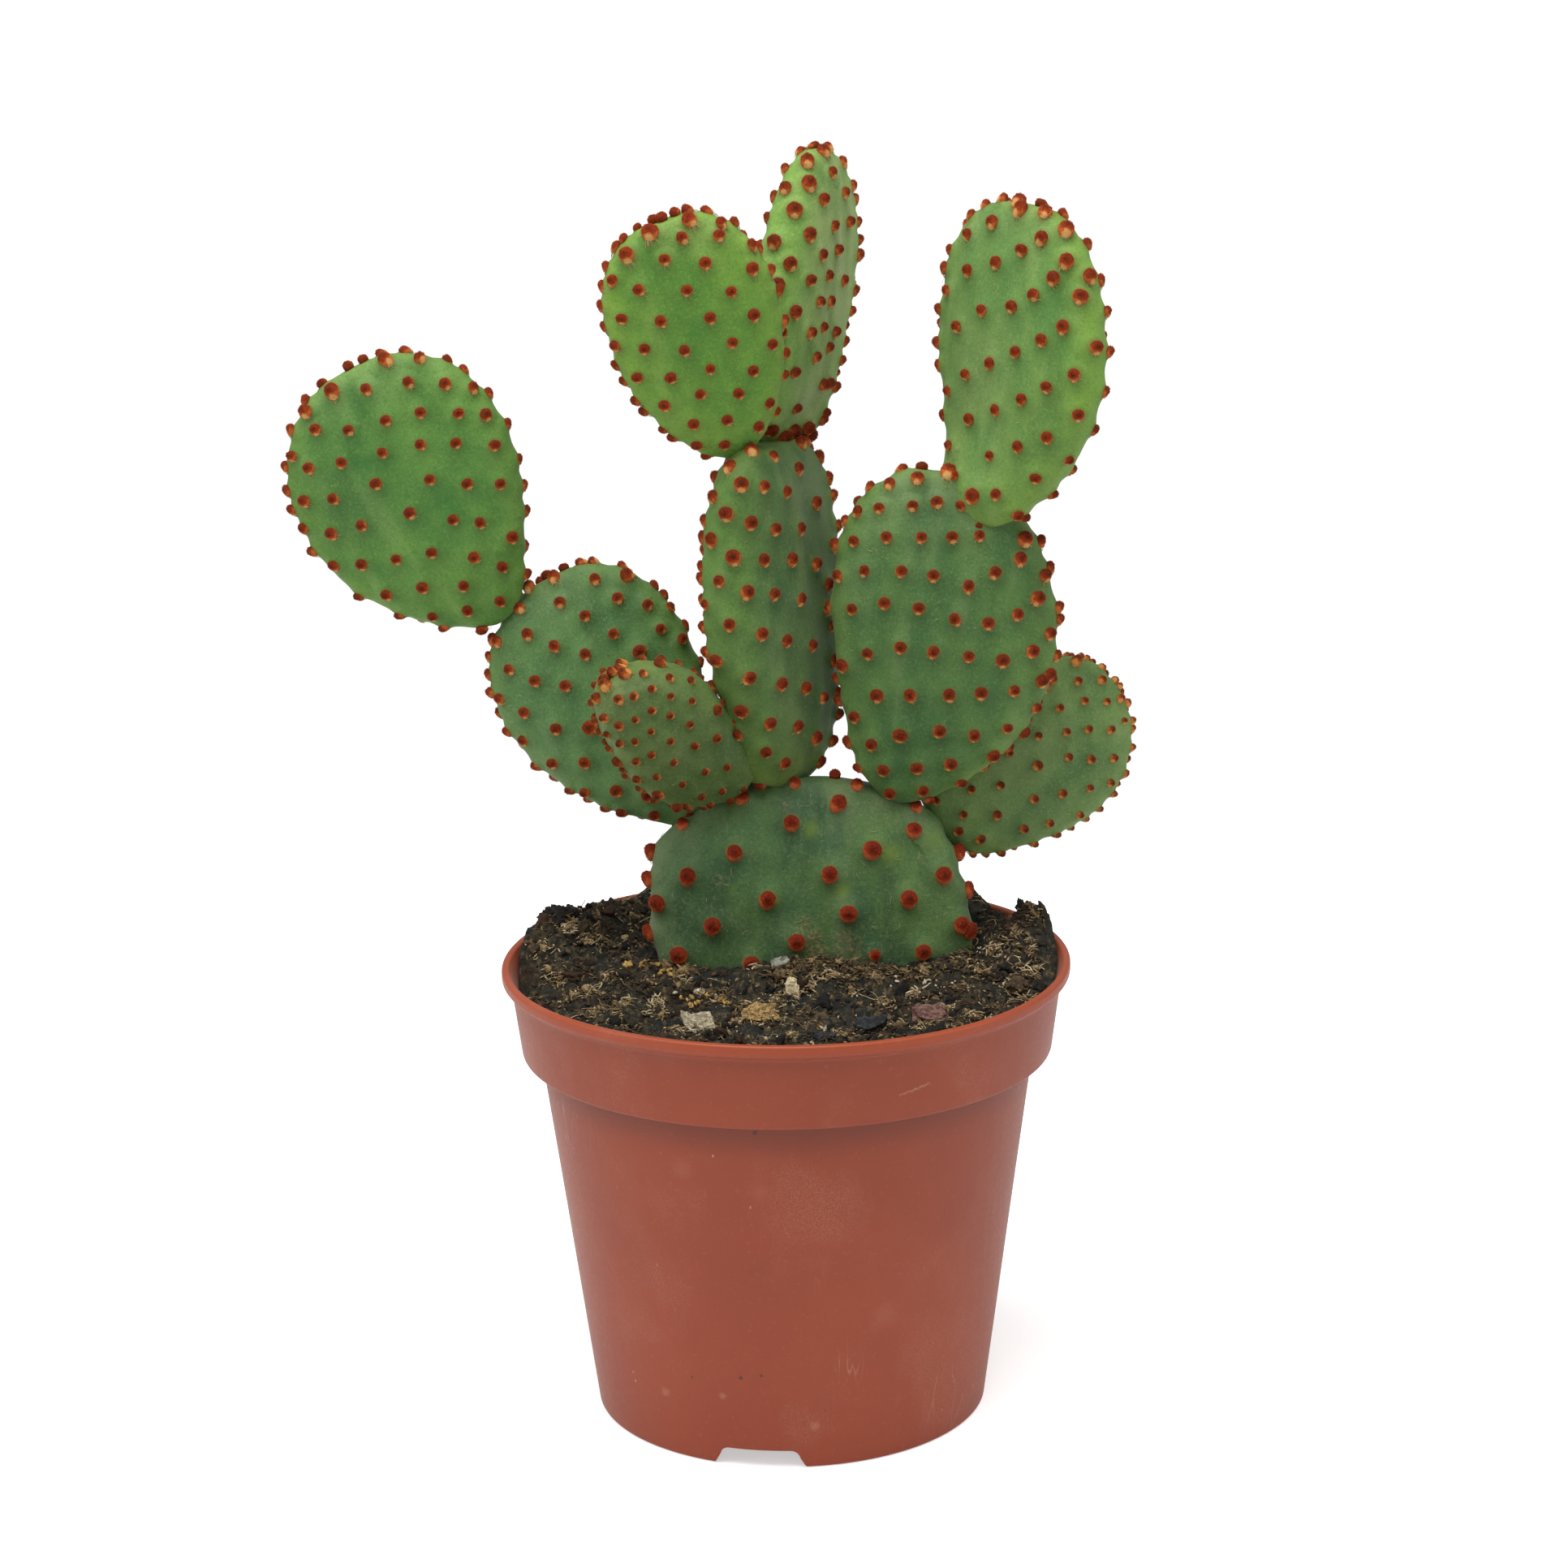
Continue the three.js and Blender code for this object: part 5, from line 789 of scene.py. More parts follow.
    return verts, [quads, np.concatenate([lo, hi])], {"skin": mask, "coat": coat, "paint": paint}


MOUND = 0.62


def tuft_plan(phi):
    """Plan radius of a tuft: round towards the pad's tip, drawn out below."""
    b_ = np.where(np.sin(phi) > 0, 1.0, 1.16)
    return 1 / np.sqrt((np.cos(phi) / 1.0) ** 2 + (np.sin(phi) / b_) ** 2)


def tuft_point(rho, phi):
    """A point on a tuft of unit radius: x aside, y to the pad's tip, z out."""
    r = tuft_plan(phi)
    x, y = rho * r * np.cos(phi), rho * r * np.sin(phi)
    z = (1 - np.clip(rho, 0, 1) ** 2.3) ** 0.52 * (1 - 0.42 * np.clip(-y, 0, 1.3) / 1.3)
    return np.stack([x * (1 - 0.10 * np.clip(-y, 0, 1.3)), y, z], -1)


def dome_template(sides=20):
    rows = [1.0, 0.97, 0.90, 0.79, 0.65, 0.48, 0.27]
    a = [(np.arange(sides) + 0.5 * (i % 2)) * 2 * np.pi / sides for i in range(len(rows) + 1)]
    foot = tuft_point(np.full(sides, 1.0), a[0]) * np.array([0.9, 0.9, 0]) - np.array([0, 0, 0.55])
    pts = [foot] + [tuft_point(np.full(sides, r), a[i]) for i, r in enumerate(rows)]
    v = np.concatenate(pts + [np.array([[0, 0, 1.0]]), np.array([[0, 0, -0.6]])])
    n = len(rows) + 1
    quads = grid_faces(n, sides)
    top = fan(n * sides, (n - 1) * sides + np.arange(sides))
    bottom = fan(n * sides + 1, np.arange(sides), flip=True)
    return v, quads, np.concatenate([top, bottom])


def tuft_mesh(name, q, seed, bristles=110, tall=1.0, lean=0.25, fringe=12, fringe_len=0.6, grow=1.0):
    """The bristle tufts of a pad in one mesh. Two attributes go with it: the
    place inside its own tuft, and a tone, an age and a random share."""
    rng = np.random.default_rng(seed)
    at = AREOLES_OF[name]
    p, n, up = areole_frames(q, at)
    side = np.cross(up, n)
    m = len(at)
    r = at[:, 2] * grow
    base = p + n * (MOUND * at[:, 2] * 0.84)[:, None]
    tone = rng.uniform(0, 1, m)
    young = np.clip((at[:, 0] - 0.80) / 0.16, 0, 1)
    tall_j = tall * rng.uniform(0.85, 1.18, m) * (1 + 0.12 * young)
    lean_j = lean * rng.uniform(0.6, 1.4, m)
    skew = rng.normal(0, 0.22, m)
    wob = rng.uniform(0.90, 1.10, (m, 2))

    def place(loc, j):
        z = loc[..., 2] * tall_j[j]
        x0 = loc[..., 0] * wob[j, 0]
        y0 = loc[..., 1] * wob[j, 1]
        cs, sn = np.cos(skew[j]), np.sin(skew[j])
        x = x0 * cs - y0 * sn
        y = x0 * sn + y0 * cs + lean_j[j] * np.maximum(z, 0)
        return (
            base[j]
            + (x * r[j])[..., None] * side[j]
            + (y * r[j])[..., None] * up[j]
            + (z * r[j])[..., None] * n[j]
        )

    verts, quads, tris, where, tones = [], [], [], [], []
    dv, dq, dt = dome_template()
    k = len(dv)
    body = np.repeat(dv[None], m, 0)
    lump = 1 + 0.05 * rng.standard_normal((m, k)) * (dv[:, 2] > 0.05)
    verts.append(place(body * np.stack([lump, lump, 0.90 * lump], -1), np.repeat(np.arange(m)[:, None], k, 1)).reshape(-1, 3))
    quads.append((dq[None] + (np.arange(m) * k)[:, None, None]).reshape(-1, 4))
    tris.append((dt[None] + (np.arange(m) * k)[:, None, None]).reshape(-1, 3))
    where.append(np.concatenate([body.reshape(-1, 3), np.zeros((m * k, 1))], -1))
    tones.append(np.stack([np.repeat(tone, k), np.repeat(young, k), rng.uniform(0, 1, m * k)], -1))
    total = m * k
    # bristles: slim three-sided spikes all over the body
    b = bristles
    rho = np.sqrt(rng.uniform(0, 1.0, (m, b)))
    phi = rng.uniform(0, 2 * np.pi, (m, b))
    jj = np.repeat(np.arange(m)[:, None], b, 1)
    s = tuft_point(rho, phi)
    d = np.stack([s[..., 0] * 0.95, s[..., 1] * 0.85 + 0.22, 0.75 + 0.25 * (1 - rho)], -1)
    low = ((s[..., 0] / 0.62) ** 2 + ((s[..., 1] + 0.85) / 0.50) ** 2) < 1
    d = np.where(low[..., None], np.stack([s[..., 0] * 0.5, -0.55 + 0 * rho, 0.75 + 0 * rho], -1), d)
    d = unit(d + rng.normal(0, 0.12, d.shape))
    ln = rng.uniform(0.06, 0.27, (m, b)) * np.where(low, 0.8, 1.0)
    s[..., 2] *= 0.90
    foot, tip = s - 0.16 * d, s + ln[..., None] * d
    fw, tw = place(foot, jj), place(tip, jj)
    axis = unit(tw - fw)
    ref = unit(np.cross(axis, side[jj] + 0.3 * n[jj]))
    oth = np.cross(axis, ref)
    wide = (0.024 + 0.032 * r[jj]) * rng.uniform(0.7, 1.25, (m, b))
    ring = [fw + (np.cos(a) * ref + np.sin(a) * oth) * wide[..., None] for a in (0.3, 2.4, 4.5)]
    verts.append(np.stack(ring + [tw], 2).reshape(-1, 3))
    o = total + np.arange(m * b) * 4
    st = np.array([[0, 1, 3], [1, 2, 3], [2, 0, 3], [0, 2, 1]])
    tris.append((st[None] + o[:, None, None]).reshape(-1, 3))
    here = np.stack([s] * 4, 2)
    here = np.concatenate([here, np.broadcast_to(np.array([0.15, 0.15, 0.15, 1.0])[:, None], (m, b, 4, 1))], -1)
    where.append(here.reshape(-1, 4))
    tones.append(
        np.stack([np.repeat(tone, b * 4), np.repeat(young, b * 4), np.repeat(rng.uniform(0, 1, m * b), 4)], -1)
    )
    total += m * b * 4
    # pale felt hairs below the tuft, lying along the skin
    f = fringe
    if f:
        phi = -np.pi / 2 + rng.normal(0, 0.42, (m, f))
        jj = np.repeat(np.arange(m)[:, None], f, 1)
        s0 = rng.uniform(0.85, 1.15, (m, f))
        ln = fringe_len * rng.uniform(0.4, 1.3, (m, f))
        segs = []
        for u, zz in ((0, 0.20), (0.4, 0.20), (0.75, 0.08), (1.0, -0.10)):
            rad_ = s0 + ln * u
            segs.append(
                np.stack(
                    [rad_ * np.cos(phi + 0.15 * u) * 0.9, rad_ * np.sin(phi + 0.15 * u), zz + rng.uniform(-0.03, 0.05, (m, f))], -1
                )
            )
        loc = np.stack(segs, 2)
        jj4 = np.repeat(jj[..., None], 4, 2)
        drop = MOUND * (1 - np.exp(-((np.hypot(loc[..., 0], loc[..., 1] - 0.15) / 1.75) ** 2))) * 0.95
        loc[..., 2] -= drop / tall_j[jj4] / grow
        paths = place(loc, jj4).reshape(m * f, 4, 3)
        rr = (0.022 + 0.022 * np.repeat(r[:, None], f, 1)).reshape(-1, 1) * np.array([1.0, 0.9, 0.7, 0.25])
        tv, tq, te, per = tubes(paths, rr)
        verts.append(tv)
        quads.append(tq + total)
        tris.append(te + total)
        far = np.tile(np.repeat([0.0, 0.35, 0.7, 1.0], 3), m * f)
        where.append(np.stack([0 * far, -1.2 - 0.5 * far, 0 * far, 2.0 + 0 * far], -1))
        tones.append(
            np.stack([np.repeat(tone, f * per), np.repeat(young, f * per), np.repeat(rng.uniform(0, 1, m * f), per)], -1)
        )
        total += len(tv)
    return (
        np.concatenate(verts),
        [np.concatenate(quads), np.concatenate(tris)],
        {"place": np.concatenate(where), "tone": np.concatenate(tones)},
    )


def surface_hairs(name, q, seed, count, length, width, faces=(0, 2 * np.pi)):
    """Short loose hairs lying on a pad's skin."""
    rng = np.random.default_rng(seed)
    t = rng.uniform(0.08, 0.97, count)
    a = np.interp(rng.uniform(0, 1, count), np.linspace(0, 1, 2001), np.append(even_angles(q, 2000), 2 * np.pi))
    at = np.stack([t, a, np.ones(count)], -1)
    p, n, up = areole_frames(q, at)
    side = np.cross(up, n)
    turn = rng.uniform(0, 2 * np.pi, count)
    ln = length * rng.uniform(0.5, 1.3, count)
    curl = rng.normal(0, 0.5, count)
    u = np.linspace(-0.5, 0.5, 6)
    ang = turn[:, None] + curl[:, None] * u[None] * 1.6
    x = np.cumsum(np.cos(ang), 1) / 6 * ln[:, None]
    y = np.cumsum(np.sin(ang), 1) / 6 * ln[:, None]
    z = 0.36 + 0.18 * (1 - (2 * u) ** 2)[None] * rng.uniform(0.2, 1, (count, 1))
    z = np.broadcast_to(z, x.shape)
    bend = -(x**2 + y**2) / 60.0
    path = p[:, None] + x[..., None] * side[:, None] + y[..., None] * up[:, None] + (z + bend)[..., None] * n[:, None]
    rr = width * rng.uniform(0.6, 1.2, (count, 1)) * np.array([0.4, 0.9, 1, 1, 0.8, 0.3])
    return tubes(path, rr)

# ---------------------------------------------------------- materials: plants
def skin_material(name, deep, light, pale, blotch=150.0, dust=0.35, edge_glow=0.3, scars=0.0):
    """Velvety skin: two mottled greens, lighter rims, fine dust and pits."""
    m = Tree(name)
    dark = tuple(c * 0.55 for c in deep[:3]) + (1.0,)
    big = m.noise(blotch * 0.42, 3.0, 0.5, distortion=0.4)
    mid = m.noise(blotch, 4.0, 0.55, distortion=0.3)
    fine = m.noise(blotch * 11, 3.0, 0.6)
    grain = m.noise(blotch * 40, 2.0, 0.6)
    folds, cloud = m.attr("coat", "Red"), m.attr("coat", "Green")
    mott = m.math("ADD", m.math("MULTIPLY", big, 0.34), m.math("MULTIPLY", mid, 0.26))
    mott = m.math("ADD", mott, m.math("MULTIPLY", cloud, 0.40))
    col = m.ramp(mott, [(0.38, deep), (0.50, tuple(0.5 * (a + b) for a, b in zip(deep, light))), (0.62, light)])
    # broad tints, broken up by the mottling; some are painted sheen, glare and shade
    much = m.attr("paint", "Alpha")
    tint = m.node("ShaderNodeAttribute")
    tint.attribute_name = "paint"
    much = m.math("MULTIPLY", much, m.span(mott, 0.36, 0.64, 0.72, 1.12))
    col = m.mix(much, col, tint.outputs["Color"])
    # soft streaks along the pad
    col = m.mix(m.span(folds, 0.58, 0.86, 0.0, 0.26), col, pale)
    col = m.mix(m.span(folds, 0.44, 0.16, 0.0, 0.34), col, dark)
    # rims and tips are a lighter, yellower green
    edge = m.attr("skin", "Green")
    col = m.mix(m.math("MULTIPLY", m.span(edge, 0.25, 1.0), edge_glow), col, m.mix(0.5, light, srgb(150, 176, 76)))
    # speckle of a finer scale
    col = m.mix(m.span(fine, 0.50, 0.72, 0.0, 0.30), col, pale)
    col = m.mix(m.span(fine, 0.48, 0.28, 0.0, 0.35), col, dark)
    col = m.mix(m.span(grain, 0.36, 0.62, 0.30, 0.0), col, dark)
    col = m.mix(m.span(grain, 0.54, 0.72, 0.0, 0.18), col, pale)
    # painted shade on the base side of each tuft, olive right round it
    shade = m.attr("skin", "Alpha")
    col = m.mix(m.math("MULTIPLY", shade, 0.32), col, dark)
    ring = m.attr("skin", "Red")
    col = m.mix(m.math("MULTIPLY", m.span(ring, 0.62, 1.0), 0.42), col, srgb(118, 112, 48))
    # whitish dust and specks
    flake = m.voronoi(blotch * 9, vec=m.scaled((1, 1, 1.0)))
    where = m.noise(blotch * 0.8, 3.0, 0.6, vec=m.scaled((1.3, 1.1, 0.9)))
    dots = m.math("MULTIPLY", m.span(flake, 0.20, 0.05), m.span(where, 0.52, 0.68))
    col = m.mix(m.math("MULTIPLY", dots, dust), col, srgb(172, 184, 150))
    flake2 = m.voronoi(blotch * 3.1, vec=m.scaled((1.0, 1.0, 1.6)))
    rub = m.math("MULTIPLY", m.span(flake2, 0.22, 0.04), m.span(m.noise(blotch * 0.55, 2.0, 0.5, vec=m.scaled((0.8, 1.3, 1.1))), 0.58, 0.70))
    rub = m.math("MULTIPLY", rub, m.span(grain, 0.40, 0.60))
    col = m.mix(m.math("MULTIPLY", rub, 0.8 * dust), col, srgb(158, 176, 146))
    # corky scars and yellow-green flecks
    cork, fleck = m.attr("coat", "Blue"), m.attr("coat", "Alpha")
    col = m.mix(m.math("MULTIPLY", fleck, 0.75), col, srgb(118, 144, 52))
    corky = m.ramp(fine, [(0.34, srgb(76, 72, 48)), (0.52, srgb(112, 100, 66)), (0.68, srgb(156, 138, 98))])
    cover = m.math("MULTIPLY", cork, m.span(fine, 0.34, 0.56, 0.12, 0.75))
    col = m.mix(cover, col, corky)
    if scars:
        yel = m.span(m.noise(230.0, 2.0, 0.5, vec=m.scaled((1.1, 0.9, 1.3))), 0.66, 0.78)
        col = m.mix(m.math("MULTIPLY", yel, 0.45 * scars), col, srgb(112, 136, 60))
        felt = m.noise(700.0, 3.0, 0.7, vec=m.scaled((1.0, 1.0, 0.35)))
        col = m.mix(m.span(felt, 0.58, 0.70, 0.0, 0.30), col, srgb(120, 136, 96))
    pits = m.voronoi(blotch * 26, feature="SMOOTH_F1")
    h = m.math("ADD", m.math("MULTIPLY", pits, 0.5), m.math("MULTIPLY", m.noise(blotch * 6, 4.0, 0.6), 0.9))
    h = m.math("ADD", h, m.math("MULTIPLY", cork, m.math("MULTIPLY", fine, 2.0)))
    nrm = m.bump(h, 0.28, 0.00045)
    m.set(
        Base_Color=col,
        Roughness=m.span(fine, 0.3, 0.7, 0.50, 0.66),
        Normal=nrm,
        Specular_IOR_Level=0.28,
        Sheen_Weight=0.12,
        Sheen_Roughness=0.50,
        Sheen_Tint=(0.80, 0.92, 0.62, 1.0),
        Subsurface_Weight=0.10,
        Subsurface_Radius=(0.5, 1.0, 0.25),
        Subsurface_Scale=0.0018,
    )
    return m.mat


def bristle_material(name, core, rust, orange, felt, cream, felt_size=1.0):
    """Tufts: a cap of rust bristles, darkest in the middle, that leaves room
    for tan felt on the side of the pad's base."""
    m = Tree(name)
    x, y, z = (m.attr("place", c) for c in ("Red", "Green", "Blue"))
    kind = m.attr("place", "Alpha")
    tone, young, rnd = (m.attr("tone", c) for c in ("Red", "Green", "Blue"))
    fibre = m.noise(2300.0, 2.0, 0.6)
    clump = m.noise(1100.0, 2.0, 0.6)
    # distance from the middle of the felt, with a ragged edge
    size = m.math("ADD", m.math("MULTIPLY", young, 0.26), 0.66 * felt_size)
    size = m.math("ADD", size, m.math("MULTIPLY", m.math("SUBTRACT", tone, 0.5), 0.30))
    fx = m.math("DIVIDE", x, 0.78)
    fy = m.math("DIVIDE", m.math("ADD", y, 1.06), 0.66)
    far = m.math("SQRT", m.math("ADD", m.math("MULTIPLY", fx, fx), m.math("MULTIPLY", fy, fy)))
    far = m.math("DIVIDE", far, size)
    far = m.math("ADD", far, m.math("MULTIPLY", m.math("SUBTRACT", clump, 0.5), 0.9))
    # rust: a dark middle, brighter towards the rim, partly painted light; painted light also brightens the lower side
    # and painted shade darkens the upper side
    cx = m.math("MULTIPLY", x, x)
    cy = m.math("SUBTRACT", y, 0.24)
    core_far = m.math("SQRT", m.math("ADD", cx, m.math("MULTIPLY", cy, cy)))
    core_far = m.math("ADD", core_far, m.math("MULTIPLY", m.math("SUBTRACT", rnd, 0.5), 0.22))
    core_far = m.math("ADD", core_far, m.math("MULTIPLY", m.math("SUBTRACT", clump, 0.5), 0.45))
    deep_ = tuple(c * 0.42 for c in core[:3]) + (1.0,)
    col = m.ramp(core_far, [(0.22, deep_), (0.50, core), (0.76, rust), (0.90, rust), (1.04, orange)])
    # painted shade on the upper, tipward side, and painted light in orange on the foot and the lower side
    col = m.mix(m.span(y, -0.15, 0.65, 0.0, 0.60), col, core)
    col = m.mix(m.math("MULTIPLY", m.span(z, 0.30, 0.0, 0.0, 0.6), m.span(y, 0.6, -0.4, 0.25, 1.0)), col, orange)
    col = m.mix(m.span(y, -0.25, 0.85, 0.0, 0.40), col, deep_)
    col = m.mix(m.span(y, -0.30, -0.85, 0.0, 0.45), col, orange)
    col = m.mix(m.span(fibre, 0.50, 0.72, 0.0, 0.35), col, tuple(min(1, c * 1.8) for c in rust[:3]) + (1.0,))
    col = m.mix(m.span(tone, 0.0, 1.0, 0.0, 0.25), col, deep_)
    col = m.mix(m.math("MULTIPLY", m.span(kind, 0.3, 0.9), m.span(kind, 1.5, 1.2, 0.0, 0.45)), col, orange)
    felt_col = m.mix(m.span(y, -0.95, -1.40), felt, cream)
    felt_col = m.mix(m.span(rnd, 0.3, 0.9, 0.0, 0.35), felt_col, cream)
    col = m.mix(m.span(far, 1.18, 0.72, 0.0, 0.85), col, m.mix(m.span(far, 1.08, 0.52), orange, felt_col))
    col = m.mix(m.span(kind, 1.5, 1.6), col, m.mix(rnd, cream, srgb(150, 146, 92)))
    m.set(
        Base_Color=col,
        Roughness=m.span(fibre, 0.3, 0.7, 0.66, 0.88),
        Normal=m.bump(fibre, 0.25, 0.0002),
        Specular_IOR_Level=0.15,
    )
    return m.mat


def hair_material():
    m = Tree("hair_pale")
    n = m.noise(300.0, 2.0)
    m.set(
        Base_Color=m.ramp(n, [(0.3, srgb(120, 132, 96)), (0.7, srgb(176, 172, 132))]),
        Roughness=m.span(n, 0.3, 0.7, 0.55, 0.8),
    )
    return m.mat


# ------------------------------------------------------------- build the pads
SKINS = {
    # name: dark green, light green, pale speckle, dust, edge, slot
    "pad_1_base": (srgb(56, 88, 60), srgb(92, 122, 70), srgb(128, 146, 112), 0.5, 0.10, "pad_skin_old"),
    "pad_2_left": (srgb(68, 104, 62), srgb(104, 136, 78), srgb(140, 158, 116), 0.6, 0.25, "pad_skin"),
    "pad_3_far_left": (srgb(70, 118, 56), srgb(116, 150, 74), srgb(150, 172, 108), 0.25, 0.40, "pad_skin_bright"),
    "pad_4_young": (srgb(68, 98, 56), srgb(100, 124, 62), srgb(138, 150, 104), 0.5, 0.25, "pad_skin_young"),
    "pad_5_centre": (srgb(62, 98, 56), srgb(96, 128, 64), srgb(134, 150, 104), 0.45, 0.25, "pad_skin"),
    "pad_6_upper_left": (srgb(80, 130, 58), srgb(124, 158, 72), srgb(158, 176, 104), 0.2, 0.45, "pad_skin_bright"),
    "pad_7_upper_middle": (srgb(92, 134, 66), srgb(134, 162, 90), srgb(166, 180, 124), 0.2, 0.40, "pad_skin_bright"),
    "pad_8_right": (srgb(66, 104, 60), srgb(102, 134, 72), srgb(140, 156, 110), 0.55, 0.30, "pad_skin"),
    "pad_9_upper_right": (srgb(82, 128, 64), srgb(124, 156, 78), srgb(156, 174, 114), 0.3, 0.40, "pad_skin_bright"),
    "pad_10_low_right": (srgb(72, 104, 60), srgb(108, 134, 74), srgb(144, 156, 112), 0.45, 0.30, "pad_skin_young"),
}


def shift(c, way):
    return tuple(min(1.0, a * b) for a, b in zip(c[:3], way)) + (1.0,)


SHIFT = {
    "pad_1_base": (1.14, 1.18, 0.98), "pad_2_left": (0.98, 1.12, 0.84), "pad_3_far_left": (0.92, 1.12, 0.86),
    "pad_4_young": (1.02, 1.08, 0.82), "pad_5_centre": (1.06, 1.10, 0.82), "pad_6_upper_left": (1.06, 1.18, 0.80),
    "pad_7_upper_middle": (1.30, 1.36, 1.05), "pad_8_right": (0.98, 1.09, 0.88), "pad_9_upper_right": (1.05, 1.12, 0.92),
    "pad_10_low_right": (1.14, 1.24, 0.98),
}
HAIR = hair_material()
for i, (name, q) in enumerate(PADS.items()):
    deep, light, pale, dust, glow, slot_name = SKINS[name]
    deep, light, pale = (shift(c, SHIFT[name]) for c in (deep, light, pale))
    skin = skin_material(
        "skin_" + name, deep, light, pale,
        blotch=150.0 if name != "pad_1_base" else 120.0,
        dust=dust, edge_glow=glow, scars=0.9 if name == "pad_1_base" else 0.0,
    )
    v, f, mask = pad_surface(name, q, 11 + 7 * i)
    build("skin_of_" + name, v, f, [skin], slot_name, replaces=[name], masks=mask)
    young = name in ("pad_4_young", "pad_10_low_right")
    old = name == "pad_1_base"
    if old:
        tuft = bristle_material("bristles_" + name, srgb(128, 39, 16), srgb(152, 53, 22), srgb(198, 102, 58), srgb(190, 92, 50), srgb(200, 136, 92), 0.66)
    elif young:
        tuft = bristle_material("bristles_" + name, srgb(112, 46, 16), srgb(150, 72, 30), srgb(196, 118, 58), srgb(214, 146, 74), srgb(206, 172, 108), 1.20)
    else:
        warm = {"pad_6_upper_left": 1.22, "pad_9_upper_right": 1.14, "pad_3_far_left": 1.08}.get(name, 1.0)
        tuft = bristle_material("bristles_" + name, srgb(116 * warm, 40 * warm, 15 * warm), srgb(150, 58, 21), srgb(196, 106, 52), srgb(218, 164, 94), srgb(222, 196, 138), 1.05)
    v, f, masks = tuft_mesh(
        name, q, 101 + i,
        bristles=190 if not young else 110,
        tall=0.92 if not young else 1.08,
        lean=0.14,
        fringe=3 if old else {"pad_6_upper_left": 12, "pad_3_far_left": 9}.get(name, 7),
        fringe_len=0.35 if old else {"pad_6_upper_left": 0.85}.get(name, 0.5),
        grow={"pad_1_base": 1.15, "pad_9_upper_right": 1.0, "pad_4_young": 1.12, "pad_10_low_right": 1.10}.get(name, 1.05),
    )
    build("tufts_of_" + name, v, f, [tuft], "glochids", masks=masks)
    count = {"pad_1_base": 300, "pad_5_centre": 60, "pad_8_right": 70, "pad_2_left": 60, "pad_10_low_right": 50}.get(name, 30)
    v, fq, fe, _ = surface_hairs(name, q, 301 + i, count, 2.3 if old else 1.2, 0.055 if old else 0.05)
    build("hairs_of_" + name, v, [fq, fe], [HAIR], slot_name)

# ------------------------------------------------------------------- the soil
GAP = 0.35
WALL = 1.2
FOOT_DISC = 24.0
FLOOR_LIFT = 5.0
SOIL_LEVEL = 92.6
HEAPS = [
    (-50.5, 15.5, 8.8, 6.8), (-45, 25, 2.8, 5), (-39, 32, 7, 7), (-26, 43, 9.2, 6.5), (38, 41, 9.4, 8),
    (53.4, 12, 8.8, 5.8), (45, 26, 5, 6), (44, 2, 2.6, 10), (-50, -8, -2.5, 8), (6, -9, 2.8, 7),
]


def ripple(x, y, z, seed):
    return (
        np.sin(x * 0.9 + seed * 1.7) * np.cos(y * 1.1 - seed * 0.6)
        + np.sin(y * 0.7 + z * 1.3 + seed * 2.3)
        + np.cos(z * 1.7 - x * 0.6 + seed)
    ) / 3


def soil_height(x, y):
    z = SOIL_LEVEL
    for hx, hy, rise, spread in HEAPS:
        z = z + rise * np.exp(-((x - hx) ** 2 + (y - hy) ** 2) / (2 * spread**2))
    ring = np.maximum(0, np.hypot(x / 34, (y - 3.5) / 9) - 1) * 14
    z = z + 4.4 * np.exp(-((ring / 11.0) ** 2))
    return z + 0.7 * ripple(x * 0.32, y * 0.32, 0, 5) + 0.5 * ripple(x * 0.8, y * 0.8, 0, 9)


def inner_radius(z):
    return np.interp(z, [6.9, 79.9, 80.6, 93.5, 97.2, 110], [40.7, 51.1, 54.6, 56.9, 57.9, 57.9])


def soil_top(x, y):
    """The soil's own surface with its lumps, at points x, y."""
    p = np.stack([x, y, np.zeros_like(x)], -1)
    a = fbm(p / 5.2, 71, 4, 0.55)
    b = 1 - np.abs(fbm(p / 2.3 + 9, 83, 3, 0.55)) * 2.2
    c = fbm(p / 0.9, 97, 3, 0.6)
    return soil_height(x, y) + 1.35 * a + 0.75 * b + 0.34 * c - 0.45


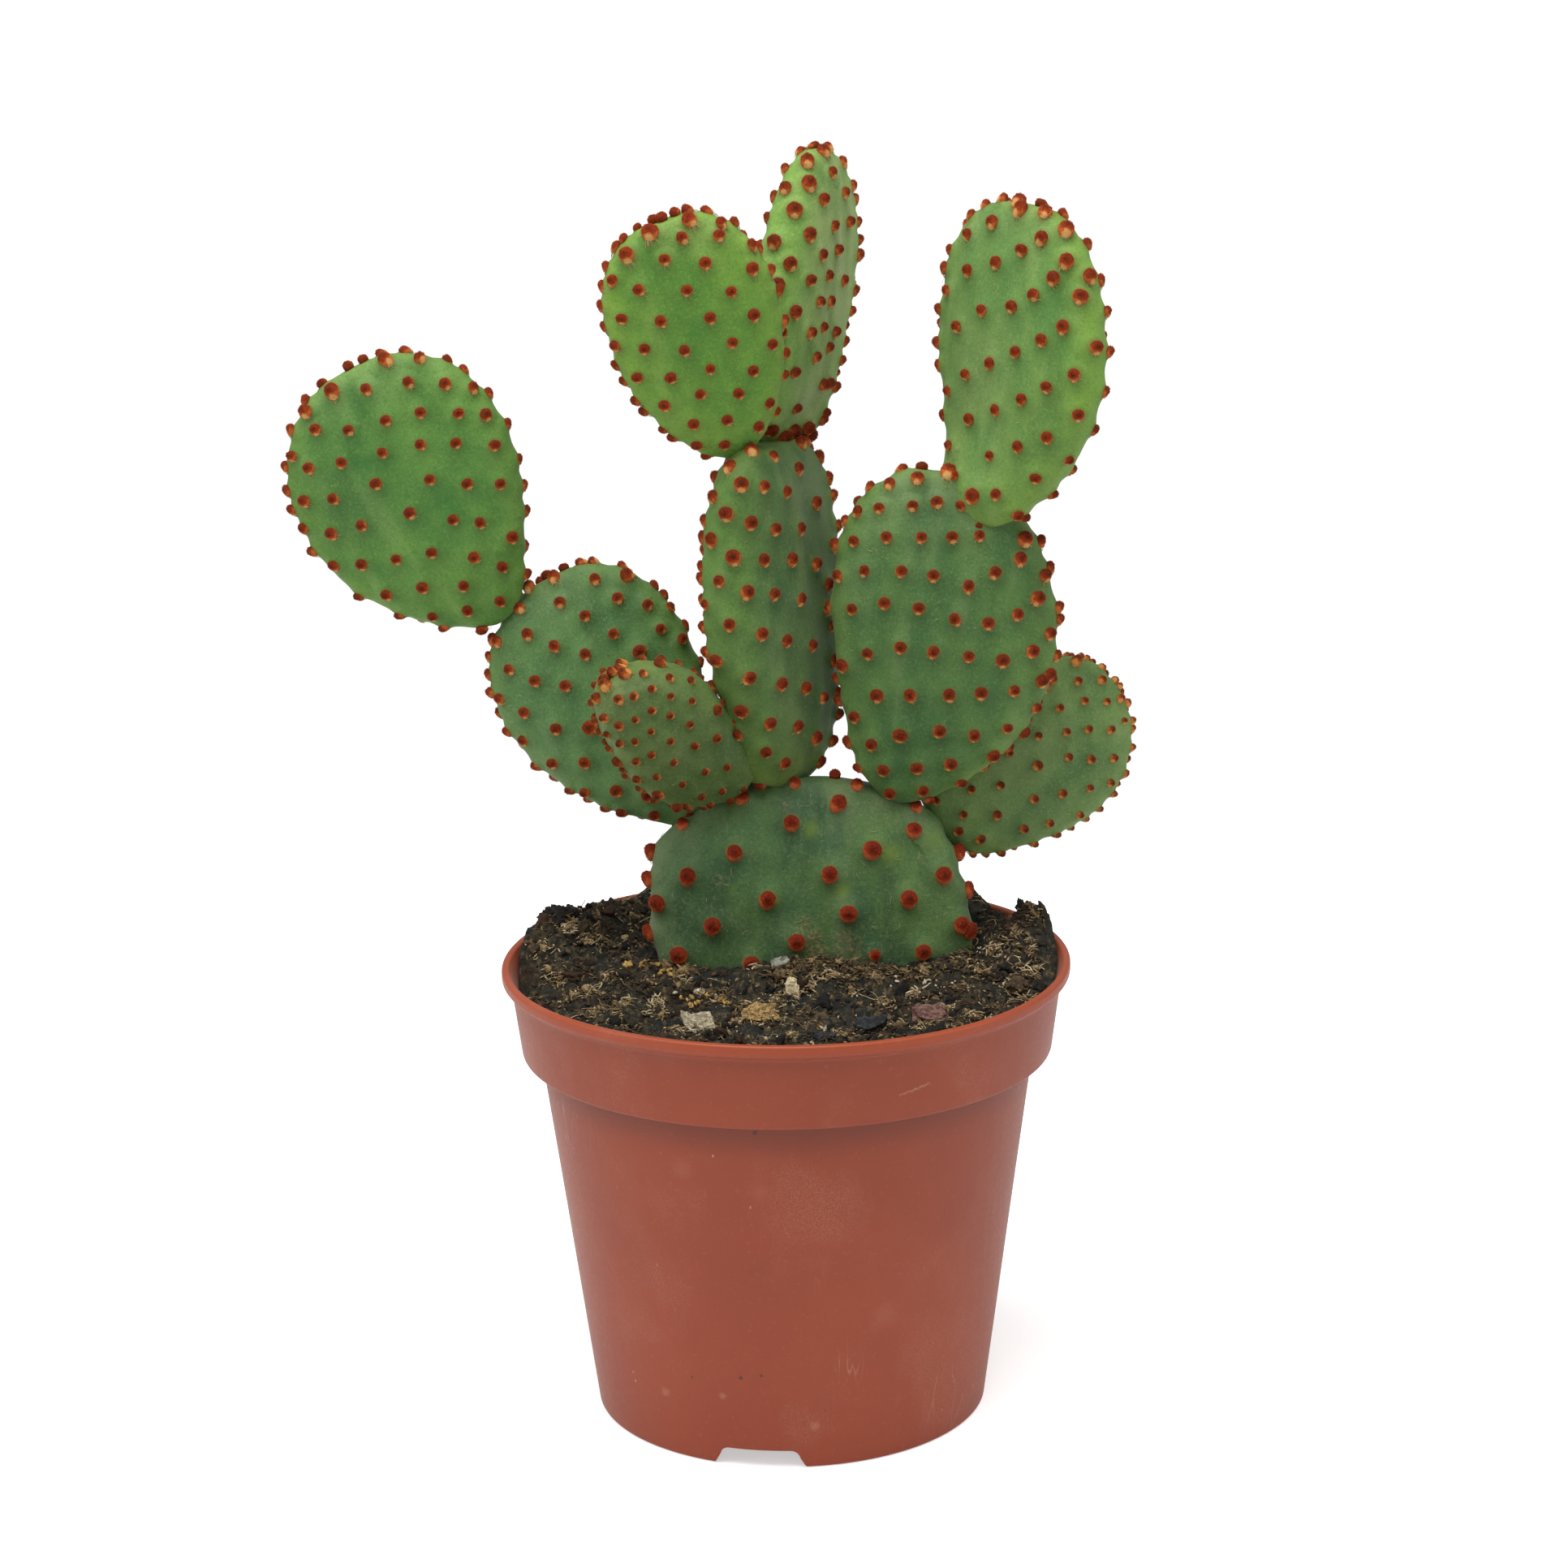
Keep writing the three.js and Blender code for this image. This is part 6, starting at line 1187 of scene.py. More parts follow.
def soil_mesh():
    n_a, n_r = 620, 118
    ang = np.arange(n_a) / n_a * 2 * np.pi
    c, s = np.cos(ang), np.sin(ang)
    edge_z = soil_height(56 * c, 56 * s)
    edge = inner_radius(np.minimum(edge_z, 97)) - GAP - 0.05
    rows = []
    side = [
        (FOOT_DISC - 0.3, WALL + GAP), (FOOT_DISC + 0.45, WALL + 0.9), (FOOT_DISC + 1.7, FLOOR_LIFT + WALL + 0.1),
        (FOOT_DISC + 2.7, FLOOR_LIFT + WALL + GAP), (33.0, FLOOR_LIFT + WALL + GAP), (39.7, FLOOR_LIFT + WALL + GAP), (40.35, 7.1),
    ]
    side += [(40.35 + (50.7 - 40.35) * k / 24, 7.1 + (79.95 - 7.1) * k / 24) for k in range(1, 25)]
    side += [(51.0, 80.3), (54.25, 81.0), (54.7, 83.5), (55.1, 86.0)]
    for r, z in side:
        ring = np.stack([r * c, r * s, np.full(n_a, z)], -1)
        bump = 0.16 * fbm(ring / 2.5, 55, 3) - 0.12
        ring[:, 0] += bump * c
        ring[:, 1] += bump * s
        rows.append(ring)
    for k in np.linspace(1, 0, n_r + 1)[:-1] ** 0.92:
        x, y = k * edge * c, k * edge * s
        z = soil_top(x, y)
        w = np.clip((k - 0.965) / 0.035, 0, 1)
        rim = edge_z - 0.8 + 0.5 * fbm(np.stack([x, y, z], -1) / 2.2, 61, 3)
        rows.append(np.stack([x, y, z * (1 - w) + np.minimum(z, rim + 0.6) * w], -1))
    rows = np.array(rows)
    nr = len(rows)
    verts = np.concatenate(
        [rows.reshape(-1, 3), [[0, 0, WALL + GAP]], [[0, 0, float(soil_top(np.zeros(1), np.zeros(1))[0])]]]
    )
    faces = [
        grid_faces(nr, n_a),
        np.concatenate([fan(nr * n_a, np.arange(n_a), flip=True), fan(nr * n_a + 1, (nr - 1) * n_a + np.arange(n_a))]),
    ]
    return verts, faces


def peat_material():
    m = Tree("peat")
    a = m.noise(460.0, 6.0, 0.66, distortion=0.8)
    b = m.noise(1600.0, 4.0, 0.6)
    c = m.noise(120.0, 3.0, 0.5)
    d = m.noise(900.0, 4.0, 0.6, vec=m.scaled((1.0, 0.35, 0.6), rot=(0.2, 0.4, 0.9)))
    col = m.ramp(a, [(0.34, srgb(13, 14, 13)), (0.48, srgb(34, 34, 29)), (0.59, srgb(64, 57, 43)), (0.72, srgb(118, 102, 74))])
    col = m.mix(m.span(d, 0.54, 0.70, 0.0, 0.62), col, srgb(126, 104, 70))
    col = m.mix(m.span(c, 0.50, 0.66, 0.0, 0.55), col, srgb(38, 42, 40))
    col = m.mix(m.span(c, 0.46, 0.30, 0.0, 0.45), col, srgb(58, 38, 25))
    col = m.mix(m.span(b, 0.62, 0.76, 0.0, 0.55), col, srgb(158, 140, 104))
    h = m.math("ADD", m.math("MULTIPLY", a, 0.9), m.math("MULTIPLY", b, 0.5))
    m.set(Base_Color=col, Roughness=m.span(b, 0.3, 0.7, 0.66, 0.98), Normal=m.bump(h, 0.9, 0.0008), Specular_IOR_Level=0.24)
    return m.mat


def crumb_material(name, dark, light, scale=900.0, rough=(0.7, 0.95), strength=0.6, stretch=(1, 1, 1)):
    m = Tree(name)
    vec = m.scaled(stretch)
    tint = m.attr("piece", "Red")
    a = m.noise(scale, 5.0, 0.62, vec=vec)
    f = m.math("ADD", m.math("MULTIPLY", a, 0.7), m.math("MULTIPLY", tint, 0.4))
    col = m.ramp(f, [(0.30, dark), (0.78, light)])
    spot = m.noise(scale * 3.1, 3.0, 0.6)
    col = m.mix(m.span(spot, 0.55, 0.75, 0.0, 0.5), col, tuple(min(1, c * 1.5) for c in light[:3]) + (1.0,))
    m.set(
        Base_Color=col, Roughness=m.span(a, 0.3, 0.7, *rough),
        Normal=m.bump(m.math("ADD", a, m.math("MULTIPLY", spot, 0.4)), strength, 0.0004), Specular_IOR_Level=0.25,
    )
    return m.mat


def peat_mix_material(name, scale=1100.0, strength=0.7):
    """Peat pieces from near black to cream: the tint of each picks its colour."""
    m = Tree(name)
    tint = m.attr("piece", "Red")
    other = m.attr("piece", "Green")
    a = m.noise(scale, 5.0, 0.65, distortion=0.5)
    f = m.math("ADD", tint, m.math("MULTIPLY", m.math("SUBTRACT", a, 0.5), 0.75))
    col = m.ramp(
        f,
        [
            (0.00, srgb(16, 17, 17)), (0.18, srgb(38, 35, 29)), (0.38, srgb(78, 66, 48)),
            (0.56, srgb(128, 108, 76)), (0.76, srgb(178, 154, 112)), (1.00, srgb(228, 212, 174)),
        ],
    )
    col = m.mix(m.math("MULTIPLY", m.span(other, 0.55, 1.0), 0.45), col, m.mix(0.5, col, srgb(104, 62, 40)))
    spot = m.noise(scale * 2.7, 3.0, 0.6)
    col = m.mix(m.span(spot, 0.44, 0.30, 0.0, 0.55), col, srgb(24, 22, 19))
    m.set(
        Base_Color=col, Roughness=m.span(a, 0.3, 0.7, 0.68, 0.95),
        Normal=m.bump(m.math("ADD", a, m.math("MULTIPLY", spot, 0.5)), strength, 0.0005), Specular_IOR_Level=0.24,
    )
    return m.mat


PEAT = peat_material()
v, f = soil_mesh()
build("soil_body", v, f, [PEAT], "potting_mix", replaces=["potting_soil"])


def scatter(rng, count, where=None, r_max=55.0, margin=0.6):
    """Points on the soil inside the pot, clear of the base pad."""
    q = PADS["pad_1_base"]
    out = np.zeros((0, 2))
    while len(out) < count:
        r = r_max * np.sqrt(rng.uniform(0, 1, count * 3))
        a = rng.uniform(0, 2 * np.pi, count * 3)
        x, y = r * np.cos(a), r * np.sin(a)
        keep = np.hypot((x - 6.5) / (30.0 - margin), (y - 3.8) / (7.5 - margin)) > 1
        if where is not None:
            keep &= rng.uniform(0, 1, len(x)) < where(x, y)
        out = np.concatenate([out, np.stack([x[keep], y[keep]], -1)])
    return out[:count]


def rot_random(rng, n, flat=False):
    """Random rotation matrices (n,3,3); flat ones lie near the ground."""
    q = rng.standard_normal((n, 4))
    if flat:
        q[:, 1:3] *= 0.28
    q /= np.linalg.norm(q, axis=1, keepdims=True)
    w, x, y, z = q.T
    return np.stack(
        [
            np.stack([1 - 2 * (y * y + z * z), 2 * (x * y - z * w), 2 * (x * z + y * w)], -1),
            np.stack([2 * (x * y + z * w), 1 - 2 * (x * x + z * z), 2 * (y * z - x * w)], -1),
            np.stack([2 * (x * z - y * w), 2 * (y * z + x * w), 1 - 2 * (x * x + y * y)], -1),
        ],
        -2,
    )


def crumbs(rng, level, xy, size, lift=0.25, rough=0.55, squash=(1.0, 0.8, 0.6), seed=0, tint=None, grain=1.3, flat=False):
    """Rough lumps: one mesh, with a tint for each."""
    bv, bf = ico(level)
    n, k = len(xy), len(bv)
    scale = np.stack([size * rng.uniform(0.7, 1.3, n) * s for s in squash], -1)
    v = bv[None] * np.ones((n, 1, 1))
    noise_p = v.reshape(-1, 3) * grain + np.repeat(rng.uniform(-90, 90, (n, 3)), k, 0)
    bumpy = fbm(noise_p, 7 + seed, 3, 0.6).reshape(n, k)
    v = v * np.clip(1 + rough * bumpy, 0.25, 2.2)[..., None] * scale[:, None]
    v = np.einsum("nij,nkj->nki", rot_random(rng, n, flat), v)
    z = soil_top(xy[:, 0], xy[:, 1]) + lift * size
    v += np.stack([xy[:, 0], xy[:, 1], z], -1)[:, None]
    f = (bf[None] + (np.arange(n) * k)[:, None, None]).reshape(-1, 3)
    tint = rng.uniform(0, 1, n) if tint is None else tint
    mask = np.stack([np.repeat(tint, k), np.repeat(rng.uniform(0, 1, n), k), np.zeros(n * k)], -1)
    return v.reshape(-1, 3), f, mask


def limit(v):
    """Keeps loose pieces inside the pot's inner wall."""
    r = np.hypot(v[:, 0], v[:, 1])
    lim = inner_radius(np.clip(v[:, 2], 80, 99)) - 0.15
    k = np.minimum(1, lim / np.maximum(r, 1e-6))
    high = v[:, 2] > 97.6
    k = np.where(high, np.minimum(1, 57.4 / np.maximum(r, 1e-6)), k)
    v = v.copy()
    v[:, 0] *= k
    v[:, 1] *= k
    return v


def join_groups(groups):
    off, V, F, M = 0, [], [], []
    for v, f, m in groups:
        V.append(v), F.append(f + off), M.append(m)
        off += len(v)
    return np.concatenate(V), np.concatenate(F), np.concatenate(M)


def mats(rng, centres, tint, per, spread, length, width, dome=0.9, seg=6, wild=0.9):
    """Matted fibres: a tangle of short strands round each centre."""
    k = len(centres)
    which = np.repeat(np.arange(k), rng.integers(per[0], per[1], k))
    n = len(which)
    size = rng.uniform(0.75, 1.35, k)[which]
    off = rng.normal(0, 1, (n, 2)) * (spread * size)[:, None]
    xy = centres[which] + off
    u = np.linspace(-0.5, 0.5, seg)
    ln = rng.uniform(*length, n)
    ang = rng.uniform(0, 2 * np.pi, k)[which] + rng.normal(0, wild, n)
    a = ang[:, None] + rng.normal(0, 1.5, n)[:, None] * u + rng.normal(0, 0.3, (n, seg))
    step = ln[:, None] / (seg - 1)
    pitch = rng.normal(0, 0.38, n)
    x = xy[:, :1] + np.cumsum(np.cos(a) * step, 1) - 0.5 * ln[:, None] * np.cos(ang)[:, None]
    y = xy[:, 1:] + np.cumsum(np.sin(a) * step, 1) - 0.5 * ln[:, None] * np.sin(ang)[:, None]
    far = np.hypot(x, y)
    k_ = np.minimum(1, 55.6 / np.maximum(far, 1e-6))
    x, y = x * k_, y * k_
    near = np.exp(-0.5 * (np.hypot(off[:, 0], off[:, 1]) / (spread * size)) ** 2)
    z = soil_top(xy[:, 0], xy[:, 1]) + dome * size * near * rng.uniform(0.1, 1.0, n) + 0.1
    z = z[:, None] + ln[:, None] * u * np.sin(pitch)[:, None] + (0.16 * ln * rng.uniform(0, 1, n))[:, None] * (1 - (2 * u) ** 2)
    ground = soil_top(x.ravel(), y.ravel()).reshape(x.shape)
    z = np.maximum(z, ground - 0.05)
    rad = (width * rng.uniform(0.5, 1.5, n))[:, None] * np.array([0.45] + [1.0] * (seg - 2) + [0.3])
    shade = np.clip(tint[which] * rng.uniform(0.55, 1.25, n) + rng.normal(0, 0.06, n), 0, 1)
    return np.stack([x, y, z], -1), rad, shade


def strands(name, groups, mat, slot_name, rng, sides=4):
    parts = [tubes(p, r, sides) for p, r, _ in groups]
    V, Q, E, M, off = [], [], [], [], 0
    for (v, q, e, per), (_, _, t) in zip(parts, groups):
        V.append(v), Q.append(q + off), E.append(e + off)
        M.append(np.repeat(np.stack([t, rng.uniform(0, 1, len(t)), 0 * t], -1), per, 0))
        off += len(v)
    return build(name, limit(np.concatenate(V)), [np.concatenate(Q), np.concatenate(E)], [mat], slot_name, masks={"piece": np.concatenate(M)})


# where the fibre clumps, crumbs and flakes lie
TAN_CLUMPS = np.array([
    (-46.6, 11.1), (-45.4, 14.1), (-42.7, 8.8), (-39.4, 11.9), (-44.8, -8.7), (-39.3, -20.9), (-33.6, -17.0),
    (-28.7, -9.3), (-21.1, -4.9), (-25.8, -23.3), (-23.1, -31.0), (-13.4, -13.8), (-10.7, -29.1), (-7.4, -21.6),
    (-2.4, -17.8), (2.6, -22.9), (5.6, -29.3), (5.3, -14.0), (1.1, -11.1), (13.7, -15.2), (23.3, -31.0),
    (27.2, -14.6), (36.6, -12.0), (38.4, -26.1), (42.9, -21.0), (46.8, -12.4), (50.1, -5.3), (43.6, 0.0),
    (48.8, 6.3), (50.7, -16.3), (37.9, -2.5), (11.6, -36.4), (0.9, -37.9), (-34.9, -25.9), (-47.9, -1.3),
    (-52.1, 6.5), (41.1, -6.9), (-54.0, 9.2), (32.8, -22.1), (20.3, -20.5), (-41.6, -8.0), (-37.7, -4.1),
    (-14.9, -27.5), (29.7, -36.8), (52.6, 12.0), (53.4, 9.0), (-33.0, 30.0), (-28.0, 37.0), (-42.0, 24.0),
])
MOUND_CLUMPS = np.array([
    (-1.8, -10.3), (0.6, -9.1), (3.7, -9.2), (7.1, -8.2), (10.5, -7.0), (13.9, -6.7), (16.6, -8.0), (19.8, -7.9),
    (5.7, -11.5), (9.4, -11.5), (12.8, -10.1), (18.5, -10.3), (22.4, -7.8), (25.8, -7.4), (29.2, -6.8),
    (32.6, -6.1), (35.5, -4.2), (2.0, -7.4), (6.0, -6.4), (16.0, -6.0), (36.4, 0.5), (-24.5, -1.5), (-20.5, -4.5),
])
BROWN_CLUMPS = np.array([
    (-39.0, 22.5), (-40.0, 17.4), (-37.1, 10.4), (-48.4, 13.1), (-33.9, -5.6), (-30.4, -11.2), (-44.0, -1.6),
    (-31.0, -33.6), (-25.9, -37.9), (44.4, -9.5), (38.1, -16.2), (8.5, -21.1), (26.8, -25.1),
])
YELLOW_CRUMBS = np.array([
    (-29.4, -0.1), (-28.4, -1.6), (-26.9, 0.7), (-25.1, -2.5), (-23.7, -5.0), (-22.3, -5.9), (-33.4, -1.3),
    (-33.0, -2.5), (-24.3, -6.6), (-25.7, -4.8), (-30.6, -2.1), (-26.2, -3.4), (-24.6, -4.0), (-33.8, -2.2),
])
OCHRE_CRUMBS = np.array([
    (-6.4, -25.2), (-4.7, -22.9), (-3.4, -25.5), (-2.1, -26.7), (-7.4, -26.2), (-20.8, -14.7), (-18.1, -16.5),
    (-15.7, -14.7), (-13.7, -16.0), (-1.4, -28.0), (-19.6, -17.5), (-12.5, -17.3),
])
WHITE_CRUMBS = np.array([
    (23.0, -10.3), (28.7, -11.3), (29.6, -10.3), (32.0, -12.2), (30.9, -14.8), (34.5, -10.8), (-23.4, -12.1),
    (42.1, -26.1), (42.7, -27.6), (7.3, -35.5), (6.7, -31.8), (-17.4, -12.4), (38.7, -11.6), (37.2, -3.1),
    (37.3, -22.5), (-13.5, -19.1), (-11.5, -17.4), (41.2, 1.4), (36.9, -2.4), (29.1, -10.9), (31.4, -15.2),
])
LOOP = np.array([(44.8, 0.2), (46.5, 2.6), (48.6, 4.3), (50.7, 3.8), (51.9, 1.7), (52.6, -1.3), (52.8, -3.7), (52.5, -5.9)])

# loose pieces: where, half sizes, turn and tip in degrees
LITTER = {
    "wood_flake": dict(at=(-18.0, -29.2), half=(3.2, 2.7, 1.1), turn=25, tip=46, seed=3, slot="wood_chip_pale", kind="flake"),
    "bark_chip_pink": dict(at=(29.6, -26.4), half=(3.5, 2.4, 1.3), turn=12, tip=34, seed=7, slot="bark_brown", kind="chip"),
    "bark_chip_dark": dict(at=(17.2, -33.7), half=(2.7, 2.2, 1.7), turn=-20, tip=18, seed=11, slot="bark_dark", kind="chip"),
    "bark_chip_front": dict(at=(7.4, -41.5), half=(2.3, 1.8, 1.4), turn=40, tip=12, seed=13, slot="bark_dark", kind="chip"),
    "stone_grey": dict(at=(-1.1, -7.9), half=(1.8, 1.5, 1.4), turn=10, tip=8, seed=17, slot="stone_grey", kind="stone"),
    "flake_cream": dict(at=(1.4, -15.0), half=(1.3, 2.7, 0.9), turn=-6, tip=52, seed=19, slot="straw", kind="chip"),
    "peat_clump_tan": dict(at=(-5.2, -26.3), half=(3.5, 2.4, 1.7), turn=-8, tip=20, seed=23, slot="peat_fibre", kind="clump"),
    "peat_clump_back_left": dict(at=(-48.8, 18.6), half=(3.4, 2.4, 1.6), turn=115, tip=0, seed=29, slot="peat_fibre", kind="clump"),
    "straw_cream": dict(at=(-16.6, -13.5), half=(2.4, 0.8, 0.6), turn=-32, tip=16, seed=31, slot="straw", kind="chip"),
    "bark_chip_back": dict(at=(20.0, 36.0), half=(5, 3.2, 1.5), turn=60, tip=12, seed=37, slot="bark_brown", kind="chip"),
    "bark_chip_right": dict(at=(48.0, -12.0), half=(2.6, 1.8, 1.2), turn=75, tip=16, seed=41, slot="bark_brown", kind="chip"),
}

rng = np.random.default_rng(4)
MIX = peat_mix_material("peat_mix")
n = 1000
groups = [crumbs(rng, 2, scatter(rng, n), rng.uniform(0.35, 1.05, n), 0.15, 0.95, (1.0, 0.75, 0.5), 1, rng.beta(1.4, 3.6, n), 1.6)]
n = 90
xy = scatter(rng, n)
groups.append(crumbs(rng, 3, xy, rng.uniform(1.0, 1.9, n), 0.05, 1.25, (1.0, 0.75, 0.6), 3, rng.beta(1.3, 5.0, n), 1.7))
v, f, m = join_groups(groups)
build("soil_crumbs", limit(v), [f], [MIX], "potting_mix", masks={"piece": m})

groups = []
for k, (pts, tint, size) in enumerate(((TAN_CLUMPS, 0.60, 1.15), (MOUND_CLUMPS, 0.50, 1.3), (BROWN_CLUMPS, 0.30, 1.6))):
    t = np.clip(tint + rng.normal(0, 0.10, len(pts)), 0.1, 0.9)
    groups.append(crumbs(rng, 3, pts, size * rng.uniform(0.7, 1.25, len(pts)), 0.10, 1.35, (1.0, 0.8, 0.62), 11 + k, t, 1.9))
HEAP_LUMPS = np.array([(-52.5, 10.0), (-52.0, 13.5), (-51.5, 16.5), (-49.5, 21.5), (-46.0, 19.0), (-46.5, 24.5), (-43.0, 22.0), (-53.6, 6.0), (-38.5, 28.0), (52.0, 15.0), (54.6, 9.5), (50.5, 12.5)])
t = np.array([0.30, 0.22, 0.10, 0.08, 0.12, 0.22, 0.18, 0.30, 0.20, 0.12, 0.22, 0.16])
groups.append(crumbs(rng, 3, HEAP_LUMPS, np.array([1.9, 2.1, 2.2, 2.1, 2.2, 1.8, 1.8, 1.6, 1.9, 2.0, 1.6, 1.8]), 0.15, 1.1, (1.0, 0.85, 0.75), 31, t, 1.8))
v, f, m = join_groups(groups)
build("soil_clumps", limit(v), [f], [MIX], "peat_fibre", masks={"piece": m})

n = 620
groups = [crumbs(rng, 1, scatter(rng, n), rng.uniform(0.25, 0.85, n), 0.5, 0.8, (1.0, 0.6, 0.16), 5, rng.beta(2.2, 2.6, n), 1.3, True)]
n = 700
groups.append(crumbs(rng, 1, scatter(rng, n), rng.uniform(0.16, 0.42, n), 0.5, 0.9, (1.0, 0.8, 0.6), 6, rng.beta(2.0, 2.0, n)))
n = 420
near = rng.integers(0, len(TAN_CLUMPS), n)
groups.append(crumbs(rng, 1, TAN_CLUMPS[near] + rng.normal(0, 1.3, (n, 2)), rng.uniform(0.18, 0.5, n), 1.4, 0.9, (1.0, 0.7, 0.4), 7, rng.uniform(0.45, 0.95, n)))
v, f, m = join_groups(groups)
build("soil_bits", limit(v), [f], [MIX], "peat_fibre", masks={"piece": m})

n = len(YELLOW_CRUMBS) * 3
pts = np.repeat(YELLOW_CRUMBS, 3, 0) + rng.normal(0, 0.45, (n, 2))
YELLOW = crumb_material("yellow_crumbs", srgb(104, 78, 34), srgb(206, 170, 98), 1300.0)
a_ = crumbs(rng, 2, pts, rng.uniform(0.28, 0.62, n), 0.8, 0.8, (1.0, 0.85, 0.75), 21)
n = len(OCHRE_CRUMBS) * 5
pts = np.repeat(OCHRE_CRUMBS, 5, 0) + rng.normal(0, 0.55, (n, 2))
b_ = crumbs(rng, 2, pts, rng.uniform(0.24, 0.58, n), 1.3, 0.8, (1.0, 0.7, 0.6), 22)
v, f, m = join_groups([a_, b_])
build("soil_yellow_bits", limit(v), [f], [YELLOW], "peat_fibre", masks={"piece": m})

n = len(WHITE_CRUMBS) * 3
pts = np.repeat(WHITE_CRUMBS, 3, 0) + rng.normal(0, 0.40, (n, 2))
WHITE = crumb_material("white_crumbs", srgb(128, 118, 90), srgb(232, 226, 202), 1300.0)
a_ = crumbs(rng, 2, pts, rng.uniform(0.22, 0.52, n), 0.9, 0.8, (1.0, 0.75, 0.5), 23)
n = 46
b_ = crumbs(rng, 1, scatter(rng, n), rng.uniform(0.18, 0.42, n), 0.8, 0.8, (1.0, 0.6, 0.35), 24)
v, f, m = join_groups([a_, b_])
build("soil_white_bits", limit(v), [f], [WHITE], "straw", masks={"piece": m})

groups = []
groups.append(mats(rng, TAN_CLUMPS, np.clip(0.66 + rng.normal(0, 0.12, len(TAN_CLUMPS)), 0, 1), (22, 44), 1.25, (0.8, 2.4), 0.13, 1.4))
groups.append(mats(rng, MOUND_CLUMPS, np.clip(0.54 + rng.normal(0, 0.10, len(MOUND_CLUMPS)), 0, 1), (24, 44), 1.25, (0.8, 2.4), 0.125, 1.6))
groups.append(mats(rng, BROWN_CLUMPS, np.full(len(BROWN_CLUMPS), 0.34), (16, 28), 1.4, (0.9, 2.6), 0.15, 1.5))
pts = scatter(rng, 130)
groups.append(mats(rng, pts, rng.beta(2.0, 2.8, 130), (8, 24), 1.1, (0.7, 2.4), 0.12, 0.9))
# fibres that cling to the loose pieces
held = np.array([LITTER[k]["at"] for k in ("wood_flake", "peat_clump_tan", "flake_cream", "straw_cream", "bark_chip_front", "bark_chip_pink", "bark_chip_dark", "stone_grey")])
held = held - np.array([0.0, 1.8])
groups.append(mats(rng, held, np.array([0.74, 0.80, 0.84, 0.80, 0.42, 0.45, 0.35, 0.5]), (16, 30), 1.7, (0.8, 2.6), 0.12, 1.2))
curl = np.array([(-27.2, -16.8), (-27.0, -16.2)])
groups.append(mats(rng, curl, np.array([0.92, 0.98]), (34, 44), 0.8, (1.0, 2.6), 0.10, 2.3, wild=0.5))
groups.append(mats(rng, LOOP, np.full(len(LOOP), 0.78), (10, 16), 0.45, (1.0, 2.6), 0.11, 1.3, wild=0.5))
strands("soil_fibres", groups[:3], MIX, "peat_fibre", rng)
strands("soil_loose_fibres", groups[3:], MIX, "peat_fibre", rng)

n = 150
pts = scatter(rng, n)
groups = [mats(rng, pts, rng.beta(2.2, 2.4, n), (1, 3), 0.8, (3.0, 8.0), 0.06, 0.6, 9, 3.0)]
strands("soil_threads", groups, MIX, "peat_fibre", rng, 3)

# dark wet splinters standing out of the heaps
n = 26
pts = np.concatenate([[(-42.6, 25.0), (-42.0, 24.6), (55.0, 12.4), (54.6, 11.4), (-28.0, 40.0), (-40.5, 21.0)], scatter(rng, n - 6)])
tall = np.concatenate([[1.9, 1.2, 1.5, 1.0, 1.3, 1.2], rng.uniform(0.5, 1.0, n - 6)])
bv, bf = ico(2)
k = len(bv)
v = bv[None] * np.stack([0.42 * tall, 0.24 * tall, 1.35 * tall], -1)[:, None]
v = v * (1 - 0.42 * bv[None, :, 2:3]) * (1 + 0.35 * fbm((bv[None] * 1.4 + rng.uniform(-50, 50, (n, 1, 3))).reshape(-1, 3), 31, 3).reshape(n, k, 1))
lean_ = rng.uniform(-0.5, 0.5, (n, 2))
v[..., 0] += lean_[:, :1] * v[..., 2]
v[..., 1] += lean_[:, 1:] * v[..., 2]
v += np.stack([pts[:, 0], pts[:, 1], soil_top(pts[:, 0], pts[:, 1]) + 0.75 * tall], -1)[:, None]
m = np.stack([np.repeat(rng.uniform(0.1, 0.5, n), k), np.repeat(rng.uniform(0, 1, n), k), np.zeros(n * k)], -1)
build("soil_splinters", limit(v.reshape(-1, 3)), [(bf[None] + (np.arange(n) * k)[:, None, None]).reshape(-1, 3)], [MIX], "peat_fibre", masks={"piece": m})

# ---------------------------------------------------------------- the litter
def flaky_material(name, dark, mid, light, scale=700.0, stretch=(1, 1, 1), rough=(0.65, 0.92), strength=0.9):
    """Weathered wood and bark: streaks, dark cracks and pale patches."""
    m = Tree(name)
    vec = m.scaled(stretch)
    a = m.noise(scale, 6.0, 0.66, vec=vec, distortion=0.7)
    b = m.noise(scale * 3.0, 4.0, 0.6)
    c = m.noise(scale * 0.35, 3.0, 0.5)
    col = m.ramp(a, [(0.30, dark), (0.48, mid), (0.66, light)])
    crack = m.span(m.math("ABSOLUTE", m.math("SUBTRACT", a, 0.47)), 0.030, 0.0)
    col = m.mix(m.math("MULTIPLY", crack, 0.75), col, tuple(0.35 * k for k in dark[:3]) + (1.0,))
    col = m.mix(m.span(c, 0.52, 0.66, 0.0, 0.5), col, mid)
    col = m.mix(m.span(b, 0.46, 0.30, 0.0, 0.5), col, dark)
    col = m.mix(m.span(b, 0.60, 0.74, 0.0, 0.5), col, light)
    h = m.math("ADD", m.math("MULTIPLY", a, 0.9), m.math("MULTIPLY", b, 0.5))
    m.set(Base_Color=col, Roughness=m.span(b, 0.3, 0.7, *rough), Normal=m.bump(h, strength, 0.0006), Specular_IOR_Level=0.25)
    return m.mat


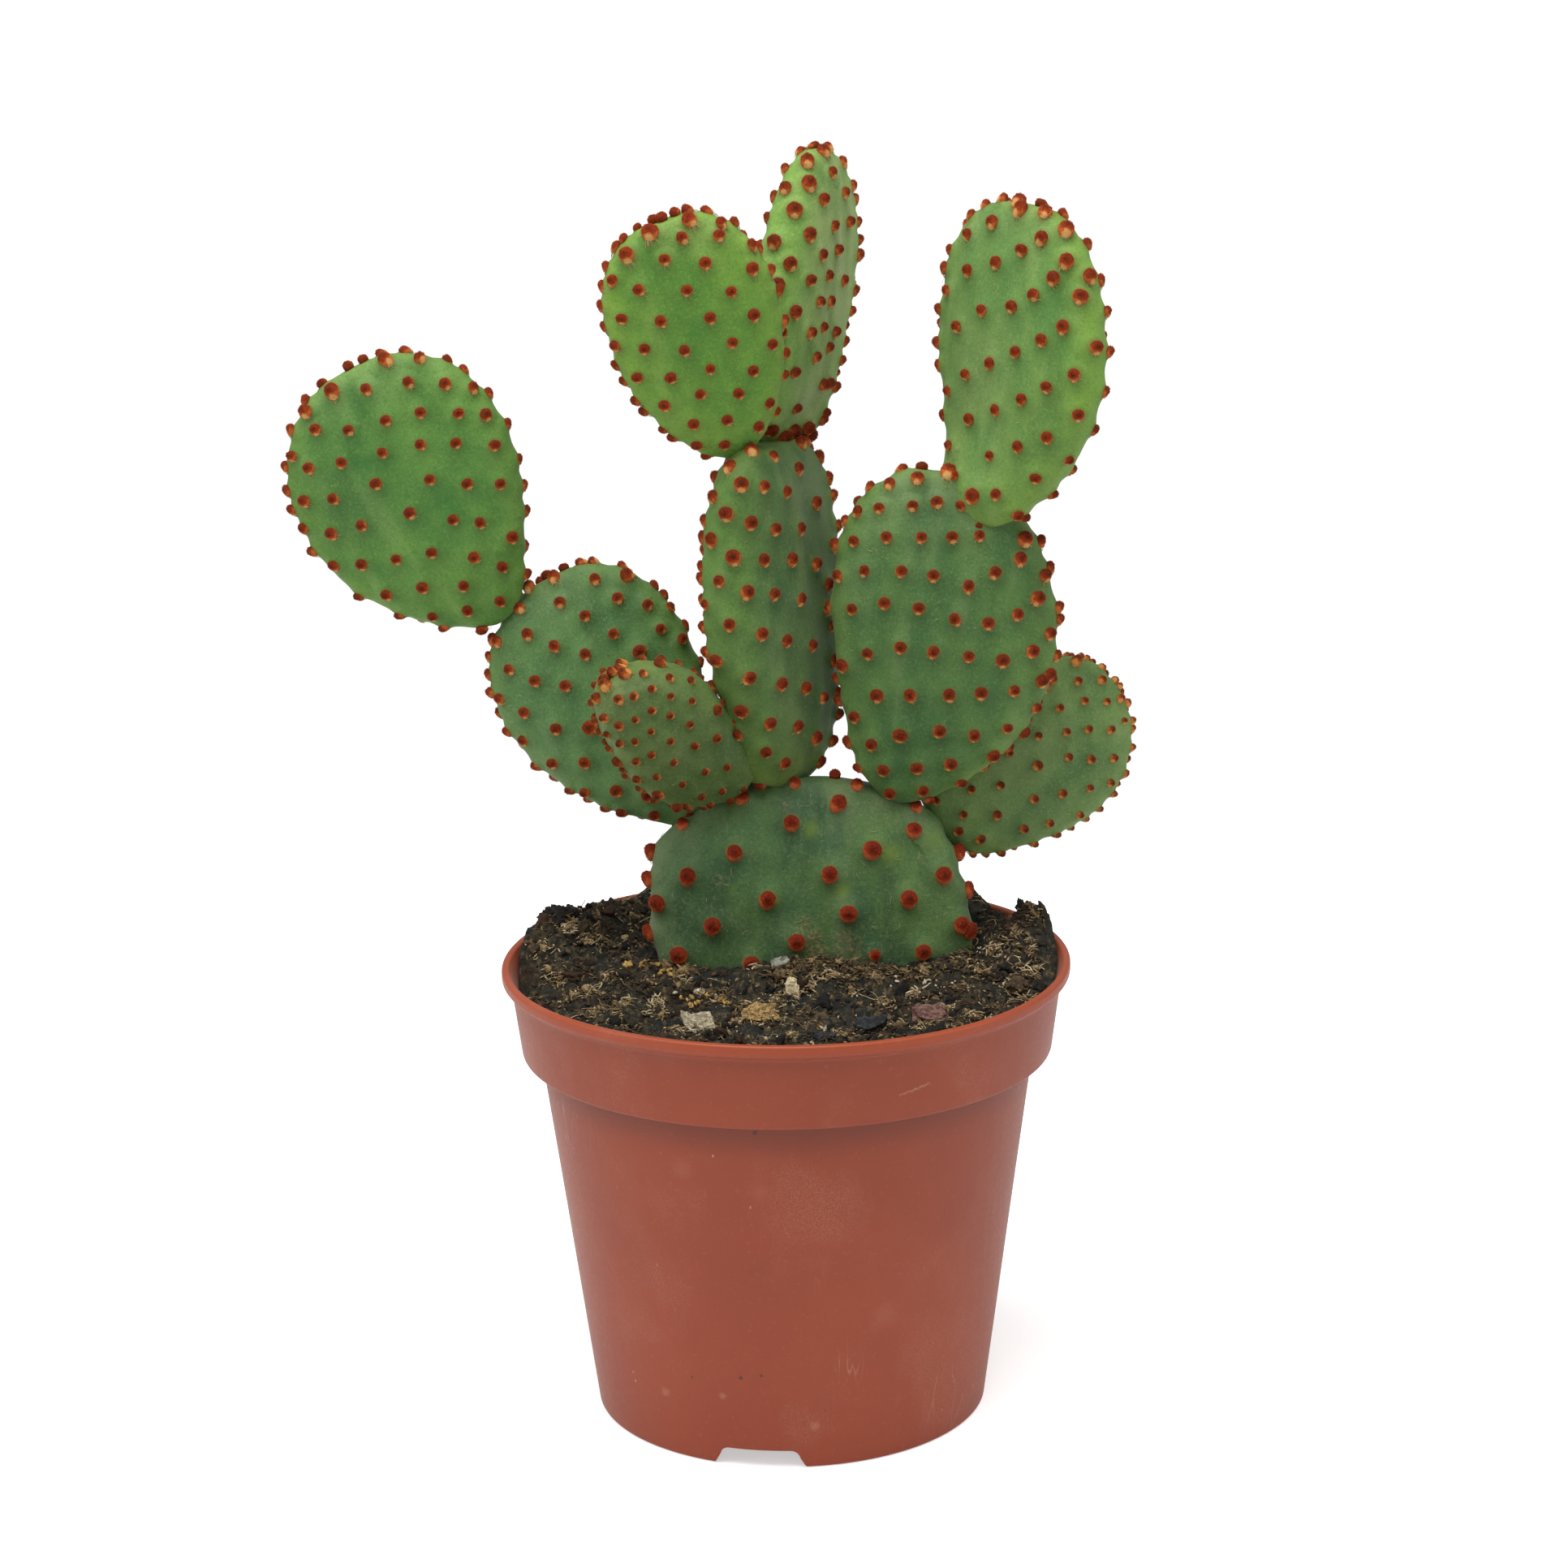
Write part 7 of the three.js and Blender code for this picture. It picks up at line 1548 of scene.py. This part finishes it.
CHIP_MATS = {
    "wood_flake": flaky_material("chip_pale", srgb(104, 94, 74), srgb(176, 164, 134), srgb(228, 218, 190), 800.0, (1, 3, 1)),
    "bark_chip_pink": flaky_material("chip_pink", srgb(64, 44, 40), srgb(118, 84, 76), srgb(160, 128, 114), 600.0, (1, 3, 1)),
    "bark_chip_dark": flaky_material("chip_dark", srgb(20, 22, 25), srgb(42, 44, 47), srgb(76, 78, 80), 700.0),
    "bark_chip_front": flaky_material("chip_front", srgb(20, 21, 25), srgb(38, 40, 44), srgb(72, 74, 76), 700.0),
    "stone_grey": flaky_material("stone", srgb(70, 72, 64), srgb(126, 126, 112), srgb(176, 174, 156), 600.0),
    "flake_cream": flaky_material("cream_flake", srgb(150, 130, 90), srgb(226, 208, 166), srgb(240, 228, 196), 800.0, (3, 1, 1)),
    "peat_clump_tan": flaky_material("clump_tan", srgb(84, 64, 36), srgb(172, 140, 90), srgb(206, 176, 122), 1000.0),
    "peat_clump_back_left": flaky_material("clump_dark", srgb(16, 18, 18), srgb(34, 35, 32), srgb(66, 60, 48), 600.0),
    "straw_cream": flaky_material("cream_straw", srgb(120, 102, 70), srgb(188, 172, 134), srgb(232, 220, 184), 900.0, (1, 4, 4)),
    "bark_chip_back": flaky_material("chip_brown", srgb(36, 28, 22), srgb(74, 56, 42), srgb(116, 90, 66), 600.0, (1, 3, 1)),
    "bark_chip_right": flaky_material("chip_brown_2", srgb(38, 31, 24), srgb(78, 63, 46), srgb(126, 104, 76), 600.0, (1, 3, 1)),
}


def litter_matrix(piece):
    x, y = piece["at"]
    e = 2.0
    h = lambda a, b: float(soil_height(np.array([a], float), np.array([b], float))[0])
    n = Vector(((h(x - e, y) - h(x + e, y)) / (2 * e), (h(x, y - e) - h(x, y + e)) / (2 * e), 1)).normalized()
    q = Vector((0, 0, 1)).rotation_difference(n)
    tip = Matrix.Rotation(math.radians(piece["tip"]), 3, "X")
    turn = Matrix.Rotation(math.radians(piece["turn"]), 3, "Z")
    # Euler order ZXY: the turn is applied after the tip
    m = q.to_matrix() @ turn @ tip
    return np.array(m), np.array([x, y, h(x, y) + piece["half"][2] * 0.55])


def litter_mesh(piece):
    rng_ = np.random.default_rng(500 + piece["seed"])
    v, f = ico(6 if piece["kind"] == "clump" else 5)
    flat = np.sign(v) * np.abs(v) ** (0.8 if piece["kind"] in ("clump", "stone") else 0.62)
    k = 1 + 0.26 * ripple(v[:, 0] * 3, v[:, 1] * 3, v[:, 2] * 3, piece["seed"])
    half = np.array(piece["half"])
    w = flat * half * k[:, None]
    kind = piece["kind"]
    s = piece["seed"]
    d = unit(v / half)
    if kind == "flake":
        # thin curled layers, split along their length
        lay = np.abs(np.sin(w[:, 2] * 5.5 + 1.2 * fbm(w / 2.2, s, 3)))
        w = w * (1 + 0.30 * fbm(v * 1.5 + s, s + 7, 3))[:, None]
        w = w + d * (0.36 * (lay - 0.5) + 0.42 * fbm(w / 0.9, s + 1, 4))[:, None]
        w[:, 2] += 0.05 * w[:, 0] ** 2 - 0.35 + 0.5 * fbm(np.stack([w[:, 0] / 1.2, w[:, 1] / 1.2, 0 * w[:, 0]], -1), s + 2, 3)
    elif kind == "chip":
        grain_ = fbm(w * np.array([0.35, 2.4, 2.4]), s, 4)
        w = w * (1 + 0.42 * fbm(v * 1.3 + s, s + 7, 3))[:, None]
        w = w + d * (0.34 * grain_ + 0.26 * fbm(w / 0.7, s + 1, 4))[:, None]
        w[:, 2] += 0.03 * w[:, 0] ** 2 - 0.2
    elif kind == "stone":
        w = w * (1 + 0.25 * fbm(v * 1.3 + s, s + 7, 3))[:, None]
        w = w + d * (0.26 * fbm(w / 0.9, s, 4) + 0.12 * np.abs(fbm(w / 0.4, s + 1, 3)))[:, None]
    else:
        w = w * (1 + 0.30 * fbm(v * 1.4 + s, s + 7, 3))[:, None]
        w = w + d * (0.55 * fbm(w / 1.1, s, 5, 0.65) + 0.34 * (1 - 2 * np.abs(fbm(w / 0.5, s + 1, 3))))[:, None] - d * 0.25
    m, o = litter_matrix(piece)
    return w @ m.T + o, f, np.stack([0.5 + 0.4 * fbm(w / 1.6, s + 5, 2), rng_.uniform(0, 1, len(w)), 0 * w[:, 0]], -1)


for name, piece in LITTER.items():
    v, f, mask = litter_mesh(piece)
    build("look_of_" + name, v, [f], [CHIP_MATS[name]], piece["slot"], replaces=[name], masks={"piece": mask})

# ---------------------------------------------------------------------- roots
ROOTS = [
    (1.5, [(2, 3, 50), (-6, -2, 43), (-15, -7, 34), (-23, -9, 24), (-30, -14, 17)]),
    (1.4, [(2, 3, 50), (10, -1, 42), (19, -6, 35), (27, -4, 26), (33, -9, 19)]),
    (1.3, [(1, 4, 50), (-4, 12, 41), (-9, 20, 32), (-8, 28, 24), (-13, 32, 16)]),
    (1.3, [(3, 4, 50), (9, 11, 42), (15, 19, 34), (22, 24, 25), (23, 29, 17)]),
    (1.6, [(2, 3, 50), (2, -1, 40), (5, -6, 30), (1, -10, 21), (4, -17, 14)]),
]


def smooth_path(points, n):
    """Catmull-Rom through points, n samples."""
    p = np.array(points, float)
    p = np.concatenate([[2 * p[0] - p[1]], p, [2 * p[-1] - p[-2]]])
    out = []
    k = len(points) - 1
    for t in np.linspace(0, k, n):
        i = min(int(t), k - 1)
        u = t - i
        a, b, c, d = p[i : i + 4]
        out.append(0.5 * (2 * b + (c - a) * u + (2 * a - 5 * b + 4 * c - d) * u * u + (3 * b - a - 3 * c + d) * u**3))
    return np.array(out)


rng = np.random.default_rng(9)
paths, radii = [], []
for r0, pts in ROOTS:
    p = smooth_path(pts, 40)
    p[4:] += 0.5 * np.stack([fbm(p[4:] / 5 + k * 7, 5 + k, 3) for k in range(3)], -1)
    paths.append(p)
    radii.append(r0 * np.linspace(1.15, 0.55, 40) * (1 + 0.12 * fbm(p / 1.6, 3, 2)))
v1, q1, e1, _ = tubes(np.array(paths), np.array(radii), 14)
fine_paths, fine_r = [], []
for r0, pts in ROOTS:
    p = smooth_path(pts, 40)
    for _ in range(7):
        k = int(rng.integers(8, 36))
        d = unit(rng.standard_normal(3) * np.array([1, 1, 0.5]) + np.array([0, 0, -0.5]))
        q = [p[k]]
        for _ in range(11):
            d = unit(d + 0.35 * rng.standard_normal(3))
            nxt = q[-1] + d * 0.9
            lim = np.interp(nxt[2], [6.9, 79.9], [39.5, 49.5])
            rr = math.hypot(nxt[0], nxt[1])
            if rr > lim:
                nxt[:2] *= lim / rr
            nxt[2] = max(nxt[2], 9.0)
            q.append(nxt)
        fine_paths.append(q)
        fine_r.append(np.linspace(0.34, 0.12, 12))
v2, q2, e2, _ = tubes(np.array(fine_paths), np.array(fine_r), 6)
cv, cf = ico(5)
cw = cv * np.array([6.5, 4.6, 5.5])
cw = cw + unit(cw) * (0.4 * fbm(cw / 2.2, 8, 4))[:, None] + np.array([1.8, 3, 48.5])
a, b = len(v1), len(v1) + len(v2)
ROOT = crumb_material("root_bark", srgb(96, 74, 46), srgb(190, 162, 116), 500.0, (0.7, 0.95), 0.7, (3, 3, 0.6))
tint = np.full((b + len(cw), 3), 0.5)
tint[:, 0] = 0.5 + 0.4 * fbm(np.concatenate([v1, v2, cw]) / 3.0, 4, 2)
build(
    "root_system", np.concatenate([v1, v2, cw]),
    [np.concatenate([q1, q2 + a]), np.concatenate([e1, e2 + a, cf + b])],
    [ROOT], "root_bark", replaces=["roots"], masks={"piece": tint},
)

# ------------------------------------------------------------------------ pot
POT = [
    # radius, height, fillet
    (0.0, 0.0, 0), (24.0, 0.0, 0.5), (25.6, 5.0, 1.0), (39.2, 5.0, 0.8), (40.2, 0.0, 0.45), (41.75, 0.0, 0.75),
    (47.05, 40.0, 30), (52.31, 79.15, 0.55), (56.12, 79.15, 0.7), (58.14, 94.6, 1.6), (60.0, 95.7, 0.9),
    (60.0, 98.05, 0.75), (58.4, 98.05, 0.7), (57.5, 95.4, 1.2), (56.9, 93.5, 3.0), (54.7, 80.3, 0.8), (51.1, 79.9, 0.8),
    (40.7, 6.2, 1.2), (27.0, 6.2, 0.8), (25.0, 1.2, 0.8), (0.0, 1.2, 0),
]


def fillet_profile(points, steps=6):
    pts = [np.array(p[:2], float) for p in points]
    out = []
    for i, p in enumerate(points):
        c, r = pts[i], p[2]
        if r <= 0 or i in (0, len(points) - 1):
            out.append(c)
            continue
        a, b = unit(pts[i - 1] - c), unit(pts[i + 1] - c)
        ang = math.acos(np.clip(a @ b, -1, 1))
        cut = r / math.tan(ang / 2)
        cut = min(cut, 0.48 * np.linalg.norm(pts[i - 1] - c), 0.48 * np.linalg.norm(pts[i + 1] - c))
        s, e = c + a * cut, c + b * cut
        for k in range(steps + 1):
            u = k / steps
            out.append((1 - u) ** 2 * s + 2 * u * (1 - u) * c + u * u * e)
    return np.array(out)


def divide(profile, longest=2.2):
    out = [profile[0]]
    for a, b in zip(profile[:-1], profile[1:]):
        n = max(1, int(math.ceil(np.linalg.norm(b - a) / longest)))
        for k in range(1, n + 1):
            out.append(a + (b - a) * k / n)
    return np.array(out)


def cutter(name, verts, faces):
    me = bpy.data.meshes.new(name)
    me.from_pydata([tuple(c * MM for c in v) for v in verts], [], faces)
    bm = bmesh.new()
    bm.from_mesh(me)
    bmesh.ops.recalc_face_normals(bm, faces=bm.faces)
    bm.to_mesh(me)
    bm.free()
    ob = bpy.data.objects.new(name, me)
    bpy.context.scene.collection.objects.link(ob)
    return ob


def prism(outline, lo, hi, place):
    n = len(outline)
    verts = [place(x, z, lo) for x, z in outline] + [place(x, z, hi) for x, z in outline]
    faces = [list(range(n)), list(range(2 * n - 1, n - 1, -1))]
    faces += [[i, (i + 1) % n, n + (i + 1) % n, n + i] for i in range(n)]
    return verts, faces


def pot_piece():
    prof = divide(fillet_profile(POT))[1:-1]
    n_a = 300
    ang = np.arange(n_a) / n_a * 2 * np.pi
    c, s = np.cos(ang), np.sin(ang)
    r, z = prof[:, 0][:, None], prof[:, 1][:, None]
    # a moulded pot is very slightly out of round and wavy
    warp = 1 + np.where(z > 8, 0.0016, 0.0) * np.sin(2 * ang + 0.6)[None] * (z / 98)
    rows = np.stack([r * c * warp, r * s * warp, np.broadcast_to(z, (len(prof), n_a))], -1)
    lip = np.clip((z - 90) / 8, 0, 1) * (r > 50)
    rows[..., 2] += (lip * 0.22 * np.sin(3 * ang + 1.0)[None]) - 0.24 * lip
    nr = len(rows)
    verts = np.concatenate([rows.reshape(-1, 3), [[0, 0, 0.0]], [[0, 0, WALL]]])
    faces = [
        grid_faces(nr, n_a),
        np.concatenate([fan(nr * n_a, np.arange(n_a), flip=True), fan(nr * n_a + 1, (nr - 1) * n_a + np.arange(n_a))]),
    ]
    ob = build("pot_shell", verts, faces, [], "pot_plastic", replaces=["pot"])
    cutters = []
    h, b, t, rad = 4.0, 18.9 / 2, 16.3 / 2, 1.7
    out = [(-b - 1.2, -1.2), (b + 1.2, -1.2), (b + 0.5, -0.1), (b, 0.4)]
    for k in range(9):
        u = math.pi / 2 * k / 8
        out.append((t - rad + rad * math.cos(u) + 0.25 * (1 - k / 8), h - rad + rad * math.sin(u)))
    left = [(-x, z) for x, z in out[2:]][::-1]
    outline = out + left
    for j, angle in enumerate((-99.5, 20.5, 140.5)):
        a = math.radians(angle)
        e, t_ = (math.cos(a), math.sin(a)), (-math.sin(a), math.cos(a))
        vs, fs = prism(outline, 36.5, 46.0, lambda x, z, d: (e[0] * d + t_[0] * x, e[1] * d + t_[1] * x, z))
        cutters.append(cutter("cut_notch_%d" % j, vs, fs))
    for j in range(6):
        a = math.radians(60 * (j + 0.5))
        circle = [(4.0 * math.cos(w), 4.0 * math.sin(w)) for w in np.arange(40) / 40 * 2 * math.pi]
        vs, fs = prism(circle, 3.0, 9.0, lambda x, y, d: (33 * math.cos(a) + x, 33 * math.sin(a) + y, d))
        cutters.append(cutter("cut_drain_%d" % j, vs, fs))
    for cu in cutters:
        mod = ob.modifiers.new("cut", "BOOLEAN")
        mod.operation, mod.object, mod.solver = "DIFFERENCE", cu, "EXACT"
    dg = bpy.context.evaluated_depsgraph_get()
    me = bpy.data.meshes.new_from_object(ob.evaluated_get(dg))
    ob.modifiers.clear()
    ob.data = me
    for cu in cutters:
        m_ = cu.data
        bpy.data.objects.remove(cu)
        bpy.data.meshes.remove(m_)
    me.polygons.foreach_set("use_smooth", np.full(len(me.polygons), True))
    me.set_sharp_from_angle(angle=math.radians(38))
    return ob


# marks on the pot: where, reach, softness, colour, strength
POT_MARKS = [
    ((-10.5, -43.3, 20.9), 0.55, 0.6, srgb(66, 36, 28), 0.8), ((-6.3, -44.2, 21.7), 0.50, 0.6, srgb(66, 36, 28), 0.75),
    ((-20.6, -39.2, 19.5), 0.45, 0.6, srgb(70, 38, 30), 0.7), ((40.7, -13.2, 8.0), 0.60, 0.6, srgb(66, 36, 28), 0.7),
    ((-6.7, -51.6, 77.2), 0.55, 0.6, srgb(60, 34, 26), 0.8),
    ((-14.4, -41.5, 16.2), 1.2, 0.8, srgb(206, 150, 122), 0.26), ((-26.4, -34.8, 14.3), 1.6, 0.8, srgb(200, 144, 116), 0.24),
    ((4.8, -42.8, 9.8), 1.4, 0.8, srgb(200, 144, 116), 0.24),
    ((-21.6, -45.9, 67.7), 3.6, 0.9, srgb(190, 126, 100), 0.12), ((-6.1, -49.9, 63.7), 3.0, 0.9, srgb(190, 126, 100), 0.11),
    ((-6.4, -47.5, 46.2), 3.4, 0.9, srgb(128, 52, 32), 0.25), ((19.2, -42.1, 33.9), 4.0, 0.9, srgb(190, 126, 100), 0.11),
]
# a fine scratch across the collar
POT_MARKS += [
    ((22.4 + 6.0 * k / 15, -52.3 + 2.85 * k / 15, 84.9 + 1.5 * k / 15 + 0.10 * math.sin(k * 1.9)), 0.42 - 0.12 * abs(k / 15 - 0.5), 0.8, srgb(206, 160, 134), 0.30)
    for k in range(16)
]


def plastic_material():
    m = Tree("pot_plastic")
    cloud = m.noise(26.0, 4.0, 0.55)
    fine = m.noise(900.0, 4.0, 0.6)
    micro = m.noise(4200.0, 2.0, 0.5)
    col = m.ramp(cloud, [(0.30, srgb(143, 56, 23)), (0.70, srgb(153, 62, 26))])
    col = m.mix(m.span(fine, 0.55, 0.80, 0.0, 0.22), col, srgb(190, 120, 92))
    col = m.mix(m.span(fine, 0.40, 0.22, 0.0, 0.25), col, srgb(132, 60, 44))
    # dust in patches
    where = m.noise(38.0, 5.0, 0.6, vec=m.scaled((1.0, 1.0, 0.7)))
    dust = m.math("MULTIPLY", m.span(where, 0.50, 0.68), m.span(micro, 0.40, 0.75))
    col = m.mix(m.math("MULTIPLY", dust, 0.20), col, srgb(214, 176, 156))
    # sparse dark specks and paler nicks
    speck = m.voronoi(210.0)
    pick = m.span(m.noise(60.0, 2.0, 0.5, vec=m.scaled((1.4, 1.2, 1.0))), 0.66, 0.72)
    col = m.mix(m.math("MULTIPLY", m.span(speck, 0.10, 0.05), m.math("MULTIPLY", pick, 0.75)), col, srgb(72, 38, 30))
    nick = m.voronoi(320.0, vec=m.scaled((1.0, 1.0, 0.6)))
    pick2 = m.span(m.noise(45.0, 2.0, 0.5, vec=m.scaled((0.8, 1.1, 1.3))), 0.60, 0.68)
    col = m.mix(m.math("MULTIPLY", m.span(nick, 0.09, 0.04), m.math("MULTIPLY", pick2, 0.6)), col, srgb(216, 168, 142))
    # faint scuffs: short strokes from a stretched, bent noise
    s1 = m.noise(190.0, 2.0, 0.4, vec=m.scaled((1.0, 1.0, 0.12), rot=(0.25, 0.5, 0.2)), distortion=1.2)
    s1 = m.span(m.math("ABSOLUTE", m.math("SUBTRACT", s1, 0.5)), 0.012, 0.0)
    gate = m.span(m.noise(34.0, 3.0, 0.5, vec=m.scaled((1.2, 0.9, 1.1))), 0.60, 0.72)
    scuff = m.math("MULTIPLY", s1, gate)
    col = m.mix(m.math("MULTIPLY", scuff, 0.30), col, srgb(206, 150, 126))
    # painted shade in a band under the collar, and a painted highlight along the lip
    up = m.node("ShaderNodeSeparateXYZ")
    m.put(up.inputs[0], m.obj())
    col = m.mix(m.math("MULTIPLY", m.span(up.outputs[2], 0.0700, 0.0785, 0.0, 0.5), m.span(up.outputs[2], 0.0791, 0.0793, 1.0, 0.0)), col, srgb(96, 40, 25))
    col = m.mix(m.span(up.outputs[2], 0.0950, 0.0962, 0.0, 0.35), col, srgb(184, 84, 46))
    # specks, pale scuffs and smudges where they sit on the wall
    for at, reach, soft, colour, much in POT_MARKS:
        n = m.node("ShaderNodeVectorMath", operation="DISTANCE")
        m.put(n.inputs[0], m.obj())
        n.inputs[1].default_value = tuple(c * MM for c in at)
        edge = m.math("ADD", n.outputs["Value"], m.math("MULTIPLY", m.math("SUBTRACT", fine, 0.5), 1.6 * reach * MM))
        cover = m.span(edge, reach * MM, reach * (1 - soft) * MM, 0.0, much)
        col = m.mix(cover, col, colour)
    rough = m.math("ADD", m.span(fine, 0.3, 0.7, 0.40, 0.50), m.math("MULTIPLY", dust, 0.18))
    rough = m.math("SUBTRACT", rough, m.math("MULTIPLY", scuff, 0.08))
    hgt = m.math("ADD", m.math("MULTIPLY", fine, 0.5), m.math("MULTIPLY", cloud, 6.0))
    m.set(
        Base_Color=col, Roughness=rough, Normal=m.bump(hgt, 0.12, 0.0003),
        Specular_IOR_Level=0.50, Sheen_Weight=0.17, Sheen_Roughness=0.30, Sheen_Tint=(1.0, 0.90, 0.84, 1.0),
        Subsurface_Weight=0.06, Subsurface_Radius=(1.0, 0.35, 0.2), Subsurface_Scale=0.002,
    )
    return m.mat


pot = pot_piece()
pot.data.materials.clear()
pot.data.materials.append(plastic_material())

# ---------------------------------------------------------- floor and lights
scene = bpy.context.scene


def floor_piece():
    me = bpy.data.meshes.new("studio_floor")
    bm = bmesh.new()
    n = 24
    w = 0.42
    rows = []
    for j in range(n + 1):
        row = []
        for i in range(n + 1):
            x = -w + 2 * w * i / n
            y = -w + 2 * w * j / n
            row.append(bm.verts.new((x, y, -0.0001)))
        rows.append(row)
    for j in range(n):
        for i in range(n):
            bm.faces.new((rows[j][i], rows[j][i + 1], rows[j + 1][i + 1], rows[j + 1][i]))
    bm.to_mesh(me)
    bm.free()
    ob = bpy.data.objects.new("studio_floor", me)
    scene.collection.objects.link(ob)
    m = Tree("studio_white")
    n_ = m.noise(8.0, 2.0)
    m.set(Base_Color=m.ramp(n_, [(0.3, (0.93, 0.93, 0.93, 1)), (0.7, (0.95, 0.95, 0.95, 1))]), Roughness=0.9, Specular_IOR_Level=0.0,
          Emission_Color=(1, 1, 1, 1), Emission_Strength=m.math("MULTIPLY", m.node("ShaderNodeLightPath").outputs["Is Camera Ray"], 0.5))
    me.materials.append(m.mat)
    return ob


floor_piece()


def area(name, place, target, size, power, color=(1, 1, 1)):
    li = bpy.data.lights.new(name, "AREA")
    li.shape = "RECTANGLE"
    li.size, li.size_y = size
    li.energy = power
    li.color = color
    ob = bpy.data.objects.new(name, li)
    ob.location = place
    ob.rotation_euler = (Vector(target) - Vector(place)).to_track_quat("-Z", "Y").to_euler()
    scene.collection.objects.link(ob)
    return ob


area("key_top", (-0.12, -0.32, 1.15), (0, 0, 0.12), (0.9, 0.9), 11.8, (1.0, 0.99, 0.975))
area("soft_left", (-1.0, -0.25, 0.50), (0, 0, 0.14), (0.6, 0.9), 2.55, (0.98, 0.99, 1.0))
area("soft_right", (1.0, -0.20, 0.50), (0, 0, 0.14), (0.6, 0.9), 2.32, (1.0, 0.995, 0.985))
area("front", (0.0, -1.2, 0.60), (0, 0, 0.12), (0.8, 0.64), 0.68)

world = bpy.data.worlds.new("studio")
scene.world = world
world.use_nodes = True
tree = world.node_tree
bg = tree.nodes["Background"]
bg.inputs["Color"].default_value = (1, 1, 1, 1)
path = tree.nodes.new("ShaderNodeLightPath")
level = tree.nodes.new("ShaderNodeMapRange")
level.inputs["To Min"].default_value = 0.34
level.inputs["To Max"].default_value = 1.05
tree.links.new(path.outputs["Is Camera Ray"], level.inputs["Value"])
tree.links.new(level.outputs[0], bg.inputs["Strength"])
scene.view_settings.view_transform = "Standard"
scene.view_settings.look = "None"

# --------------------------------------------------------------------- camera
ELEVATION, ROLL, DISTANCE = math.radians(14.570), math.radians(-0.823), 800.25
AIM = np.array([0.123, 0.0, 135.747])
back = np.array([0, -math.cos(ELEVATION), math.sin(ELEVATION)])
right = np.array([1.0, 0, 0])
up = np.array([0, math.sin(ELEVATION), math.cos(ELEVATION)])
r2 = math.cos(ROLL) * right + math.sin(ROLL) * up
u2 = -math.sin(ROLL) * right + math.cos(ROLL) * up
spot = (AIM + back * DISTANCE) * MM
cam_data = bpy.data.cameras.new("photo_camera")
cam_data.sensor_width = 36.0
cam_data.lens = 36.0 * 4715.1 / 1932
cam_data.clip_start, cam_data.clip_end = 0.05, 20.0
cam = bpy.data.objects.new("photo_camera", cam_data)
cam.matrix_world = Matrix(
    [
        [r2[0], u2[0], back[0], spot[0]],
        [r2[1], u2[1], back[1], spot[1]],
        [r2[2], u2[2], back[2], spot[2]],
        [0, 0, 0, 1],
    ]
)
scene.collection.objects.link(cam)
scene.camera = cam
